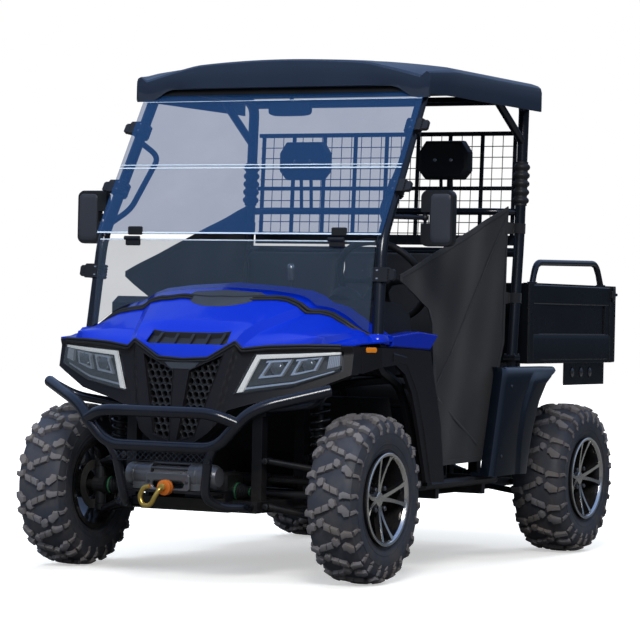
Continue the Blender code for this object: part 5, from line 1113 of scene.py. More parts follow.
for side in (1, -1):
    foot = (PILLAR_FOOT.x * side, PILLAR_FOOT.y, PILLAR_FOOT.z - 0.04)
    add_turned(slot_cutter, [(0.0, 0.025), (0.10, 0.025)], foot, (0, 0.09, 1), 32)
hood_mesh = cut_away(skin, slot_cutter)
dress("hood_skin", hood_mesh, blue_paint, "chassis", 18, ["hood"])
wings = bmesh.new()
outer = HOOD_HALF_WIDTH + FENDER_FLARE
start = HOOD_END_Y - 0.028
wing_outline = [(start, 0.846), (-0.500, 0.833), (-0.440, 0.888), (-0.60, 0.900), (start, 0.882)]
rings = []
for x, inset in ((outer - 0.055, 0.0), (outer - 0.003, 0.0), (outer + 0.002, 0.005)):
    rings.append([(x, y + (-0.655 - y) * inset * 4, z + (0.868 - z) * inset * 30) for y, z in wing_outline])
skin_rings(wings, rings)
mirror_copy(wings)
piece("hood_wings", wings, blue_paint, "chassis", 30)
bosses = bmesh.new()
add_turned(bosses, [(0.0, 0.044), (0.010, 0.043), (0.022, 0.036), (0.026, 0.0225), (-0.010, 0.0225),
                    (-0.010, 0.044)],
           (0.6035, -0.851, 0.862), (-0.04, 0.13, 1), 36, closed=True)
mirror_copy(bosses)
piece("hood_bosses", bosses, blue_paint, "chassis", 40)
fins = bmesh.new()
for index in range(5):
    middle_x = -0.130 + 0.065 * index
    section_front = [(middle_x - 0.014, -1.1735), (middle_x - 0.002, -1.1735)]
    section_back = [(middle_x + 0.002, -1.1315), (middle_x + 0.014, -1.1315)]
    rings = []
    for (x0, y0), (x1, y1) in (section_front, section_back):
        top = hood_height((x0 + x1) / 2, y0) - 0.0015
        rings.append([(x0, y0, top - 0.020), (x0, y0, top - 0.001), (x0 + 0.002, y0, top),
                      (x1 - 0.002, y1, top), (x1, y1, top - 0.001), (x1, y1, top - 0.020)])
    skin_rings(fins, rings)
tray_grid = [[(x, y, hood_height(x, y) - 0.019) for x in (-0.168, -0.09, 0.0, 0.09, 0.168)]
             for y in (-1.1735, -1.160, -1.145, -1.131)]
add_shell(fins, tray_grid, (0, 0, -0.003))
edge_grid = [[(x, y, hood_height(x, y) + 0.0006) for x in [0.162 * (step / 8 - 1) for step in range(17)]]
             for y in (-1.1325, -1.1305)]
add_shell(fins, edge_grid, (0, 0, -0.020))
piece("hood_vent", fins, honeycomb_black, "chassis", 30)


def add_tube(shape, corners, radius, bend=0.06, sides=18, steps=6, caps=True):
    """Round bar along a route with its inner corners rounded."""
    corners = [Vector(corner) for corner in corners]
    route = [corners[0]]
    for before, corner, after in zip(corners, corners[1:], corners[2:]):
        towards = before - corner
        away = after - corner
        reach = min(bend, 0.45 * towards.length, 0.45 * away.length)
        begin = corner + towards.normalized() * reach
        finish_at = corner + away.normalized() * reach
        for step in range(steps + 1):
            share = step / steps
            route.append(begin.lerp(corner, share).lerp(corner.lerp(finish_at, share), share))
    route.append(corners[-1])
    ways = [(after - before).normalized() for before, after in zip(route, route[1:])]
    normal = first_corner(ways[0])
    rings = []
    for index, point in enumerate(route):
        ahead_way = (ways[max(index - 1, 0)] + ways[min(index, len(ways) - 1)]).normalized()
        normal = (normal - ahead_way * normal.dot(ahead_way)).normalized()
        across = ahead_way.cross(normal)
        rings.append([point + radius * (math.cos(turn) * normal + math.sin(turn) * across)
                      for turn in (2 * math.pi * side / sides for side in range(sides))])
    skin_rings(shape, rings, False, caps)
    return route


seal = bmesh.new()
for drop, forward, thick in ((0.0010, 0.0005, 0.0050), (-0.0085, 0.0010, 0.0042)):
    line = []
    for x in [value for value in columns if abs(value) <= 0.600]:
        z = interpolate(FASCIA_TOP, abs(x)) + drop
        wave = 0.0008 * math.sin(abs(x) * 260)
        line.append((x, front_face(x, z) - forward + flank_depth(x, z) + wave, z))
    add_tube(seal, line, thick, 0.004, 10, 1)
piece("hood_seal", seal, rubber_black, "chassis", 50)
pad = bmesh.new()
on_face(pad, [(-0.070, 0.775), (0.070, 0.775), (0.048, 0.752), (-0.048, 0.752)], -0.0022, 0.004)
piece("hood_latch_pad", pad, slate, "chassis", 30)


# Bull bar: bent steel tube, painted gloss black, with a strip of expanded mesh under its lower bar.
# Two legs bolt to the frame's rails and two stays to its front towers, all welded to the bars.
BULL_TUBE = 0.021
HORN_END = Vector((0.579, -1.167, 0.690))
# The tube paint's blue tint is a painted reflection of the sky, and its lighter bluish edges are a painted
# highlight.
tube_gloss = finish("tube_black_sky_tinted", (0.006, 0.008, 0.014), 0.23, 0.15, grain=160.0, bump=0.05,
                    cloud=0.25, coat=0.35, wear_and_highlight=0.18, wear_and_highlight_colour=(0.06, 0.07, 0.10), dust=0.12,
                    dust_limit=0.75)
bars = bmesh.new()
upper = [(0.312, -1.335, 0.566), (0.225, -1.378, 0.603)]
add_tube(bars, upper + [(-x, y, z) for x, y, z in reversed(upper)], BULL_TUBE, 0.05, 24, 8)
lower = [(0.312, -1.338, 0.572), (0.222, -1.335, 0.478)]
add_tube(bars, lower + [(-x, y, z) for x, y, z in reversed(lower)], BULL_TUBE, 0.06, 24, 8)
sides = bmesh.new()
add_tube(sides, [(0.300, -1.340, 0.560), (0.342, -1.322, 0.606), (0.400, -1.292, 0.636), HORN_END],
         BULL_TUBE, 0.06, 24, 8)
add_tube(sides, [(0.210, -1.335, 0.478), (0.188, -1.329, 0.440), (0.165, -1.310, 0.300),
                 (0.200, -1.240, 0.2675), (0.255, -1.190, 0.2675),
                 (0.255, -1.1403, 0.2675)], 0.017, 0.04, 20, 6)
add_tube(sides, [(0.569, -1.170, 0.688), (0.500, -1.110, 0.640), (0.2863, -1.085, 0.610)], 0.016, 0.05, 18,
         6)
add_block(sides, (0.2803, -1.105, 0.585), (0.2923, -1.065, 0.635), 0.002)
mirror_copy(sides)
sides_mesh = bpy.data.meshes.new("sides")
sides.to_mesh(sides_mesh)
sides.free()
bars.from_mesh(sides_mesh)
for side in (1, -1):
    add_turned(bars, [(-0.002, BULL_TUBE - 0.0006), (0.003, BULL_TUBE - 0.0008), (0.006, BULL_TUBE - 0.006),
                      (0.0065, 0.001)], (HORN_END.x * side, HORN_END.y, HORN_END.z),
               (0.82 * side, 0.57, 0.18), 24)
piece("bull_bar_tubes", bars, tube_gloss, "chassis", 40, ["bull_bar"])
mesh_frame = bmesh.new()
for low_z, high_z in ((0.425, 0.4275), (0.4665, 0.470)):
    add_block(mesh_frame, (-0.205, -1.3455, low_z), (0.205, -1.3385, high_z))
for x in (-0.205, 0.2025):
    add_block(mesh_frame, (x, -1.3455, 0.425), (x + 0.0025, -1.3385, 0.470))
piece("bull_bar_mesh_frame", mesh_frame, tube_gloss, "chassis")
strand = bmesh.new()
for way in (1, -1):
    rings = []
    for end in (-1, 1):
        x = 0.0115 * end
        z = 0.0105 * end * way
        rings.append([(x - 0.0013, -0.0010 * end, z), (x, -0.0010 * end - 0.0008, z - 0.0016 * way),
                      (x + 0.0013, -0.0010 * end, z), (x, -0.0010 * end + 0.0008, z + 0.0016 * way)])
    skin_rings(strand, rings)
places = [(-0.1955 + 0.023 * column, -1.342,
           0.4367 + 0.0210 * row) for column in range(18) for row in range(2)]
set_out("bull_bar_expanded_mesh", strand, places, tube_gloss, "chassis", 50)


# Winch: cast housing in silver grey, bolted to the frame's front plate; motor, drum and gearbox in line.
# A rope is wound on the drum between two flanges and leaves through the slotted fairlead in front.
winch_grey = finish("winch_silver_grey", (0.130, 0.138, 0.155), 0.34, 0.55, grain=380.0, bump=0.20,
                    cloud=0.15, wear_and_highlight=0.25, wear_and_highlight_colour=(0.45, 0.46, 0.48), dust=0.15, dust_limit=0.8)
dark_steel = finish("dark_bolt_steel", (0.10, 0.10, 0.11), 0.35, 0.85, grain=500.0, bump=0.05)
rope_grey = finish("rope_steel", (0.24, 0.24, 0.25), 0.55, 0.6, grain=700.0, bump=0.4)
WINCH = Vector((0.0, -1.235, 0.372))
FAIRLEAD_Z = 0.3514
SLOT_Z = 0.3415
body_shape = bmesh.new()
add_turned(body_shape, [(-0.185, 0.030), (-0.183, 0.038), (-0.176, 0.042), (-0.150, 0.042), (-0.148, 0.0405),
                        (-0.145, 0.0405), (-0.143, 0.042), (-0.086, 0.042), (-0.084, 0.046), (-0.076, 0.046),
                        (-0.075, 0.020)], WINCH, (1, 0, 0), 48)
add_turned(body_shape, [(0.075, 0.020), (0.076, 0.046), (0.104, 0.046), (0.106, 0.0445), (0.112, 0.0445),
                        (0.114, 0.046), (0.152, 0.046), (0.170, 0.043), (0.183, 0.034), (0.185, 0.020)],
           WINCH, (1, 0, 0), 48)
add_block(body_shape, (-0.150, -1.275, 0.3203), (-0.078, -1.190, 0.347), 0.003)
add_block(body_shape, (0.078, -1.275, 0.3203), (0.150, -1.190, 0.347), 0.003)
add_block(body_shape, (-0.090, -1.200, 0.3203), (0.090, -1.190, 0.332), 0.002)
for y, z in ((-1.266, 0.398), (-1.204, 0.398), (-1.235, 0.4145)):
    add_turned(body_shape, [(-0.080, 0.0042), (0.080, 0.0042)], (0, y, z), (1, 0, 0), 14)
piece("winch_housing", body_shape, winch_grey, "chassis", 35, ["winch"])
coil = bmesh.new()
profile = [(-0.074, 0.018)]
for turn_index in range(19):
    start_x = -0.072 + turn_index * 0.0076
    profile += [(start_x, 0.0302), (start_x + 0.0019, 0.0333), (start_x + 0.0038, 0.0340),
                (start_x + 0.0057, 0.0333)]
profile += [(0.0735, 0.0302), (0.074, 0.018)]
add_turned(coil, profile, WINCH, (1, 0, 0), 40)
add_tube(coil, [(0.004, -1.262, 0.350), (0.008, -1.285, 0.336), (0.010, -1.310, 0.336)], 0.0042, 0.02, 10, 3)
piece("winch_rope", coil, rope_grey, "chassis", 60)
fairlead = bmesh.new()
slot_ring = []
plate_ring = []
for step in range(40):
    turn = 2 * math.pi * step / 40
    slot_ring.append((math.copysign(0.052, math.cos(turn)) + 0.013 * math.cos(turn),
                      SLOT_Z + 0.013 * math.sin(turn)))
    plate_ring.append((math.copysign(0.076, math.cos(turn)) + 0.014 * math.cos(turn),
                       FAIRLEAD_Z + math.copysign(0.0167, math.sin(turn)) + 0.014 * math.sin(turn)))
skin_rings(fairlead, [[(x, -1.274, z) for x, z in plate_ring], [(x, -1.285, z) for x, z in plate_ring],
                      [(x * 0.98, -1.287, FAIRLEAD_Z + (z - FAIRLEAD_Z) * 0.94) for x, z in plate_ring],
                      [(x * 1.08, -1.287, SLOT_Z + (z - SLOT_Z) * 1.35) for x, z in slot_ring],
                      [(x, -1.283, z) for x, z in slot_ring], [(x, -1.274, z) for x, z in slot_ring]],
           closed=True)
piece("winch_fairlead", fairlead, winch_grey, "chassis", 35)
bolt = bmesh.new()
add_turned(bolt, [(-0.002, 0.0062), (0.0042, 0.0062), (0.0052, 0.0050), (0.0054, 0.001)], (0, 0, 0),
           (1, 0, 0), 6)
places = []
turns = []
for turn_index in range(6):
    turn = math.radians(30 + 60 * turn_index)
    places.append((0.1535, WINCH.y + 0.036 * math.cos(turn), WINCH.z + 0.036 * math.sin(turn)))
    places.append((-0.176, WINCH.y + 0.031 * math.cos(turn), WINCH.z + 0.031 * math.sin(turn)))
    turns += [(0, 0, 0), (0, 0, math.pi)]
for x in (-0.078, 0.078):
    places.append((x, -1.2862, FAIRLEAD_Z))
    turns.append((0, 0, -math.pi / 2))
set_out("winch_bolts", bolt, places, dark_steel, "chassis", 35, turns)


# Winch hook: a bent hook of yellow zinc-plated steel, with a round orange rubber stopper behind it.
zinc = finish("yellow_zinc", (0.62, 0.42, 0.10), 0.30, 0.85, grain=240.0, bump=0.08, cloud=0.3)
orange_rubber = finish("orange_rubber", (0.52, 0.13, 0.012), 0.48, grain=300.0, bump=0.10, cloud=0.15)
stopper = bmesh.new()
add_turned(stopper, [(-0.0270, 0.010), (-0.0270, 0.0225), (-0.0245, 0.0270), (-0.0150, 0.0280),
                     (-0.0120, 0.0262), (-0.0090, 0.0280), (-0.0020, 0.0270), (0.0, 0.0225), (0.0, 0.010)],
           (0.010, -1.3053, 0.333), (0, 1, 0), 40)
piece("hook_stopper", stopper, orange_rubber, "chassis", 35, ["winch_hook"])
hook = bmesh.new()
add_tube(hook, [(0.010, -1.2873, 0.336), (0.010, -1.3060, 0.336)], 0.010, 0.01, 20, 2)
add_tube(hook, [(0.010, -1.3320, 0.334), (0.008, -1.3520, 0.330), (-0.006, -1.3640, 0.300),
                (-0.018, -1.3680, 0.272), (-0.050, -1.3680, 0.268), (-0.067, -1.3660, 0.300),
                (-0.050, -1.3640, 0.334), (-0.026, -1.3630, 0.338)], 0.0085, 0.016, 18, 8)
add_turned(hook, [(-0.004, 0.013), (-0.016, 0.013), (-0.018, 0.009)], (0.010, -1.3285, 0.336), (0, 1, 0), 20)
piece("hook_body", hook, zinc, "chassis", 45)


# Roll cage: bent steel tube in the same gloss black with a painted sky reflection, one hoop a side joined by
# three cross tubes.
# Each hoop stands on two bolted foot plates, and carries a grab handle, a mirror arm and a corner brace.
CAGE_TUBE = 0.021
PILLAR_BEND = Vector((0.589, -0.803, 1.225))
PILLAR_TOP = Vector((0.578, -0.447, 1.800))
REAR_TOP = Vector((0.610, 0.400, 1.800))
REAR_KNEE = Vector((0.610, 0.377, 1.265))
REAR_FOOT = Vector((0.610, 0.328, 0.800))
MIRROR_HINGE = Vector((0.682, -0.640, 1.315))


def pillar_point(height):
    """Point on the left front pillar's centre line."""
    if height < PILLAR_BEND.z:
        return PILLAR_FOOT.lerp(PILLAR_BEND, (height - PILLAR_FOOT.z) / (PILLAR_BEND.z - PILLAR_FOOT.z))
    return PILLAR_BEND.lerp(PILLAR_TOP, (height - PILLAR_BEND.z) / (PILLAR_TOP.z - PILLAR_BEND.z))


def rear_pillar_point(height):
    """Point on the left rear pillar's centre line."""
    if height < REAR_KNEE.z:
        return REAR_FOOT.lerp(REAR_KNEE, (height - REAR_FOOT.z) / (REAR_KNEE.z - REAR_FOOT.z))
    return REAR_KNEE.lerp(REAR_TOP, (height - REAR_KNEE.z) / (REAR_TOP.z - REAR_KNEE.z))


cage = bmesh.new()
lift = Vector((0, 0, 0.005))
add_tube(cage, [PILLAR_FOOT + lift, PILLAR_BEND, PILLAR_TOP, (0.582, -0.332, 1.834), (0.606, 0.340, 1.834),
                REAR_TOP, REAR_KNEE, REAR_FOOT + lift], CAGE_TUBE, 0.06, 24, 8)
add_tube(cage, [rear_pillar_point(1.650), (0.602, 0.100, 1.832)], 0.016, 0.05, 18)
grip_low = pillar_point(1.290) + Vector((-0.010, 0.010, 0))
grip_high = pillar_point(1.600) + Vector((-0.010, 0.010, 0))
add_tube(cage, [grip_low, grip_low + Vector((-0.045, 0.055, 0.05)),
                grip_high + Vector((-0.045, 0.055, -0.05)), grip_high], 0.011, 0.04, 16, 8)
arm_root = pillar_point(1.315)
add_tube(cage, [arm_root, arm_root + Vector((0.03, 0.03, 0.0)), MIRROR_HINGE], 0.009, 0.03, 14, 6)
add_turned(cage, [(-0.034, 0.006), (0.034, 0.006)], MIRROR_HINGE, (0, 0, 1), 16)
for foot in (PILLAR_FOOT, REAR_FOOT):
    add_block(cage, (foot.x - 0.025, foot.y - 0.025, foot.z),
              (foot.x + 0.025, foot.y + 0.025, foot.z + 0.010), 0.0015)
mirror_copy(cage)
for reach, y, z in ((0.578, -0.397, 1.818), (0.610, 0.390, 1.818), (0.610, 0.3745, 1.215)):
    add_tube(cage, [(-reach, y, z), (reach, y, z)], 0.018, 0.01, 20)
piece("cage_tubes", cage, tube_gloss, "chassis", 40, ["roll_cage"])
foot_bolt = bmesh.new()
add_turned(foot_bolt, [(-0.001, 0.0052), (0.0050, 0.0052), (0.0060, 0.0040), (0.0062, 0.001)], (0, 0, 0),
           (0, 0, 1), 6)
places = [(side * (foot.x + x), foot.y + y, foot.z + 0.010)
          for side in (1, -1) for foot in (PILLAR_FOOT, REAR_FOOT)
          for x in (-0.019, 0.019) for y in (-0.019, 0.019)]
set_out("cage_foot_bolts", foot_bolt, places, dark_steel, "chassis", 35)


# Screen clamps: six ribbed black rubber blocks round the front pillars, each under a thin bright band.
# A square wing stands out on each, and a bolt draws its flat front face onto the screen's edge.
band_bright = finish("band_bright", (0.50, 0.52, 0.55), 0.25, 0.9, grain=300.0, bump=0.03)
clamp_rubber = finish("clamp_rubber", (0.010, 0.011, 0.013), 0.45, grain=350.0, bump=0.15, cloud=0.2)
CLAMP_HEIGHTS = (1.100, 1.4159, 1.6471)
CLAMP_LINE = ((-0.018, 0.030), (0.040, 0.030), (0.048, 0.018), (0.027, 0.008), (0.027, -0.014),
              (0.014, -0.027), (-0.014, -0.027), (-0.027, -0.014), (-0.027, 0.016))
CLAMP_WING = ((-1, -0.7), (-0.7, -1), (0.7, -1), (1, -0.7), (1, 0.7), (0.7, 1), (-0.7, 1), (-1, 0.7))
clamps = bmesh.new()
bands = bmesh.new()
for height in CLAMP_HEIGHTS:
    foot = pillar_point(height)
    along = (pillar_point(height + 0.02) - pillar_point(height - 0.02)).normalized()
    forward = Vector((0, -along.z, along.y)).normalized()
    rings = []
    for step in range(11):
        offset = -0.026 + 0.0052 * step
        grow = 1.0 if step % 2 == 0 else 1.10
        ring = []
        for x, ahead_by in CLAMP_LINE:
            ahead_here = ahead_by if ahead_by > 0.02 else ahead_by * grow
            ring.append(foot + along * offset + Vector((x * grow, 0, 0)) + forward * ahead_here)
        rings.append(ring)
    skin_rings(clamps, rings)
    wing = foot + Vector((0.045, 0, 0)) + forward * 0.018
    rings = []
    for depth, inset in ((-0.008, 0.002), (-0.005, 0.0), (0.005, 0.0), (0.008, 0.002)):
        middle = wing + forward * depth
        rings.append([middle + along * (a * (0.021 - inset)) + Vector((b * (0.024 - inset), 0, 0))
                      for a, b in CLAMP_WING])
    skin_rings(clamps, rings)
    for shift in (-0.0150, 0.0150):
        add_turned(bands, [(shift - 0.0028, 0.0285), (shift + 0.0028, 0.0285), (shift + 0.0028, 0.0305),
                           (shift - 0.0028, 0.0305)], foot, along, 28, closed=True)
mirror_copy(clamps)
mirror_copy(bands)
piece("screen_clamps", clamps, clamp_rubber, "chassis", 30)
piece("screen_clamp_bands", bands, band_bright, "chassis", 30)


# Bellows: black ribbed rubber sleeves round the rear pillars, over the joint of each hoop.
# Five ribs a side are moulded on the sleeve, which is pushed over the tube and held by its own grip.
bellows = bmesh.new()
foot = rear_pillar_point(1.405)
profile = [(-0.004, 0.0215), (-0.004, 0.0250)]
for rib in range(5):
    base = 0.033 * rib
    profile += [(base + 0.003, 0.0245), (base + 0.010, 0.0315), (base + 0.0165, 0.0330),
                (base + 0.023, 0.0315), (base + 0.030, 0.0245)]
profile += [(0.169, 0.0250), (0.169, 0.0215)]
add_turned(bellows, profile, foot, rear_pillar_point(1.600) - foot, 32)
mirror_copy(bellows)
piece("pillar_bellows", bellows, rubber_black, "chassis", 45)


# Roof: one moulded sheet of satin dark navy plastic with fine grain, cambered across, with a skirt round it;
# its navy is partly its own colour and partly a painted reflection of the blue sky.
# Its front corners fold down in flat facets, and droop lower than the front edge between them.
roof_navy_sky_tinted = finish("roof_navy_sky_tinted", (0.011, 0.021, 0.044), 0.34, grain=600.0, bump=0.22, cloud=0.14, wear_and_highlight=0.20,
                   wear_and_highlight_colour=(0.07, 0.08, 0.10), specular=0.5)
ROOF_HALF = 0.672
ROOF_FRONT = -0.515
ROOF_REAR = 0.430
ROOF_WALL = 0.006


def roof_row(y, drop):
    """Outer line of the roof across one station, from skirt to skirt."""
    ahead_share = max(0.0, (-0.36 - y) / 0.155)
    half = ROOF_HALF - 0.045 * ahead_share ** 2
    row = []
    for step in range(-20, 21):
        share = step / 20
        x = share * 0.93 * half
        fold = max(0.0, (abs(share) - 0.62) / 0.38) * ahead_share
        near_groove = smooth_step((0.03 - abs(abs(share) - 0.55)) / 0.02)
        groove = 0.004 * near_groove * smooth_step((0.40 - abs(y)) / 0.1)
        z = 1.928 - 0.042 * share ** 2 - 0.012 * ahead_share - 0.030 * fold - groove
        row.append((x, z - drop * 0.2))
    edge = [(0.975 * half, 1.8760 - 0.016 * ahead_share), (0.993 * half, 1.866 - 0.012 * ahead_share),
            (half, 1.850 - 0.008 * ahead_share), (half, 1.812), (half, 1.786), (half - 0.0005, 1.774)]
    row = [(-x, z) for x, z in edge[::-1]] + row + edge
    return [(x, y, z) for x, z in row]


def roof_grid(inset):
    """Roof's surface; inset moves it inward for the inner face."""
    grid = []
    stations = [ROOF_FRONT + 0.004, ROOF_FRONT + 0.014, -0.485, -0.46, -0.43, -0.40, -0.36, -0.30, -0.2,
                -0.1, 0.0, 0.1, 0.2, 0.3, 0.36, 0.40, 0.42, ROOF_REAR]
    for index, y in enumerate(stations):
        row = roof_row(y, 0.012 if index == 0 else 0.0)
        if index == 0:
            row = [(x, place, z - (0.004 if abs(x) < 0.6 else 0.0)) for x, place, z in row]
        grid.append(row)
    first = grid[0]
    front_wall = []
    for share in (1.0, 0.66, 0.33):
        line = []
        for x, y, z in first:
            droop = 0.048 * smooth_step((abs(x) - 0.47) / 0.10)
            low = min(z, 1.812 - droop)
            line.append((x, ROOF_FRONT - 0.0005 + 0.010 * share * smooth_step((abs(x) - 0.3) / 0.3),
                         z + (low - z) * share))
        front_wall.append(line)
    last = grid[-1]
    rear_wall = [[(x, y, min(z, z + (1.850 - z) * share)) for x, y, z in last] for share in (0.5, 1.0)]
    grid = front_wall + grid + rear_wall
    moved = []
    for row in grid:
        line = []
        for x, y, z in row:
            line.append((x - math.copysign(min(inset, abs(x)), x) if abs(x) > 0.60 else x,
                         min(max(y, ROOF_FRONT + inset), ROOF_REAR - inset),
                         z - inset * smooth_step((z - 1.78) / 0.06)))
        moved.append(line)
    return moved


roof_shape = bmesh.new()
add_walls(roof_shape, roof_grid(0.0), roof_grid(ROOF_WALL))
piece("roof_sheet", roof_shape, roof_navy_sky_tinted, "chassis", 24, ["roof"])
rails = bmesh.new()
add_block(rails, (0.580, -0.280, 1.8555), (0.620, 0.300, 1.884), 0.002)
mirror_copy(rails)
piece("roof_rails", rails, roof_navy_sky_tinted, "chassis", 30)


# Windscreen: two sheets of clear plastic, the upper one tinted blue, held to the front pillars by clamps.
# A double bright seam crosses the upper sheet, both sheets have a polished edge, and two latches join them.
def sheet_finish(name, colour, low_alpha, high_alpha):
    """Clear plastic, denser where it is seen edge on, with a faint cloud of smears."""
    made = bpy.data.materials.new(name)
    made.use_nodes = True
    tree = made.node_tree
    shader = tree.nodes["Principled BSDF"]
    shader.inputs["Base Color"].default_value = (*colour, 1.0)
    shader.inputs["Roughness"].default_value = 0.04
    shader.inputs["Coat Weight"].default_value = 0.3
    place = add_node(tree, "ShaderNodeTexCoord")
    smear = add_node(tree, "ShaderNodeTexNoise", Scale=3.0, Detail=5.0, Roughness=0.6)
    tree.links.new(place.outputs["Object"], smear.inputs["Vector"])
    facing = add_node(tree, "ShaderNodeLayerWeight", Blend=0.30)
    alpha = add_node(tree, "ShaderNodeMapRange")
    alpha.inputs["To Min"].default_value = low_alpha
    alpha.inputs["To Max"].default_value = high_alpha
    tree.links.new(facing.outputs["Facing"], alpha.inputs["Value"])
    cloudy = add_node(tree, "ShaderNodeMath", operation="MULTIPLY_ADD")
    cloudy.inputs[1].default_value = 0.10
    cloudy.inputs[2].default_value = -0.05
    tree.links.new(smear.outputs["Fac"], cloudy.inputs[0])
    total = add_node(tree, "ShaderNodeMath", operation="ADD")
    total.use_clamp = True
    tree.links.new(alpha.outputs[0], total.inputs[0])
    tree.links.new(cloudy.outputs[0], total.inputs[1])
    tree.links.new(total.outputs[0], shader.inputs["Alpha"])
    return made


tinted = sheet_finish("screen_blue_tint", (0.010, 0.052, 0.165), 0.32, 0.80)
clear = sheet_finish("screen_clear", (0.055, 0.085, 0.13), 0.20, 0.70)
seam_bright = finish("screen_seam", (0.55, 0.66, 0.80), 0.20, grain=200.0, bump=0.03, coat=0.5)


def screen_point(x, height, lift):
    """Point of the windscreen above the pillar line at a height, raised forward by the given amount."""
    line = pillar_point(height)
    low, high = (PILLAR_FOOT, PILLAR_BEND) if height < PILLAR_BEND.z else (PILLAR_BEND, PILLAR_TOP)
    way = Vector((0, high.y - low.y, high.z - low.z)).normalized()
    return Vector((x, line.y, line.z)) + Vector((0, -way.z, way.y)) * lift


def screen_shell(shape, heights, half, front, back, bottom=None):
    """Sheet over the given heights between two lifts; bottom gives the height of its lowest row across."""
    grids = []
    for lift in (front, back):
        grid = []
        for height in heights:
            row = []
            for step in range(-16, 17):
                x = half * step / 16
                level_here = bottom(x) if bottom and height == heights[0] else height
                row.append(screen_point(x, level_here, lift))
            grid.append(row)
        grids.append(grid)
    add_walls(shape, *grids)


FRONT_LIFT = 0.0343
BACK_LIFT = 0.0303
upper_sheet = bmesh.new()
screen_shell(upper_sheet, (1.2275, 1.40, 1.60, 1.795), 0.600, FRONT_LIFT, BACK_LIFT)
piece("screen_upper", upper_sheet, tinted, "chassis", 30, ["windshield_upper"])
lower_sheet = bmesh.new()
screen_shell(lower_sheet, (1.05, 1.13, 1.2205), 0.580, FRONT_LIFT, BACK_LIFT,
             lambda x: hood_height(x, -0.860) + 0.010)
piece("screen_lower", lower_sheet, clear, "chassis", 30, ["windshield_lower"])
seams = bmesh.new()
for low_edge, high_edge in ((1.4770, 1.4810), (1.4895, 1.4925), (1.2275, 1.2325), (1.742, 1.7435)):
    screen_shell(seams, (low_edge, high_edge), 0.598, FRONT_LIFT + 0.0012, FRONT_LIFT - 0.0005)
screen_shell(seams, (1.2155, 1.2195), 0.578, FRONT_LIFT + 0.0012, FRONT_LIFT - 0.0005)
piece("screen_seams", seams, seam_bright, "chassis", 30)
strips = bmesh.new()
screen_shell(strips, (1.768, 1.795), 0.600, FRONT_LIFT + 0.0015, BACK_LIFT - 0.0012)
piece("screen_top_strip", strips, clamp_rubber, "chassis", 30)
foot_seal = bmesh.new()
line = []
for step in range(-40, 41):
    x = 0.598 * step / 40
    wave = 0.006 * math.sin(x * 34) * smooth_step((abs(x) - 0.12) / 0.1)
    y = -0.888 + wave - 0.035 * smooth_step((0.22 - abs(x)) / 0.2)
    y += 0.02 * smooth_step((abs(x) - 0.45) / 0.15)
    line.append((x, y, hood_height(min(abs(x), 0.6), y) + 0.004))
add_tube(foot_seal, line, 0.0085, 0.004, 10, 1)
line = [(x, y - 0.014, hood_height(min(abs(x), 0.6), y - 0.014) + 0.002) for x, y, z in line]
add_tube(foot_seal, line, 0.0060, 0.004, 10, 1)
piece("screen_foot_seal", foot_seal, rubber_black, "chassis", 50)
cowl = bmesh.new()
cowl_grid = []
for row_step in range(7):
    share = row_step / 6
    row = []
    for step in range(-12, 13):
        x = 0.165 * step / 12
        y = -0.985 + 0.110 * share + 0.045 * (1 - share) * (x / 0.165) ** 2
        x_here = x * (0.72 + 0.28 * share)
        rise = 0.010 * smooth_step(share * 3) * smooth_step((1 - (x / 0.165) ** 2) * 3)
        row.append((x_here, y, hood_height(abs(x_here), y) + 0.0006 + rise))
    cowl_grid.append(row)
add_shell(cowl, cowl_grid, (0, 0, -0.004))
piece("hood_cowl_pad", cowl, slate, "chassis", 30)
latches = bmesh.new()
for x in (-0.43, 0.43):
    for height, size, lift_by in ((1.235, 0.016, 0.010), (1.207, 0.013, 0.012)):
        middle = screen_point(x, height, FRONT_LIFT + lift_by / 2)
        add_block(latches, middle - Vector((0.030, lift_by / 2 + 0.001, size)),
                  middle + Vector((0.030, lift_by / 2 + 0.001, size)), 0.003)
    middle = screen_point(x, 1.221, FRONT_LIFT + 0.016)
    add_turned(latches, [(-0.032, 0.0075), (0.032, 0.0075)], middle, (1, 0, 0), 16)
piece("screen_latches", latches, clamp_rubber, "chassis", 35)


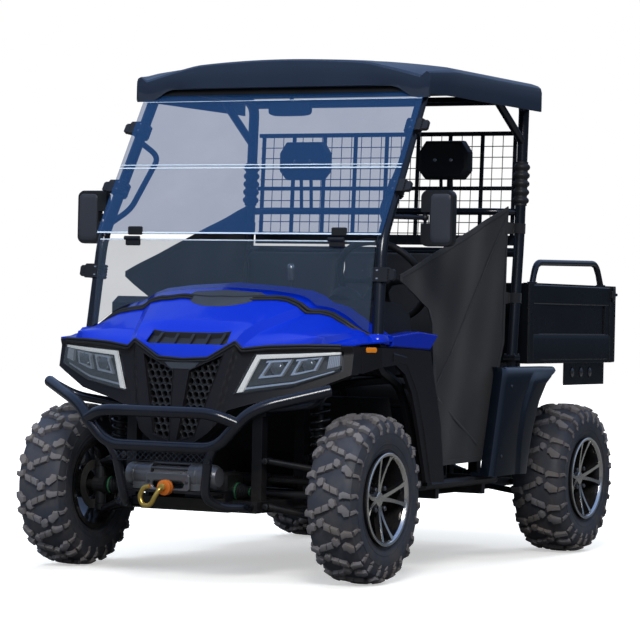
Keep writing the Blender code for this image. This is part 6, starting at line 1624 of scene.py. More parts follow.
# Side nets: black woven mesh, cut to shape and stretched from the dashboard's side to the rear pillar.
# Each has a folded hem stitched all round, a seam across it, and two webbing straps round the pillar.
def weave_group():
    """Woven mesh: a height for the threads and a mask for the open holes between them."""
    tree, given, result = node_group("weave", (("Pitch", 0.0032), ("Hole", 0.35)), (), ("Height", "Mask"))
    place = add_node(tree, "ShaderNodeTexCoord")
    apart = add_node(tree, "ShaderNodeSeparateXYZ")
    tree.links.new(place.outputs["Object"], apart.inputs[0])
    waves = []
    for axis in ("Y", "Z"):
        ratio = add_node(tree, "ShaderNodeMath", operation="DIVIDE")
        tree.links.new(apart.outputs[axis], ratio.inputs[0])
        tree.links.new(given.outputs["Pitch"], ratio.inputs[1])
        turn = add_node(tree, "ShaderNodeMath", operation="MULTIPLY")
        turn.inputs[1].default_value = 2 * math.pi
        tree.links.new(ratio.outputs[0], turn.inputs[0])
        wave = add_node(tree, "ShaderNodeMath", operation="SINE")
        tree.links.new(turn.outputs[0], wave.inputs[0])
        waves.append(wave)
    most = add_node(tree, "ShaderNodeMath", operation="MAXIMUM")
    tree.links.new(waves[0].outputs[0], most.inputs[0])
    tree.links.new(waves[1].outputs[0], most.inputs[1])
    tree.links.new(most.outputs[0], result.inputs["Height"])
    hole_mask = add_node(tree, "ShaderNodeMath", operation="GREATER_THAN")
    threshold = add_node(tree, "ShaderNodeMath", operation="MULTIPLY")
    threshold.inputs[1].default_value = -1.0
    tree.links.new(given.outputs["Hole"], threshold.inputs[0])
    tree.links.new(most.outputs[0], hole_mask.inputs[0])
    tree.links.new(threshold.outputs[0], hole_mask.inputs[1])
    tree.links.new(hole_mask.outputs[0], result.inputs["Mask"])
    return tree


WEAVE = weave_group()
net_black = finish("net_black", (0.005, 0.0075, 0.0145), 0.85, grain=500.0, bump=0.2, cloud=0.35, sheen=0.15,
                   dust=0.10, dust_limit=1.0, specular=0.1)
net_tree = net_black.node_tree
net_weave = add_node(net_tree, "ShaderNodeGroup", node_tree=WEAVE, Pitch=0.0042, Hole=0.55)
net_alpha = add_node(net_tree, "ShaderNodeMapRange")
net_alpha.inputs["To Min"].default_value = 0.86
net_alpha.inputs["To Max"].default_value = 1.0
net_tree.links.new(net_weave.outputs["Mask"], net_alpha.inputs["Value"])
net_tree.links.new(net_alpha.outputs[0], net_tree.nodes["Principled BSDF"].inputs["Alpha"])
hem_black = finish("net_hem", (0.009, 0.011, 0.016), 0.75, grain=700.0, bump=0.3, cloud=0.2, sheen=0.1)
NET_BOTTOM = ((-0.640, 1.085), (-0.400, 0.985), (-0.365, 0.930), (-0.330, 0.700), (-0.300, 0.394),
              (0.110, 0.400), (0.300, 0.860), (0.315, 1.200))
NET_X = 0.5857
NET_FRONT = -0.640
NET_LENGTH = 0.955


def net_top(y):
    """Height of the net's straight upper edge."""
    return 1.105 + 0.290 * (y - NET_FRONT) / NET_LENGTH


def net_x(y, z):
    """The net's plane, with the shallow slack folds that hang from its strap corners."""
    fall = (z - 0.42) / 0.9
    slack = 0.0022 * math.sin(14 * y + 5 * z) * math.sin(9 * z - 3 * y)
    return NET_X + slack - 0.0015 * math.sin(26 * (y - fall * 0.3))


for side in (1, -1):
    label = "left" if side > 0 else "right"
    even = [NET_FRONT + NET_LENGTH * step / 72 for step in range(73)]
    stations = sorted(set([y for y, z in NET_BOTTOM] + even))
    grid = []
    for y in stations:
        low = interpolate(NET_BOTTOM, y)
        high = net_top(y)
        grid.append([(side * net_x(y, low + (high - low) * step / 30), y, low + (high - low) * step / 30)
                     for step in range(31)])
    cloth = bmesh.new()
    add_shell(cloth, grid, (side * -0.0015, 0, 0))
    area = sum(face.calc_area() for face in cloth.faces) / 2
    net = piece(f"net_{label}", cloth, net_black, "chassis", 60, [f"side_net_{label}"])
    hem = bmesh.new()
    border = [(y, net_top(y)) for y in stations] + [(y, interpolate(NET_BOTTOM, y)) for y in stations[::-1]]
    centre = (-0.02, 0.85)
    rings = []
    for lift_by, share in ((0.0022, 0.0), (0.0022, 1.0), (-0.0036, 1.0), (-0.0036, 0.0)):
        ring = []
        for y, z in border:
            away = Vector((y - centre[0], z - centre[1])).normalized() * (-0.020 * share)
            ring.append((side * (net_x(y, z) + lift_by), y + away.x, z + away.y))
        rings.append(ring)
    skin_rings(hem, rings, closed=True)
    seam_line = [(-0.318, 0.690), (-0.190, 0.825), (-0.060, 0.962), (0.090, 1.122), (0.285, 1.345)]
    low_seam = [(-0.300, 0.650), (-0.150, 0.575), (0.060, 0.470)]
    for (a, b), (c, d) in [*zip(seam_line, seam_line[1:]), *zip(low_seam, low_seam[1:])]:
        rings = []
        for y, z in ((a, b), (c, d)):
            x = net_x(y, z)
            rings.append([(side * (x + 0.0015), y, z - 0.007), (side * (x + 0.0030), y, z),
                          (side * (x + 0.0015), y, z + 0.007), (side * (x - 0.0010), y, z)])
        skin_rings(hem, rings)
    for height in (1.310, 1.035):
        tie = rear_pillar_point(height).y
        rings = []
        for y, lift_by in ((0.290, 0.0026), (0.318, 0.0026), (tie - 0.022, 0.0020), (tie - 0.006, 0.0020)):
            half_width = 0.024 if y < 0.32 else 0.021
            z_high = height + half_width
            z_low = height - half_width
            face_x = side * (NET_X + lift_by)
            back_x = side * (NET_X + lift_by - 0.003)
            rings.append([(face_x, y, z_low), (face_x, y, z_high), (back_x, y, z_high), (back_x, y, z_low)])
        skin_rings(hem, rings)
        add_turned(hem, [(-0.020, 0.0212), (-0.020, 0.0236), (0.020, 0.0236), (0.020, 0.0212)],
                   (REAR_FOOT.x * side, tie, height), (0, 0.043, 1), 28, closed=True)
    hem_piece = piece(f"net_hem_{label}", hem, hem_black, "chassis", 50)


# Rear screen: a guard of steel bars behind the heads, with a fine welded wire grid over its whole width.
# Flat bars run across and up the guard, and the wires are welded to their front faces.
guard_black = finish("guard_black", (0.006, 0.008, 0.013), 0.35, 0.1, grain=300.0, bump=0.06, cloud=0.2)
GUARD_BOTTOM = 1.272
GUARD_TOP = 1.693
WIRE_RADIUS = 0.0018


def guard_plane(height):
    """Y of the guard's middle plane, which leans with the rear pillars."""
    return 0.3983 + 0.043 * (height - REAR_KNEE.z)


guard = bmesh.new()
for height, drop in ((1.275, 0.032), (1.4705, 0.008), (1.690, 0.008)):
    y = guard_plane(height)
    add_block(guard, (-0.590, y - 0.005, height - drop), (0.590, y + 0.005, height + 0.008), 0.0012)
for index in range(9):
    x = -0.568 + 1.136 * index / 8
    rings = []
    for z in (GUARD_BOTTOM, GUARD_TOP):
        y = guard_plane(z)
        rings.append([(x - 0.007, y - 0.0045, z), (x + 0.007, y - 0.0045, z), (x + 0.007, y + 0.0045, z),
                      (x - 0.007, y + 0.0045, z)])
    skin_rings(guard, rings)
piece("guard_bars", guard, guard_black, "chassis", 30, ["rear_screen"])
wires = bmesh.new()
for index in range(26):
    x = -0.5635 + 1.127 * index / 25
    ends = [(x, guard_plane(z) - 0.0062, z) for z in (GUARD_BOTTOM, GUARD_TOP)]
    add_tube(wires, ends, WIRE_RADIUS, 0.01, 6)
for index in range(10):
    z = 1.290 + 0.0435 * index
    y = guard_plane(z) - 0.0092
    add_tube(wires, [(-0.575, y, z), (0.575, y, z)], WIRE_RADIUS, 0.01, 6)
piece("guard_wires", wires, guard_black, "chassis", 60)


# Headrests: padded black shells with cut corners, on a steel bar that bows forward of the rear pillars.
# Two steel stems carry each shell, and two bolts show on its face.
rest_black = finish("headrest_vinyl", (0.008, 0.009, 0.012), 0.48, grain=240.0, bump=0.35, cloud=0.2)
heads = bmesh.new()
REST_BAR_Y = 0.3217
REST_BAR_Z = 1.375
HEAD_MIDDLE = (0.315, 1.5775)
HEAD_LINE = ((-0.110, 1.535), (-0.080, 1.500), (0.080, 1.500), (0.110, 1.535), (0.110, 1.610),
             (0.080, 1.655), (-0.080, 1.655), (-0.110, 1.610))
rings = []
for depth, scale in ((0.332, 0.90), (0.326, 0.99), (0.300, 1.0), (0.284, 0.97), (0.278, 0.84), (0.281, 0.62),
                     (0.2815, 0.30)):
    rings.append([(HEAD_MIDDLE[0] + x * scale, depth, HEAD_MIDDLE[1] + (z - HEAD_MIDDLE[1]) * scale)
                  for x, z in HEAD_LINE])
skin_rings(heads, rings)
mirror_copy(heads)
rests = piece("headrest_shells", heads, rest_black, "chassis", 28, ["headrest_bar"])
rest_bar = bmesh.new()
add_tube(rest_bar, [(-0.5887, 0.3817, REST_BAR_Z), (-0.500, REST_BAR_Y, REST_BAR_Z),
                    (0.500, REST_BAR_Y, REST_BAR_Z), (0.5887, 0.3817, REST_BAR_Z)],
         0.014, 0.05, 16, 6)
for side in (1, -1):
    for x in (0.2925, 0.3375):
        add_tube(rest_bar, [(side * x, REST_BAR_Y, REST_BAR_Z), (side * x, 0.318, 1.46),
                            (side * x, 0.312, 1.53)],
                 0.0070, 0.03, 12, 4)
piece("headrest_tube", rest_bar, tube_gloss, "chassis", 40)
bolt = bmesh.new()
add_turned(bolt, [(-0.004, 0.008), (0.001, 0.008), (0.0035, 0.006), (0.004, 0.001)], (0, 0, 0), (0, -1, 0),
           16)
places = [(side * x, 0.2800, HEAD_MIDDLE[1]) for side in (1, -1) for x in (0.280, 0.350)]
set_out("headrest_bolts", bolt, places,
        band_bright, "chassis", 35)


# Seats: two stuffed vinyl cushions each, base and back, with piping round them, and a narrow pad between.
# The cushions are blown up by a short cloth simulation, so that their faces swell between the seams.
seat_vinyl = finish("seat_vinyl", (0.016, 0.018, 0.023), 0.55, grain=260.0, bump=0.45, cloud=0.2, sheen=0.08)
FRAMES = 16
SEAT_INNER = 0.087
SEAT_OUTER = 0.518


def plump(name, shape, most):
    """Stuffed mesh of a bmesh: remeshed, blown up a little, and kept within a distance of its start."""
    bmesh.ops.recalc_face_normals(shape, faces=shape.faces)
    data = bpy.data.meshes.new(name)
    shape.to_mesh(data)
    shape.free()
    item = bpy.data.objects.new(name, data)
    bpy.context.scene.collection.objects.link(item)
    remesh = item.modifiers.new("remesh", "REMESH")
    remesh.mode = "VOXEL"
    remesh.voxel_size = 0.012
    plain = bpy.data.meshes.new_from_object(item.evaluated_get(bpy.context.evaluated_depsgraph_get()))
    bpy.data.objects.remove(item)
    plain.name = name
    item = bpy.data.objects.new(name, plain)
    bpy.context.scene.collection.objects.link(item)
    before = [vertex.co.copy() for vertex in plain.vertices]
    cloth = item.modifiers.new("cloth", "CLOTH")
    cloth.settings.use_pressure = True
    cloth.settings.uniform_pressure_force = 4.0
    cloth.settings.effector_weights.gravity = 0.0
    cloth.point_cache.frame_end = FRAMES
    for frame_number in range(1, FRAMES + 1):
        bpy.context.scene.frame_set(frame_number)
    blown = bpy.data.meshes.new_from_object(item.evaluated_get(bpy.context.evaluated_depsgraph_get()))
    bpy.context.scene.frame_set(1)
    item.modifiers.remove(cloth)
    for vertex, start_place in zip(blown.vertices, before):
        moved = vertex.co - start_place
        if moved.length > most:
            vertex.co = start_place + moved.normalized() * most
    item.data = blown
    smooth = item.modifiers.new("smooth", "SMOOTH")
    smooth.iterations = 3
    made = bpy.data.meshes.new_from_object(item.evaluated_get(bpy.context.evaluated_depsgraph_get()))
    bpy.data.objects.remove(item)
    return made


base_shape = bmesh.new()
base_line = [(-0.104, 0.612), (-0.112, 0.680), (-0.090, 0.708), (0.092, 0.702), (0.208, 0.700),
             (0.206, 0.612)]
add_prism(base_shape, base_line, "X", SEAT_INNER, SEAT_OUTER)
back_shape = bmesh.new()
back_line = [(0.118, 0.722), (0.188, 1.185), (0.212, 1.216), (0.242, 1.212), (0.256, 1.180), (0.226, 0.722)]
add_prism(back_shape, back_line, "X", SEAT_INNER, SEAT_OUTER)
cushions = {"seat_base": plump("seat_base", base_shape, 0.010),
            "seat_back": plump("seat_back", back_shape, 0.010)}
for side in (1, -1):
    label = "left" if side > 0 else "right"
    for part_name, mesh in cushions.items():
        shape = bmesh.new()
        shape.from_mesh(mesh)
        if side < 0:
            bmesh.ops.transform(shape, matrix=Matrix.Scale(-1, 4, (1, 0, 0)), verts=shape.verts)
        stands_for = [f"seat_{label}"] if part_name == "seat_base" else ()
        cushion = piece(f"{part_name}_{label}", shape, seat_vinyl, "chassis", 60, stands_for)
for part_name, line in (("base", base_line), ("back", back_line)):
    middle_shape = bmesh.new()
    add_prism(middle_shape, line, "X", -0.073, 0.073)
    shape = bmesh.new()
    shape.from_mesh(plump(f"middle_{part_name}", middle_shape, 0.006))
    middle_pad = piece(f"seat_middle_{part_name}", shape, seat_vinyl, "chassis", 60)
piping = bmesh.new()
for x in (SEAT_INNER - 0.005, SEAT_OUTER + 0.005):
    for line in (base_line, back_line):
        loop = [(x, y, z) for y, z in line] + [(x, *line[0])]
        add_tube(piping, loop, 0.0045, 0.02, 10, 4)
add_block(piping, (0.085, -0.110, 0.6005), (0.520, 0.215, 0.616), 0.003)
mirror_copy(piping)
piece("seat_piping", piping, clamp_rubber, "chassis", 40)


# Steering wheel: a grained rim of black plastic on three spokes, over a domed hub and a steel shaft.
# The shaft runs in the column's bore, so the whole wheel turns with its own body.
grip_black = finish("grip_plastic", (0.014, 0.015, 0.017), 0.50, grain=380.0, bump=0.35, cloud=0.2)
WHEEL_CENTRE = Vector((0.320, -0.250, 1.090))
WHEEL_AXIS = Vector((0, math.cos(math.radians(35)), math.sin(math.radians(35))))
wheel = bmesh.new()
profile = [(0.0135 * math.sin(turn), 0.175 + 0.0135 * math.cos(turn))
           for turn in (2 * math.pi * step / 14 for step in range(14))]
add_turned(wheel, profile, WHEEL_CENTRE, WHEEL_AXIS, 72, closed=True)
add_turned(wheel, [(-0.034, 0.030), (-0.030, 0.045), (-0.004, 0.045), (0.004, 0.042), (0.008, 0.030),
                   (0.0095, 0.001)],
           WHEEL_CENTRE, WHEEL_AXIS, 40)
side_way = Vector((1, 0, 0))
down_way = WHEEL_AXIS.cross(side_way)
for turn in (0, 180, 90):
    way = side_way * math.cos(math.radians(turn)) + down_way * math.sin(math.radians(turn))
    across = WHEEL_AXIS.cross(way)
    rings = []
    for reach, wide, thick in ((0.030, 0.020, 0.0065), (0.080, 0.013, 0.0055), (0.130, 0.012, 0.0050),
                               (0.172, 0.017, 0.0060)):
        middle = WHEEL_CENTRE + way * reach - WHEEL_AXIS * (0.010 - 0.05 * reach)
        rings.append([middle + across * (wide * math.cos(bend)) + WHEEL_AXIS * (thick * math.sin(bend))
                      for bend in (2 * math.pi * step / 12 for step in range(12))])
    skin_rings(wheel, rings)
piece("wheel_rim_and_spokes", wheel, grip_black, "steering_column_wheel", 40,
      ["steering_wheel"])
shaft = bmesh.new()
add_turned(shaft, [(-0.071, 0.010), (-0.020, 0.010)], WHEEL_CENTRE, WHEEL_AXIS, 20)
piece("wheel_shaft", shaft, dark_steel, "steering_column_wheel", 40)


# Dashboard: a grained black moulding across the cab, with a hooded gauge, vents, a box lid and a hand lever.
# The gauge's glass sits in a bright bezel in front of the driver, and the lever has a polished grip.
# The small mirror above it is clamped to the cage's front cross tube.
dash_black = finish("dash_plastic", (0.009, 0.010, 0.013), 0.55, grain=420.0, bump=0.35, cloud=0.15)
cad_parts["dashboard"].data.materials[0] = dash_black
gauge_glass = finish("gauge_glass", (0.010, 0.013, 0.018), 0.06, grain=100.0, bump=0.0, coat=1.0)
hoods = bmesh.new()
gauge_axis = Vector((0, 0.80, 0.60)).normalized()
gauge_place = Vector((0.320, -0.545, 1.000))
add_turned(hoods, [(-0.045, 0.070), (0.012, 0.066), (0.020, 0.060), (0.020, 0.054), (0.006, 0.052),
                   (-0.045, 0.030)],
           gauge_place, gauge_axis, 40)
for x in (-0.42, -0.08, 0.08):
    add_block(hoods, (x - 0.050, -0.498, 0.905), (x + 0.050, -0.470, 0.950), 0.004)
add_block(hoods, (-0.500, -0.492, 0.815), (-0.180, -0.480, 0.885), 0.005)
piece("dash_mouldings", hoods, dash_black, "chassis", 35)
bezel = bmesh.new()
add_turned(bezel, [(0.0195, 0.060), (0.022, 0.059), (0.022, 0.055), (0.0195, 0.054)], gauge_place,
           gauge_axis, 40, closed=True)
piece("gauge_bezel", bezel, band_bright, "chassis", 35)
face_glass = bmesh.new()
add_turned(face_glass, [(0.002, 0.053), (0.008, 0.053), (0.010, 0.030), (0.0105, 0.001)], gauge_place,
           gauge_axis, 32)
piece("gauge_face", face_glass, gauge_glass, "chassis", 35)
slats = bmesh.new()
add_block(slats, (-0.043, -0.0012, -0.0018), (0.043, 0.004, 0.0018))
places = [(x, -0.4700, 0.9115 + 0.0080 * step) for x in (-0.42, -0.08, 0.08) for step in range(5)]
set_out("dash_vent_slats", slats, places, honeycomb_black, "chassis", 35)
lever = bmesh.new()
add_tube(lever, [(0.030, -0.500, 0.955), (0.030, -0.440, 1.035), (0.030, -0.445, 1.105)], 0.0075, 0.04, 14,
         5)
piece("hand_lever", lever, dark_steel, "chassis", 40)
knob = bmesh.new()
add_turned(knob, [(-0.030, 0.010), (-0.026, 0.014), (0.016, 0.015), (0.030, 0.013), (0.036, 0.007),
                  (0.0375, 0.001)],
           (0.030, -0.4445, 1.110), (0, -0.07, 1), 24)
piece("hand_lever_grip", knob, band_bright, "chassis", 40)
inner_mirror = bmesh.new()
line = [(0.090 * math.copysign(abs(math.cos(turn)) ** 0.45, math.cos(turn)),
         0.028 * math.copysign(abs(math.sin(turn)) ** 0.45, math.sin(turn)))
        for turn in (2 * math.pi * step / 36 for step in range(36))]
rings = []
for y, scale in ((-0.436, 0.97), (-0.420, 1.0), (-0.410, 0.97), (-0.409, 0.9)):
    rings.append([(0.0 + a * scale, y, 1.735 + b * scale) for a, b in line])
skin_rings(inner_mirror, rings)
add_tube(inner_mirror, [(0.0, -0.420, 1.740), (0.0, -0.408, 1.790), (0.0, -0.398, 1.802)], 0.008, 0.02, 14,
         3)
add_turned(inner_mirror, [(-0.020, 0.0182), (-0.020, 0.0215), (0.020, 0.0215), (0.020, 0.0182)],
           (0.0, -0.397, 1.818), (1, 0, 0), 28, closed=True)
piece("interior_mirror", inner_mirror, clamp_rubber, "chassis", 40)


# Door mirrors: black moulded shells with a grey back panel, each on a ball joint at the end of its arm.
# The shells fold about the arm's pin, and the glass is set in a lip on the rear side.
mirror_grey = finish("mirror_grey", (0.030, 0.034, 0.046), 0.45, grain=420.0, bump=0.25, cloud=0.12,
                     specular=0.4)
MIRROR_MIDDLE = (0.734, 1.3125)
MIRROR_PANEL_X = 0.750
mirror_glass = finish("mirror_glass", (0.78, 0.80, 0.82), 0.04, 1.0, grain=100.0, bump=0.0, cloud=0.03)


def rounded_outline(low, high, bend, steps=6):
    """Rectangle with rounded corners, anticlockwise from its lower left corner."""
    outline = []
    for cx, cz, first in ((high[0] - bend, high[1] - bend, 0), (low[0] + bend, high[1] - bend, 90),
                          (low[0] + bend, low[1] + bend, 180), (high[0] - bend, low[1] + bend, 270)):
        for step in range(steps + 1):
            turn = math.radians(first + 90 * step / steps)
            outline.append((cx + bend * math.cos(turn), cz + bend * math.sin(turn)))
    return outline


for side in (1, -1):
    label = "left" if side > 0 else "right"
    outline = rounded_outline((0.668, 1.210), (0.800, 1.415), 0.024)
    turn_at = next(index for index, (x, z) in enumerate(outline) if x < 0.6685 and z < 1.35)
    outline = outline[:turn_at] + [(0.6682, 1.336), (0.7040, 1.336), (0.7040, 1.294),
                                   (0.6682, 1.294)] + outline[turn_at:]
    shell_shape = bmesh.new()
    rings = []
    for y, scale in ((-0.6235, 0.965), (-0.6225, 0.99), (-0.6300, 1.0), (-0.6450, 0.995), (-0.6530, 0.965)):
        rings.append([(side * (MIRROR_MIDDLE[0] + (x - MIRROR_MIDDLE[0]) * scale), y,
                       MIRROR_MIDDLE[1] + (z - MIRROR_MIDDLE[1]) * scale) for x, z in outline])
    skin_rings(shell_shape, rings)
    piece(f"mirror_shell_{label}", shell_shape, clamp_rubber, f"side_mirror_{label}", 35,
          [f"mirror_{label}"])
    back_panel = bmesh.new()
    plate = rounded_outline((0.710, 1.224), (0.790, 1.401), 0.016)
    rings = [[(side * (MIRROR_PANEL_X + (x - MIRROR_PANEL_X) * scale), y,
               MIRROR_MIDDLE[1] + (z - MIRROR_MIDDLE[1]) * scale) for x, z in plate]
             for y, scale in ((-0.6500, 1.0), (-0.6535, 1.0), (-0.6555, 0.96), (-0.6560, 0.80))]
    skin_rings(back_panel, rings)
    piece(f"mirror_back_{label}", back_panel, mirror_grey, f"side_mirror_{label}", 35)
    glass = bmesh.new()
    plate = rounded_outline((0.708, 1.222), (0.792, 1.403), 0.018)
    skin_rings(glass, [[(side * x, y, z) for x, z in plate] for y in (-0.6230, -0.6221)])
    piece(f"mirror_glass_{label}", glass, mirror_glass, f"side_mirror_{label}", 35)
ball = bmesh.new()
for side in (1, -1):
    add_turned(ball, [(-0.013, 0.004), (-0.010, 0.009), (-0.004, 0.0125), (0.004, 0.0125), (0.010, 0.009),
                      (0.013, 0.004)],
               (MIRROR_HINGE.x * side, MIRROR_HINGE.y, MIRROR_HINGE.z), (0, 0, 1), 24)
piece("mirror_ball_joints", ball, clamp_rubber, "chassis", 40)


# Front side panels: grained charcoal mouldings that carry the nose's line back and down behind each wheel.
# A raised ledge runs down the panel's middle, and a small amber marker lamp sits high on each corner.
for label in ("left", "right"):
    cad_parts[f"side_panel_{label}"].data.materials[0] = fascia_grain
ledges = bmesh.new()
LEDGE = ((-0.800, 0.806), (-0.690, 0.792), (-0.600, 0.690), (-0.540, 0.560), (-0.470, 0.362))
rings = []
for y, z in LEDGE:
    rings.append([(0.6435, y, z + 0.018), (0.6475, y, z + 0.012), (0.6475, y, z - 0.012),
                  (0.6435, y, z - 0.018)])
skin_rings(ledges, rings)
mirror_copy(ledges)
piece("side_panel_ledges", ledges, fascia_grain, "chassis", 30)
amber = finish("marker_amber", (0.85, 0.26, 0.012), 0.20, grain=200.0, bump=0.08, coat=0.6)
markers = bmesh.new()
rings = []
for y, grow in ((-0.962, 0.6), (-0.958, 1.0), (-0.922, 1.0), (-0.918, 0.6)):
    x = FENDER_X + flare(y)
    rings.append([(x - 0.006, y, 0.8330 - 0.011 * grow), (x + 0.003, y, 0.8330 - 0.009 * grow),
                  (x + 0.0045, y, 0.8330), (x + 0.003, y, 0.8330 + 0.009 * grow),
                  (x - 0.006, y, 0.8330 + 0.010 * grow)])
skin_rings(markers, rings)
mirror_copy(markers)
piece("marker_lamps", markers, amber, "chassis", 30)


# Rear fenders: gloss black flares ahead of the rear wheels, with a rolled and raised rim along the arch.
# The flat top and the front wall are one moulding with the flare, and a flange at its foot sits on the sill.
gloss_black = finish("fender_gloss_black", (0.004, 0.007, 0.014), 0.16, grain=500.0, bump=0.03, cloud=0.2,
                     coat=0.5, dust=0.04, dust_limit=0.75)
fender = bmesh.new()
ARCH = ((0.337, 0.360), (0.480, 0.400), (0.620, 0.470), (0.710, 0.560), (0.745, 0.655), (0.765, 0.655))
rings = []
for z, shrink in ((0.3450, 0.0), (0.400, 0.0), (0.460, 0.0), (0.520, 0.0), (0.580, 0.0), (0.630, 0.0),
                  (0.670, 0.0), (0.700, 0.0), (0.722, 0.0), (0.738, 0.0008), (0.748, 0.0028),
                  (0.756, 0.0065), (0.761, 0.011), (0.7640, 0.018)):
    share = (z - 0.345) / 0.420
    front = 0.042 + 0.118 * share
    arch = interpolate(ARCH, z)
    step = arch - 0.094 - 0.075 * share - 0.055 * smooth_step((share - 0.8) / 0.2)
    raised = 0.0085 * smooth_step((0.935 - share) / 0.035)
    outer = ((0.6020, front + 0.022), (0.6300, front + 0.004), (0.6480, front + 0.004),
             (0.6580, front + 0.014), (0.6625, front + 0.032), (0.6630, step - 0.012), (0.6630, step),
             (0.6630 + raised, step + 0.018), (0.6635 + raised, step + 0.026),
             (0.6635 + raised, arch - 0.020), (0.6620 + raised, arch - 0.006), (0.6640, arch),
             (0.6540, arch - 0.001))
    inner = ((0.6540, arch - 0.006), (0.6600, arch - 0.012), (0.6590, step), (0.6585, front + 0.034),
             (0.6530, front + 0.018), (0.6300, front + 0.010), (0.6020, front + 0.028))
    rings.append([(x - shrink, y + shrink * 0.6 * (1 if y < step else -0.2), z) for x, y in outer + inner])
skin_rings(fender, rings)
add_block(fender, (0.600, 0.176, 0.7530), (0.650, 0.640, 0.7640), 0.003)
add_block(fender, (0.565, 0.060, 0.3433), (0.655, 0.240, 0.3573))
mirror_copy(fender)
fenders = ["rear_fender_left", "rear_fender_right"]
piece("rear_flares", fender, gloss_black, "chassis", 32, fenders)
bolt = bmesh.new()
add_turned(bolt, [(-0.001, 0.0065), (0.0020, 0.0062), (0.0034, 0.0045), (0.0038, 0.001)], (0, 0, 0),
           (1, 0, 0), 14)
places = []
turns = []
for side in (1, -1):
    for y, z in ((0.215, 0.690), (0.128, 0.420)):
        places.append((side * 0.6630, y, z))
        turns.append((0, 0, 0 if side > 0 else math.pi))
set_out("rear_flare_screws", bolt, places, dark_steel, "chassis", 35, turns)


# Cargo bed: pressed black sheet steel, tipping about its rear hinges, with a bent grab rail on each side.
# Three round lamps show in the panel under each side, and a latch holds the tailgate at each rear corner.
bed_black = finish("bed_black_steel", (0.0050, 0.0070, 0.0100), 0.26, 0.2, grain=220.0, bump=0.12,
                   cloud=0.25, wear_and_highlight=0.45, wear_and_highlight_colour=(0.10, 0.10, 0.11), dust=0.04, dust_limit=1.0)
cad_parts["cargo_bed"].data.materials[0] = bed_black
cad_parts["tailgate"].data.materials[0] = bed_black
BED_SIDE = 0.6245
RAIL_X = 0.6125
RAIL_FOOT_Z = 1.0975
bed_rails = bmesh.new()
add_tube(bed_rails, [(RAIL_X, 0.510, RAIL_FOOT_Z), (RAIL_X, 0.545, 1.180), (RAIL_X, 1.180, 1.190),
                     (RAIL_X, 1.235, RAIL_FOOT_Z)],
         0.0125, 0.05, 20, 8)
for y in (0.510, 1.235):
    add_block(bed_rails, (0.6003, y - 0.024, 1.0982), (0.6247, y + 0.024, 1.1022), 0.001)
mirror_copy(bed_rails)
piece("bed_grab_rails", bed_rails, tube_gloss, "bed", 40)
trims = bmesh.new()
rings = []
for y in (0.470, 1.360):
    rings.append([(BED_SIDE, y, 1.014), (0.628, y, 1.018), (0.628, y, 1.088), (BED_SIDE, y, 1.092)])
skin_rings(trims, rings)
for low_y, high_y in ((0.452, 0.500), (1.310, 1.372)):
    rings = []
    for z in (0.780, 1.095):
        rings.append([(BED_SIDE, low_y, z), (0.6290, low_y + 0.004, z), (0.6290, high_y - 0.004, z),
                      (BED_SIDE, high_y, z)])
    skin_rings(trims, rings)
rings = []
for y in (0.500, 1.345):
    rings.append([(BED_SIDE, y, 0.788), (0.6280, y, 0.791), (0.6280, y, 0.874), (0.6265, y, 0.882),
                  (BED_SIDE, y, 0.896)])
skin_rings(trims, rings)
mirror_copy(trims)
piece("bed_side_trims", trims, bed_black, "bed", 30)
latch = bmesh.new()
add_block(latch, (0.6285, 1.318, 1.046), (0.6365, 1.352, 1.078), 0.002)
add_turned(latch, [(-0.002, 0.006), (0.010, 0.006), (0.011, 0.004)], (0.6285, 1.360, 1.062), (1, 0, 0), 14)
add_block(latch, (0.6335, 1.325, 1.030), (0.6385, 1.345, 1.090), 0.0015)
mirror_copy(latch)
piece("bed_latches", latch, dark_steel, "bed", 30)
LAMP_PANEL_X = 0.596
LAMP_ROW_Z = 0.735
lamps = bmesh.new()
lamp_rings = bmesh.new()
for y in (0.985, 1.080, 1.175):
    add_turned(lamps, [(-0.010, 0.0185), (0.0008, 0.0185), (0.0032, 0.012), (0.0040, 0.001)],
               (LAMP_PANEL_X, y, LAMP_ROW_Z), (1, 0, 0), 24)
    add_turned(lamp_rings, [(-0.0005, 0.0186), (0.0022, 0.0190), (0.0022, 0.0225), (-0.0005, 0.0230)],
               (LAMP_PANEL_X, y, LAMP_ROW_Z), (1, 0, 0), 28, closed=True)
mirror_copy(lamps)
mirror_copy(lamp_rings)
lamp_dark = finish("rear_lamp_dark", (0.035, 0.036, 0.040), 0.12, grain=160.0, bump=0.06, coat=0.8)
piece("bed_lamps", lamps, lamp_dark, "bed", 40)
piece("bed_lamp_rings", lamp_rings, rubber_black, "bed", 40)
gate_trim = bmesh.new()
for low_z, high_z in ((0.800, 0.845), (1.050, 1.088)):
    rings = []
    for x in (-0.580, 0.580):
        rings.append([(x, 1.3735, low_z), (x, 1.3770, low_z + 0.004), (x, 1.3770, high_z - 0.004),
                      (x, 1.3735, high_z)])
    skin_rings(gate_trim, rings)
for index in range(9):
    x = -0.48 + 0.12 * index
    add_block(gate_trim, (x - 0.010, 1.3830, 0.880), (x + 0.010, 1.3870, 0.995), 0.0015)
piece("tailgate_pressings", gate_trim, bed_black, "gate", 30)


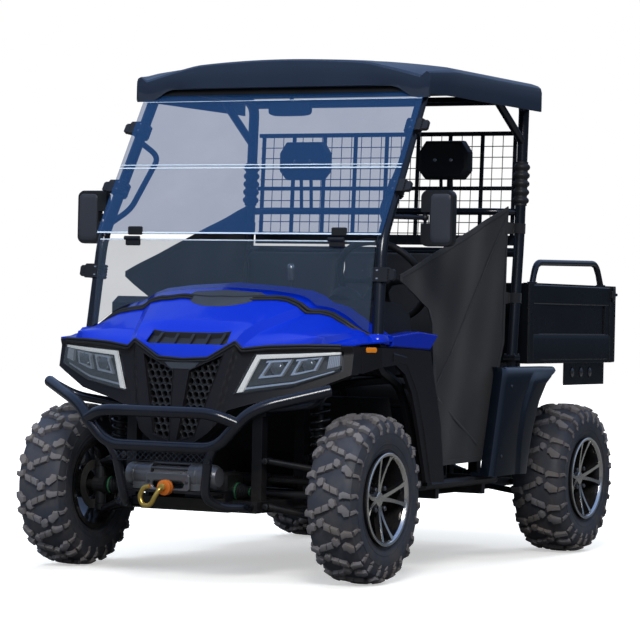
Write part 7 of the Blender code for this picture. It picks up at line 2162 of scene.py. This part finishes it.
# Chassis parts: the welded frame in satin black paint, skid plate, cab floor, engine and steering gear.
# Their plain forms are the model's own; only the finish of each is given here.
frame_satin = finish("frame_satin_black", (0.005, 0.006, 0.009), 0.42, 0.1, grain=300.0, bump=0.10,
                     cloud=0.3, wear_and_highlight=0.25, wear_and_highlight_colour=(0.06, 0.06, 0.07), dust=0.2, dust_limit=0.7)
skid_olive = finish("skid_olive_black", (0.014, 0.015, 0.012), 0.62, grain=260.0, bump=0.2, cloud=0.35,
                    dust=0.3, dust_limit=0.5)
cast_dark = finish("cast_dark_metal", (0.045, 0.047, 0.052), 0.45, 0.75, grain=320.0, bump=0.30, cloud=0.25,
                   dust=0.2, dust_limit=0.7)
for node_name, used in (("main_frame", frame_satin), ("skid_plate", skid_olive), ("floor_pan", dash_black),
                        ("engine_block", cast_dark), ("knuckle_left", cast_dark),
                        ("knuckle_right", cast_dark), ("steering_rack", cast_dark),
                        ("strut_body", frame_satin), ("strut_rod", chrome)):
    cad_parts[node_name].data.materials[0] = used


# Suspension: double wishbones of welded tube with rubber bushes, and a coil spring round each damper.
# The springs are wound black wire round dark cast dampers, and a rigid pipe a side feeds the front brakes.
LOWER_PIVOT = (0.2853, 0.2675)
UPPER_PIVOT = (0.2803, 0.430)
DAMPER_TOP = 0.6597
FRONT_DAMPER = (0.420, 0.402)
REAR_DAMPER = (0.385, 0.408)
FRONT_HUB_X = 0.500
REAR_HUB_X = 0.4525
PIVOT_REACH = 0.160
arms = bmesh.new()
bushes = bmesh.new()
springs = bmesh.new()
dampers = bmesh.new()


def wishbone(axle, pivot, tip, radius):
    """Two tubes from their bushes on the frame to the tip, with a cross tube between them."""
    cross = []
    for way in (-1, 1):
        root = Vector((pivot[0] + 0.014, axle + way * PIVOT_REACH, pivot[1]))
        eye = (pivot[0] + 0.012, axle + way * PIVOT_REACH, pivot[1])
        add_tube(arms, [root, Vector(tip)], radius, 0.01, 16)
        add_turned(bushes, [(-0.024, 0.008), (-0.022, 0.0117), (0.022, 0.0117), (0.024, 0.008)],
                   eye, (0, 1, 0), 20)
        add_turned(bushes, [(-0.029, 0.001), (-0.029, 0.006), (0.029, 0.006), (0.029, 0.001)],
                   eye, (0, 1, 0), 6)
        cross.append(root.lerp(Vector(tip), 0.55))
    add_tube(arms, cross, radius * 0.75, 0.01, 14)


def coil_over(x, y, low, high):
    """Upright damper between two heights, with its spring wound round it."""
    length = high - low
    turns_count = 6.5
    route = []
    for step in range(131):
        share = step / 130
        turn = 2 * math.pi * turns_count * share
        squeeze = 0.030 + (length - 0.060) * (share + 0.03 * math.sin(2 * math.pi * share))
        route.append((x + 0.0305 * math.cos(turn), y + 0.0305 * math.sin(turn), low + squeeze))
    add_tube(springs, route, 0.0064, 0.001, 9, 1)
    add_turned(dampers, [(0.0, 0.0125), (0.020, 0.0125), (0.022, 0.034), (0.028, 0.036), (0.030, 0.018),
                         (length * 0.55, 0.018), (length * 0.56, 0.0090), (length - 0.030, 0.0090),
                         (length - 0.028, 0.036), (length - 0.022, 0.034), (length - 0.020, 0.0125),
                         (length, 0.0125)], (x, y, low), (0, 0, 1), 28)


wishbone(FRONT_AXLE, LOWER_PIVOT, (0.488, FRONT_AXLE, 0.2137), 0.013)
wishbone(FRONT_AXLE, UPPER_PIVOT, (FRONT_HUB_X, FRONT_AXLE, 0.3863), 0.012)
wishbone(REAR_AXLE, LOWER_PIVOT, (REAR_HUB_X, REAR_AXLE, 0.225), 0.013)
wishbone(REAR_AXLE, UPPER_PIVOT, (REAR_HUB_X, REAR_AXLE, 0.400), 0.012)
for z in (0.2217, 0.3863):
    add_turned(bushes, [(-0.012, 0.018), (-0.010, 0.022), (0.010, 0.022), (0.012, 0.018)],
               (0.500, FRONT_AXLE, z), (0, 0, 1), 28)
for axle, (damper_x, damper_z), reach in ((FRONT_AXLE, FRONT_DAMPER, 0.062),
                                          (REAR_AXLE, REAR_DAMPER, 0.070)):
    coil_over(damper_x, axle, damper_z, DAMPER_TOP)
    add_tube(arms, [(damper_x, axle - reach, damper_z), (damper_x, axle + reach, damper_z)], 0.012, 0.01, 16)
add_block(arms, (0.4325, REAR_AXLE - 0.035, 0.215), (0.4725, REAR_AXLE + 0.035, 0.405), 0.006)
add_turned(arms, [(-0.010, 0.017), (0.1675, 0.017)], (0.4625, REAR_AXLE, TYRE_RADIUS), (1, 0, 0), 24)
for shape in (arms, bushes, springs, dampers):
    mirror_copy(shape)
piece("wishbones", arms, frame_satin, "chassis", 35,
      ["front_lower_arm_left", "front_lower_arm_right", "front_upper_arm_left", "front_upper_arm_right",
       "rear_suspension_left", "rear_suspension_right"])
piece("suspension_bushes", bushes, rubber_black, "chassis", 35)
spring_black = finish("spring_black", (0.012, 0.013, 0.016), 0.25, 0.2, grain=300.0, bump=0.04, coat=0.4,
                      dust=0.3)
piece("coil_springs", springs, spring_black, "chassis", 60)
piece("dampers", dampers, cast_dark, "chassis", 35)
lines = bmesh.new()
add_tube(lines, [(0.262, -0.745, 0.560), (0.300, -0.735, 0.500), (0.330, -0.790, 0.452),
                 (0.400, -0.855, 0.430), (0.470, -0.915, 0.412),
                 (0.488, -0.925, 0.398)], 0.0042, 0.03, 10, 5)
mirror_copy(lines)
hose_green = finish("brake_line_grey_green", (0.060, 0.085, 0.075), 0.45, grain=500.0, bump=0.25, cloud=0.2)
piece("brake_lines", lines, hose_green, "chassis", 60)


# Drives: a cast case on the centre line of each axle, with half shafts to both wheels.
# A ribbed rubber boot covers each joint, and green clamps hold the boots at both ends.
cases = bmesh.new()
boots = bmesh.new()
boot_bands = bmesh.new()
for axle, reach in ((FRONT_AXLE, 0.455), (REAR_AXLE, 0.4315)):
    add_block(cases, (-0.080, axle - 0.075, 0.256), (0.080, axle + 0.055, 0.375), 0.010)
    add_block(cases, (-0.060, axle - 0.133, 0.2813), (0.060, axle + 0.120, 0.295), 0.002)
    for x in (-0.086, 0.080):
        add_turned(cases, [(0.0, 0.036), (0.006, 0.036)], (x, axle, TYRE_RADIUS), (1, 0, 0), 30)
    for y in (axle - 0.060, axle + 0.030):
        for x in (-0.050, 0.0, 0.050):
            add_block(cases, (x - 0.003, y, 0.374), (x + 0.003, y + 0.012, 0.380))
    add_turned(cases, [(-reach + 0.010, 0.013), (reach - 0.010, 0.013)],
               (0, axle, TYRE_RADIUS), (1, 0, 0), 20)
    for side in (1, -1):
        for start, way, length in ((reach - 0.070, 1, 0.070), (0.145, -1, 0.060)):
            profile = [(0.0, 0.0150), (0.006, 0.0162)]
            for rib in range(5):
                share = (rib + 0.5) / 5
                wide = 0.019 + 0.0145 * share
                base = 0.008 + (length - 0.016) * rib / 5
                span = (length - 0.016) / 5
                profile += [(base + span * 0.05, wide - 0.0045), (base + span * 0.5, wide),
                            (base + span * 0.95, wide - 0.0040)]
            profile += [(length - 0.006, 0.0315), (length, 0.0315), (length, 0.016)]
            place = Vector((start * side, axle, TYRE_RADIUS))
            add_turned(boots, profile, place, (way * side, 0, 0), 28)
            add_turned(boot_bands, [(length - 0.007, 0.0312), (length - 0.007, 0.0335),
                                    (length - 0.001, 0.0335),
                                    (length - 0.001, 0.0312)], place, (way * side, 0, 0), 30, closed=True)
            add_turned(boot_bands, [(0.0005, 0.0150), (0.0005, 0.0178), (0.0060, 0.0178), (0.0060, 0.0150)],
                       place, (way * side, 0, 0), 24, closed=True)
piece("drive_cases", cases, cast_dark, "chassis", 35, ["front_drive", "rear_drive"])
piece("drive_boots", boots, rubber_black, "chassis", 50)
band_green = finish("boot_band_green", (0.050, 0.230, 0.110), 0.35, 0.3, grain=300.0, bump=0.05)
piece("drive_boot_bands", boot_bands, band_green, "chassis", 35)
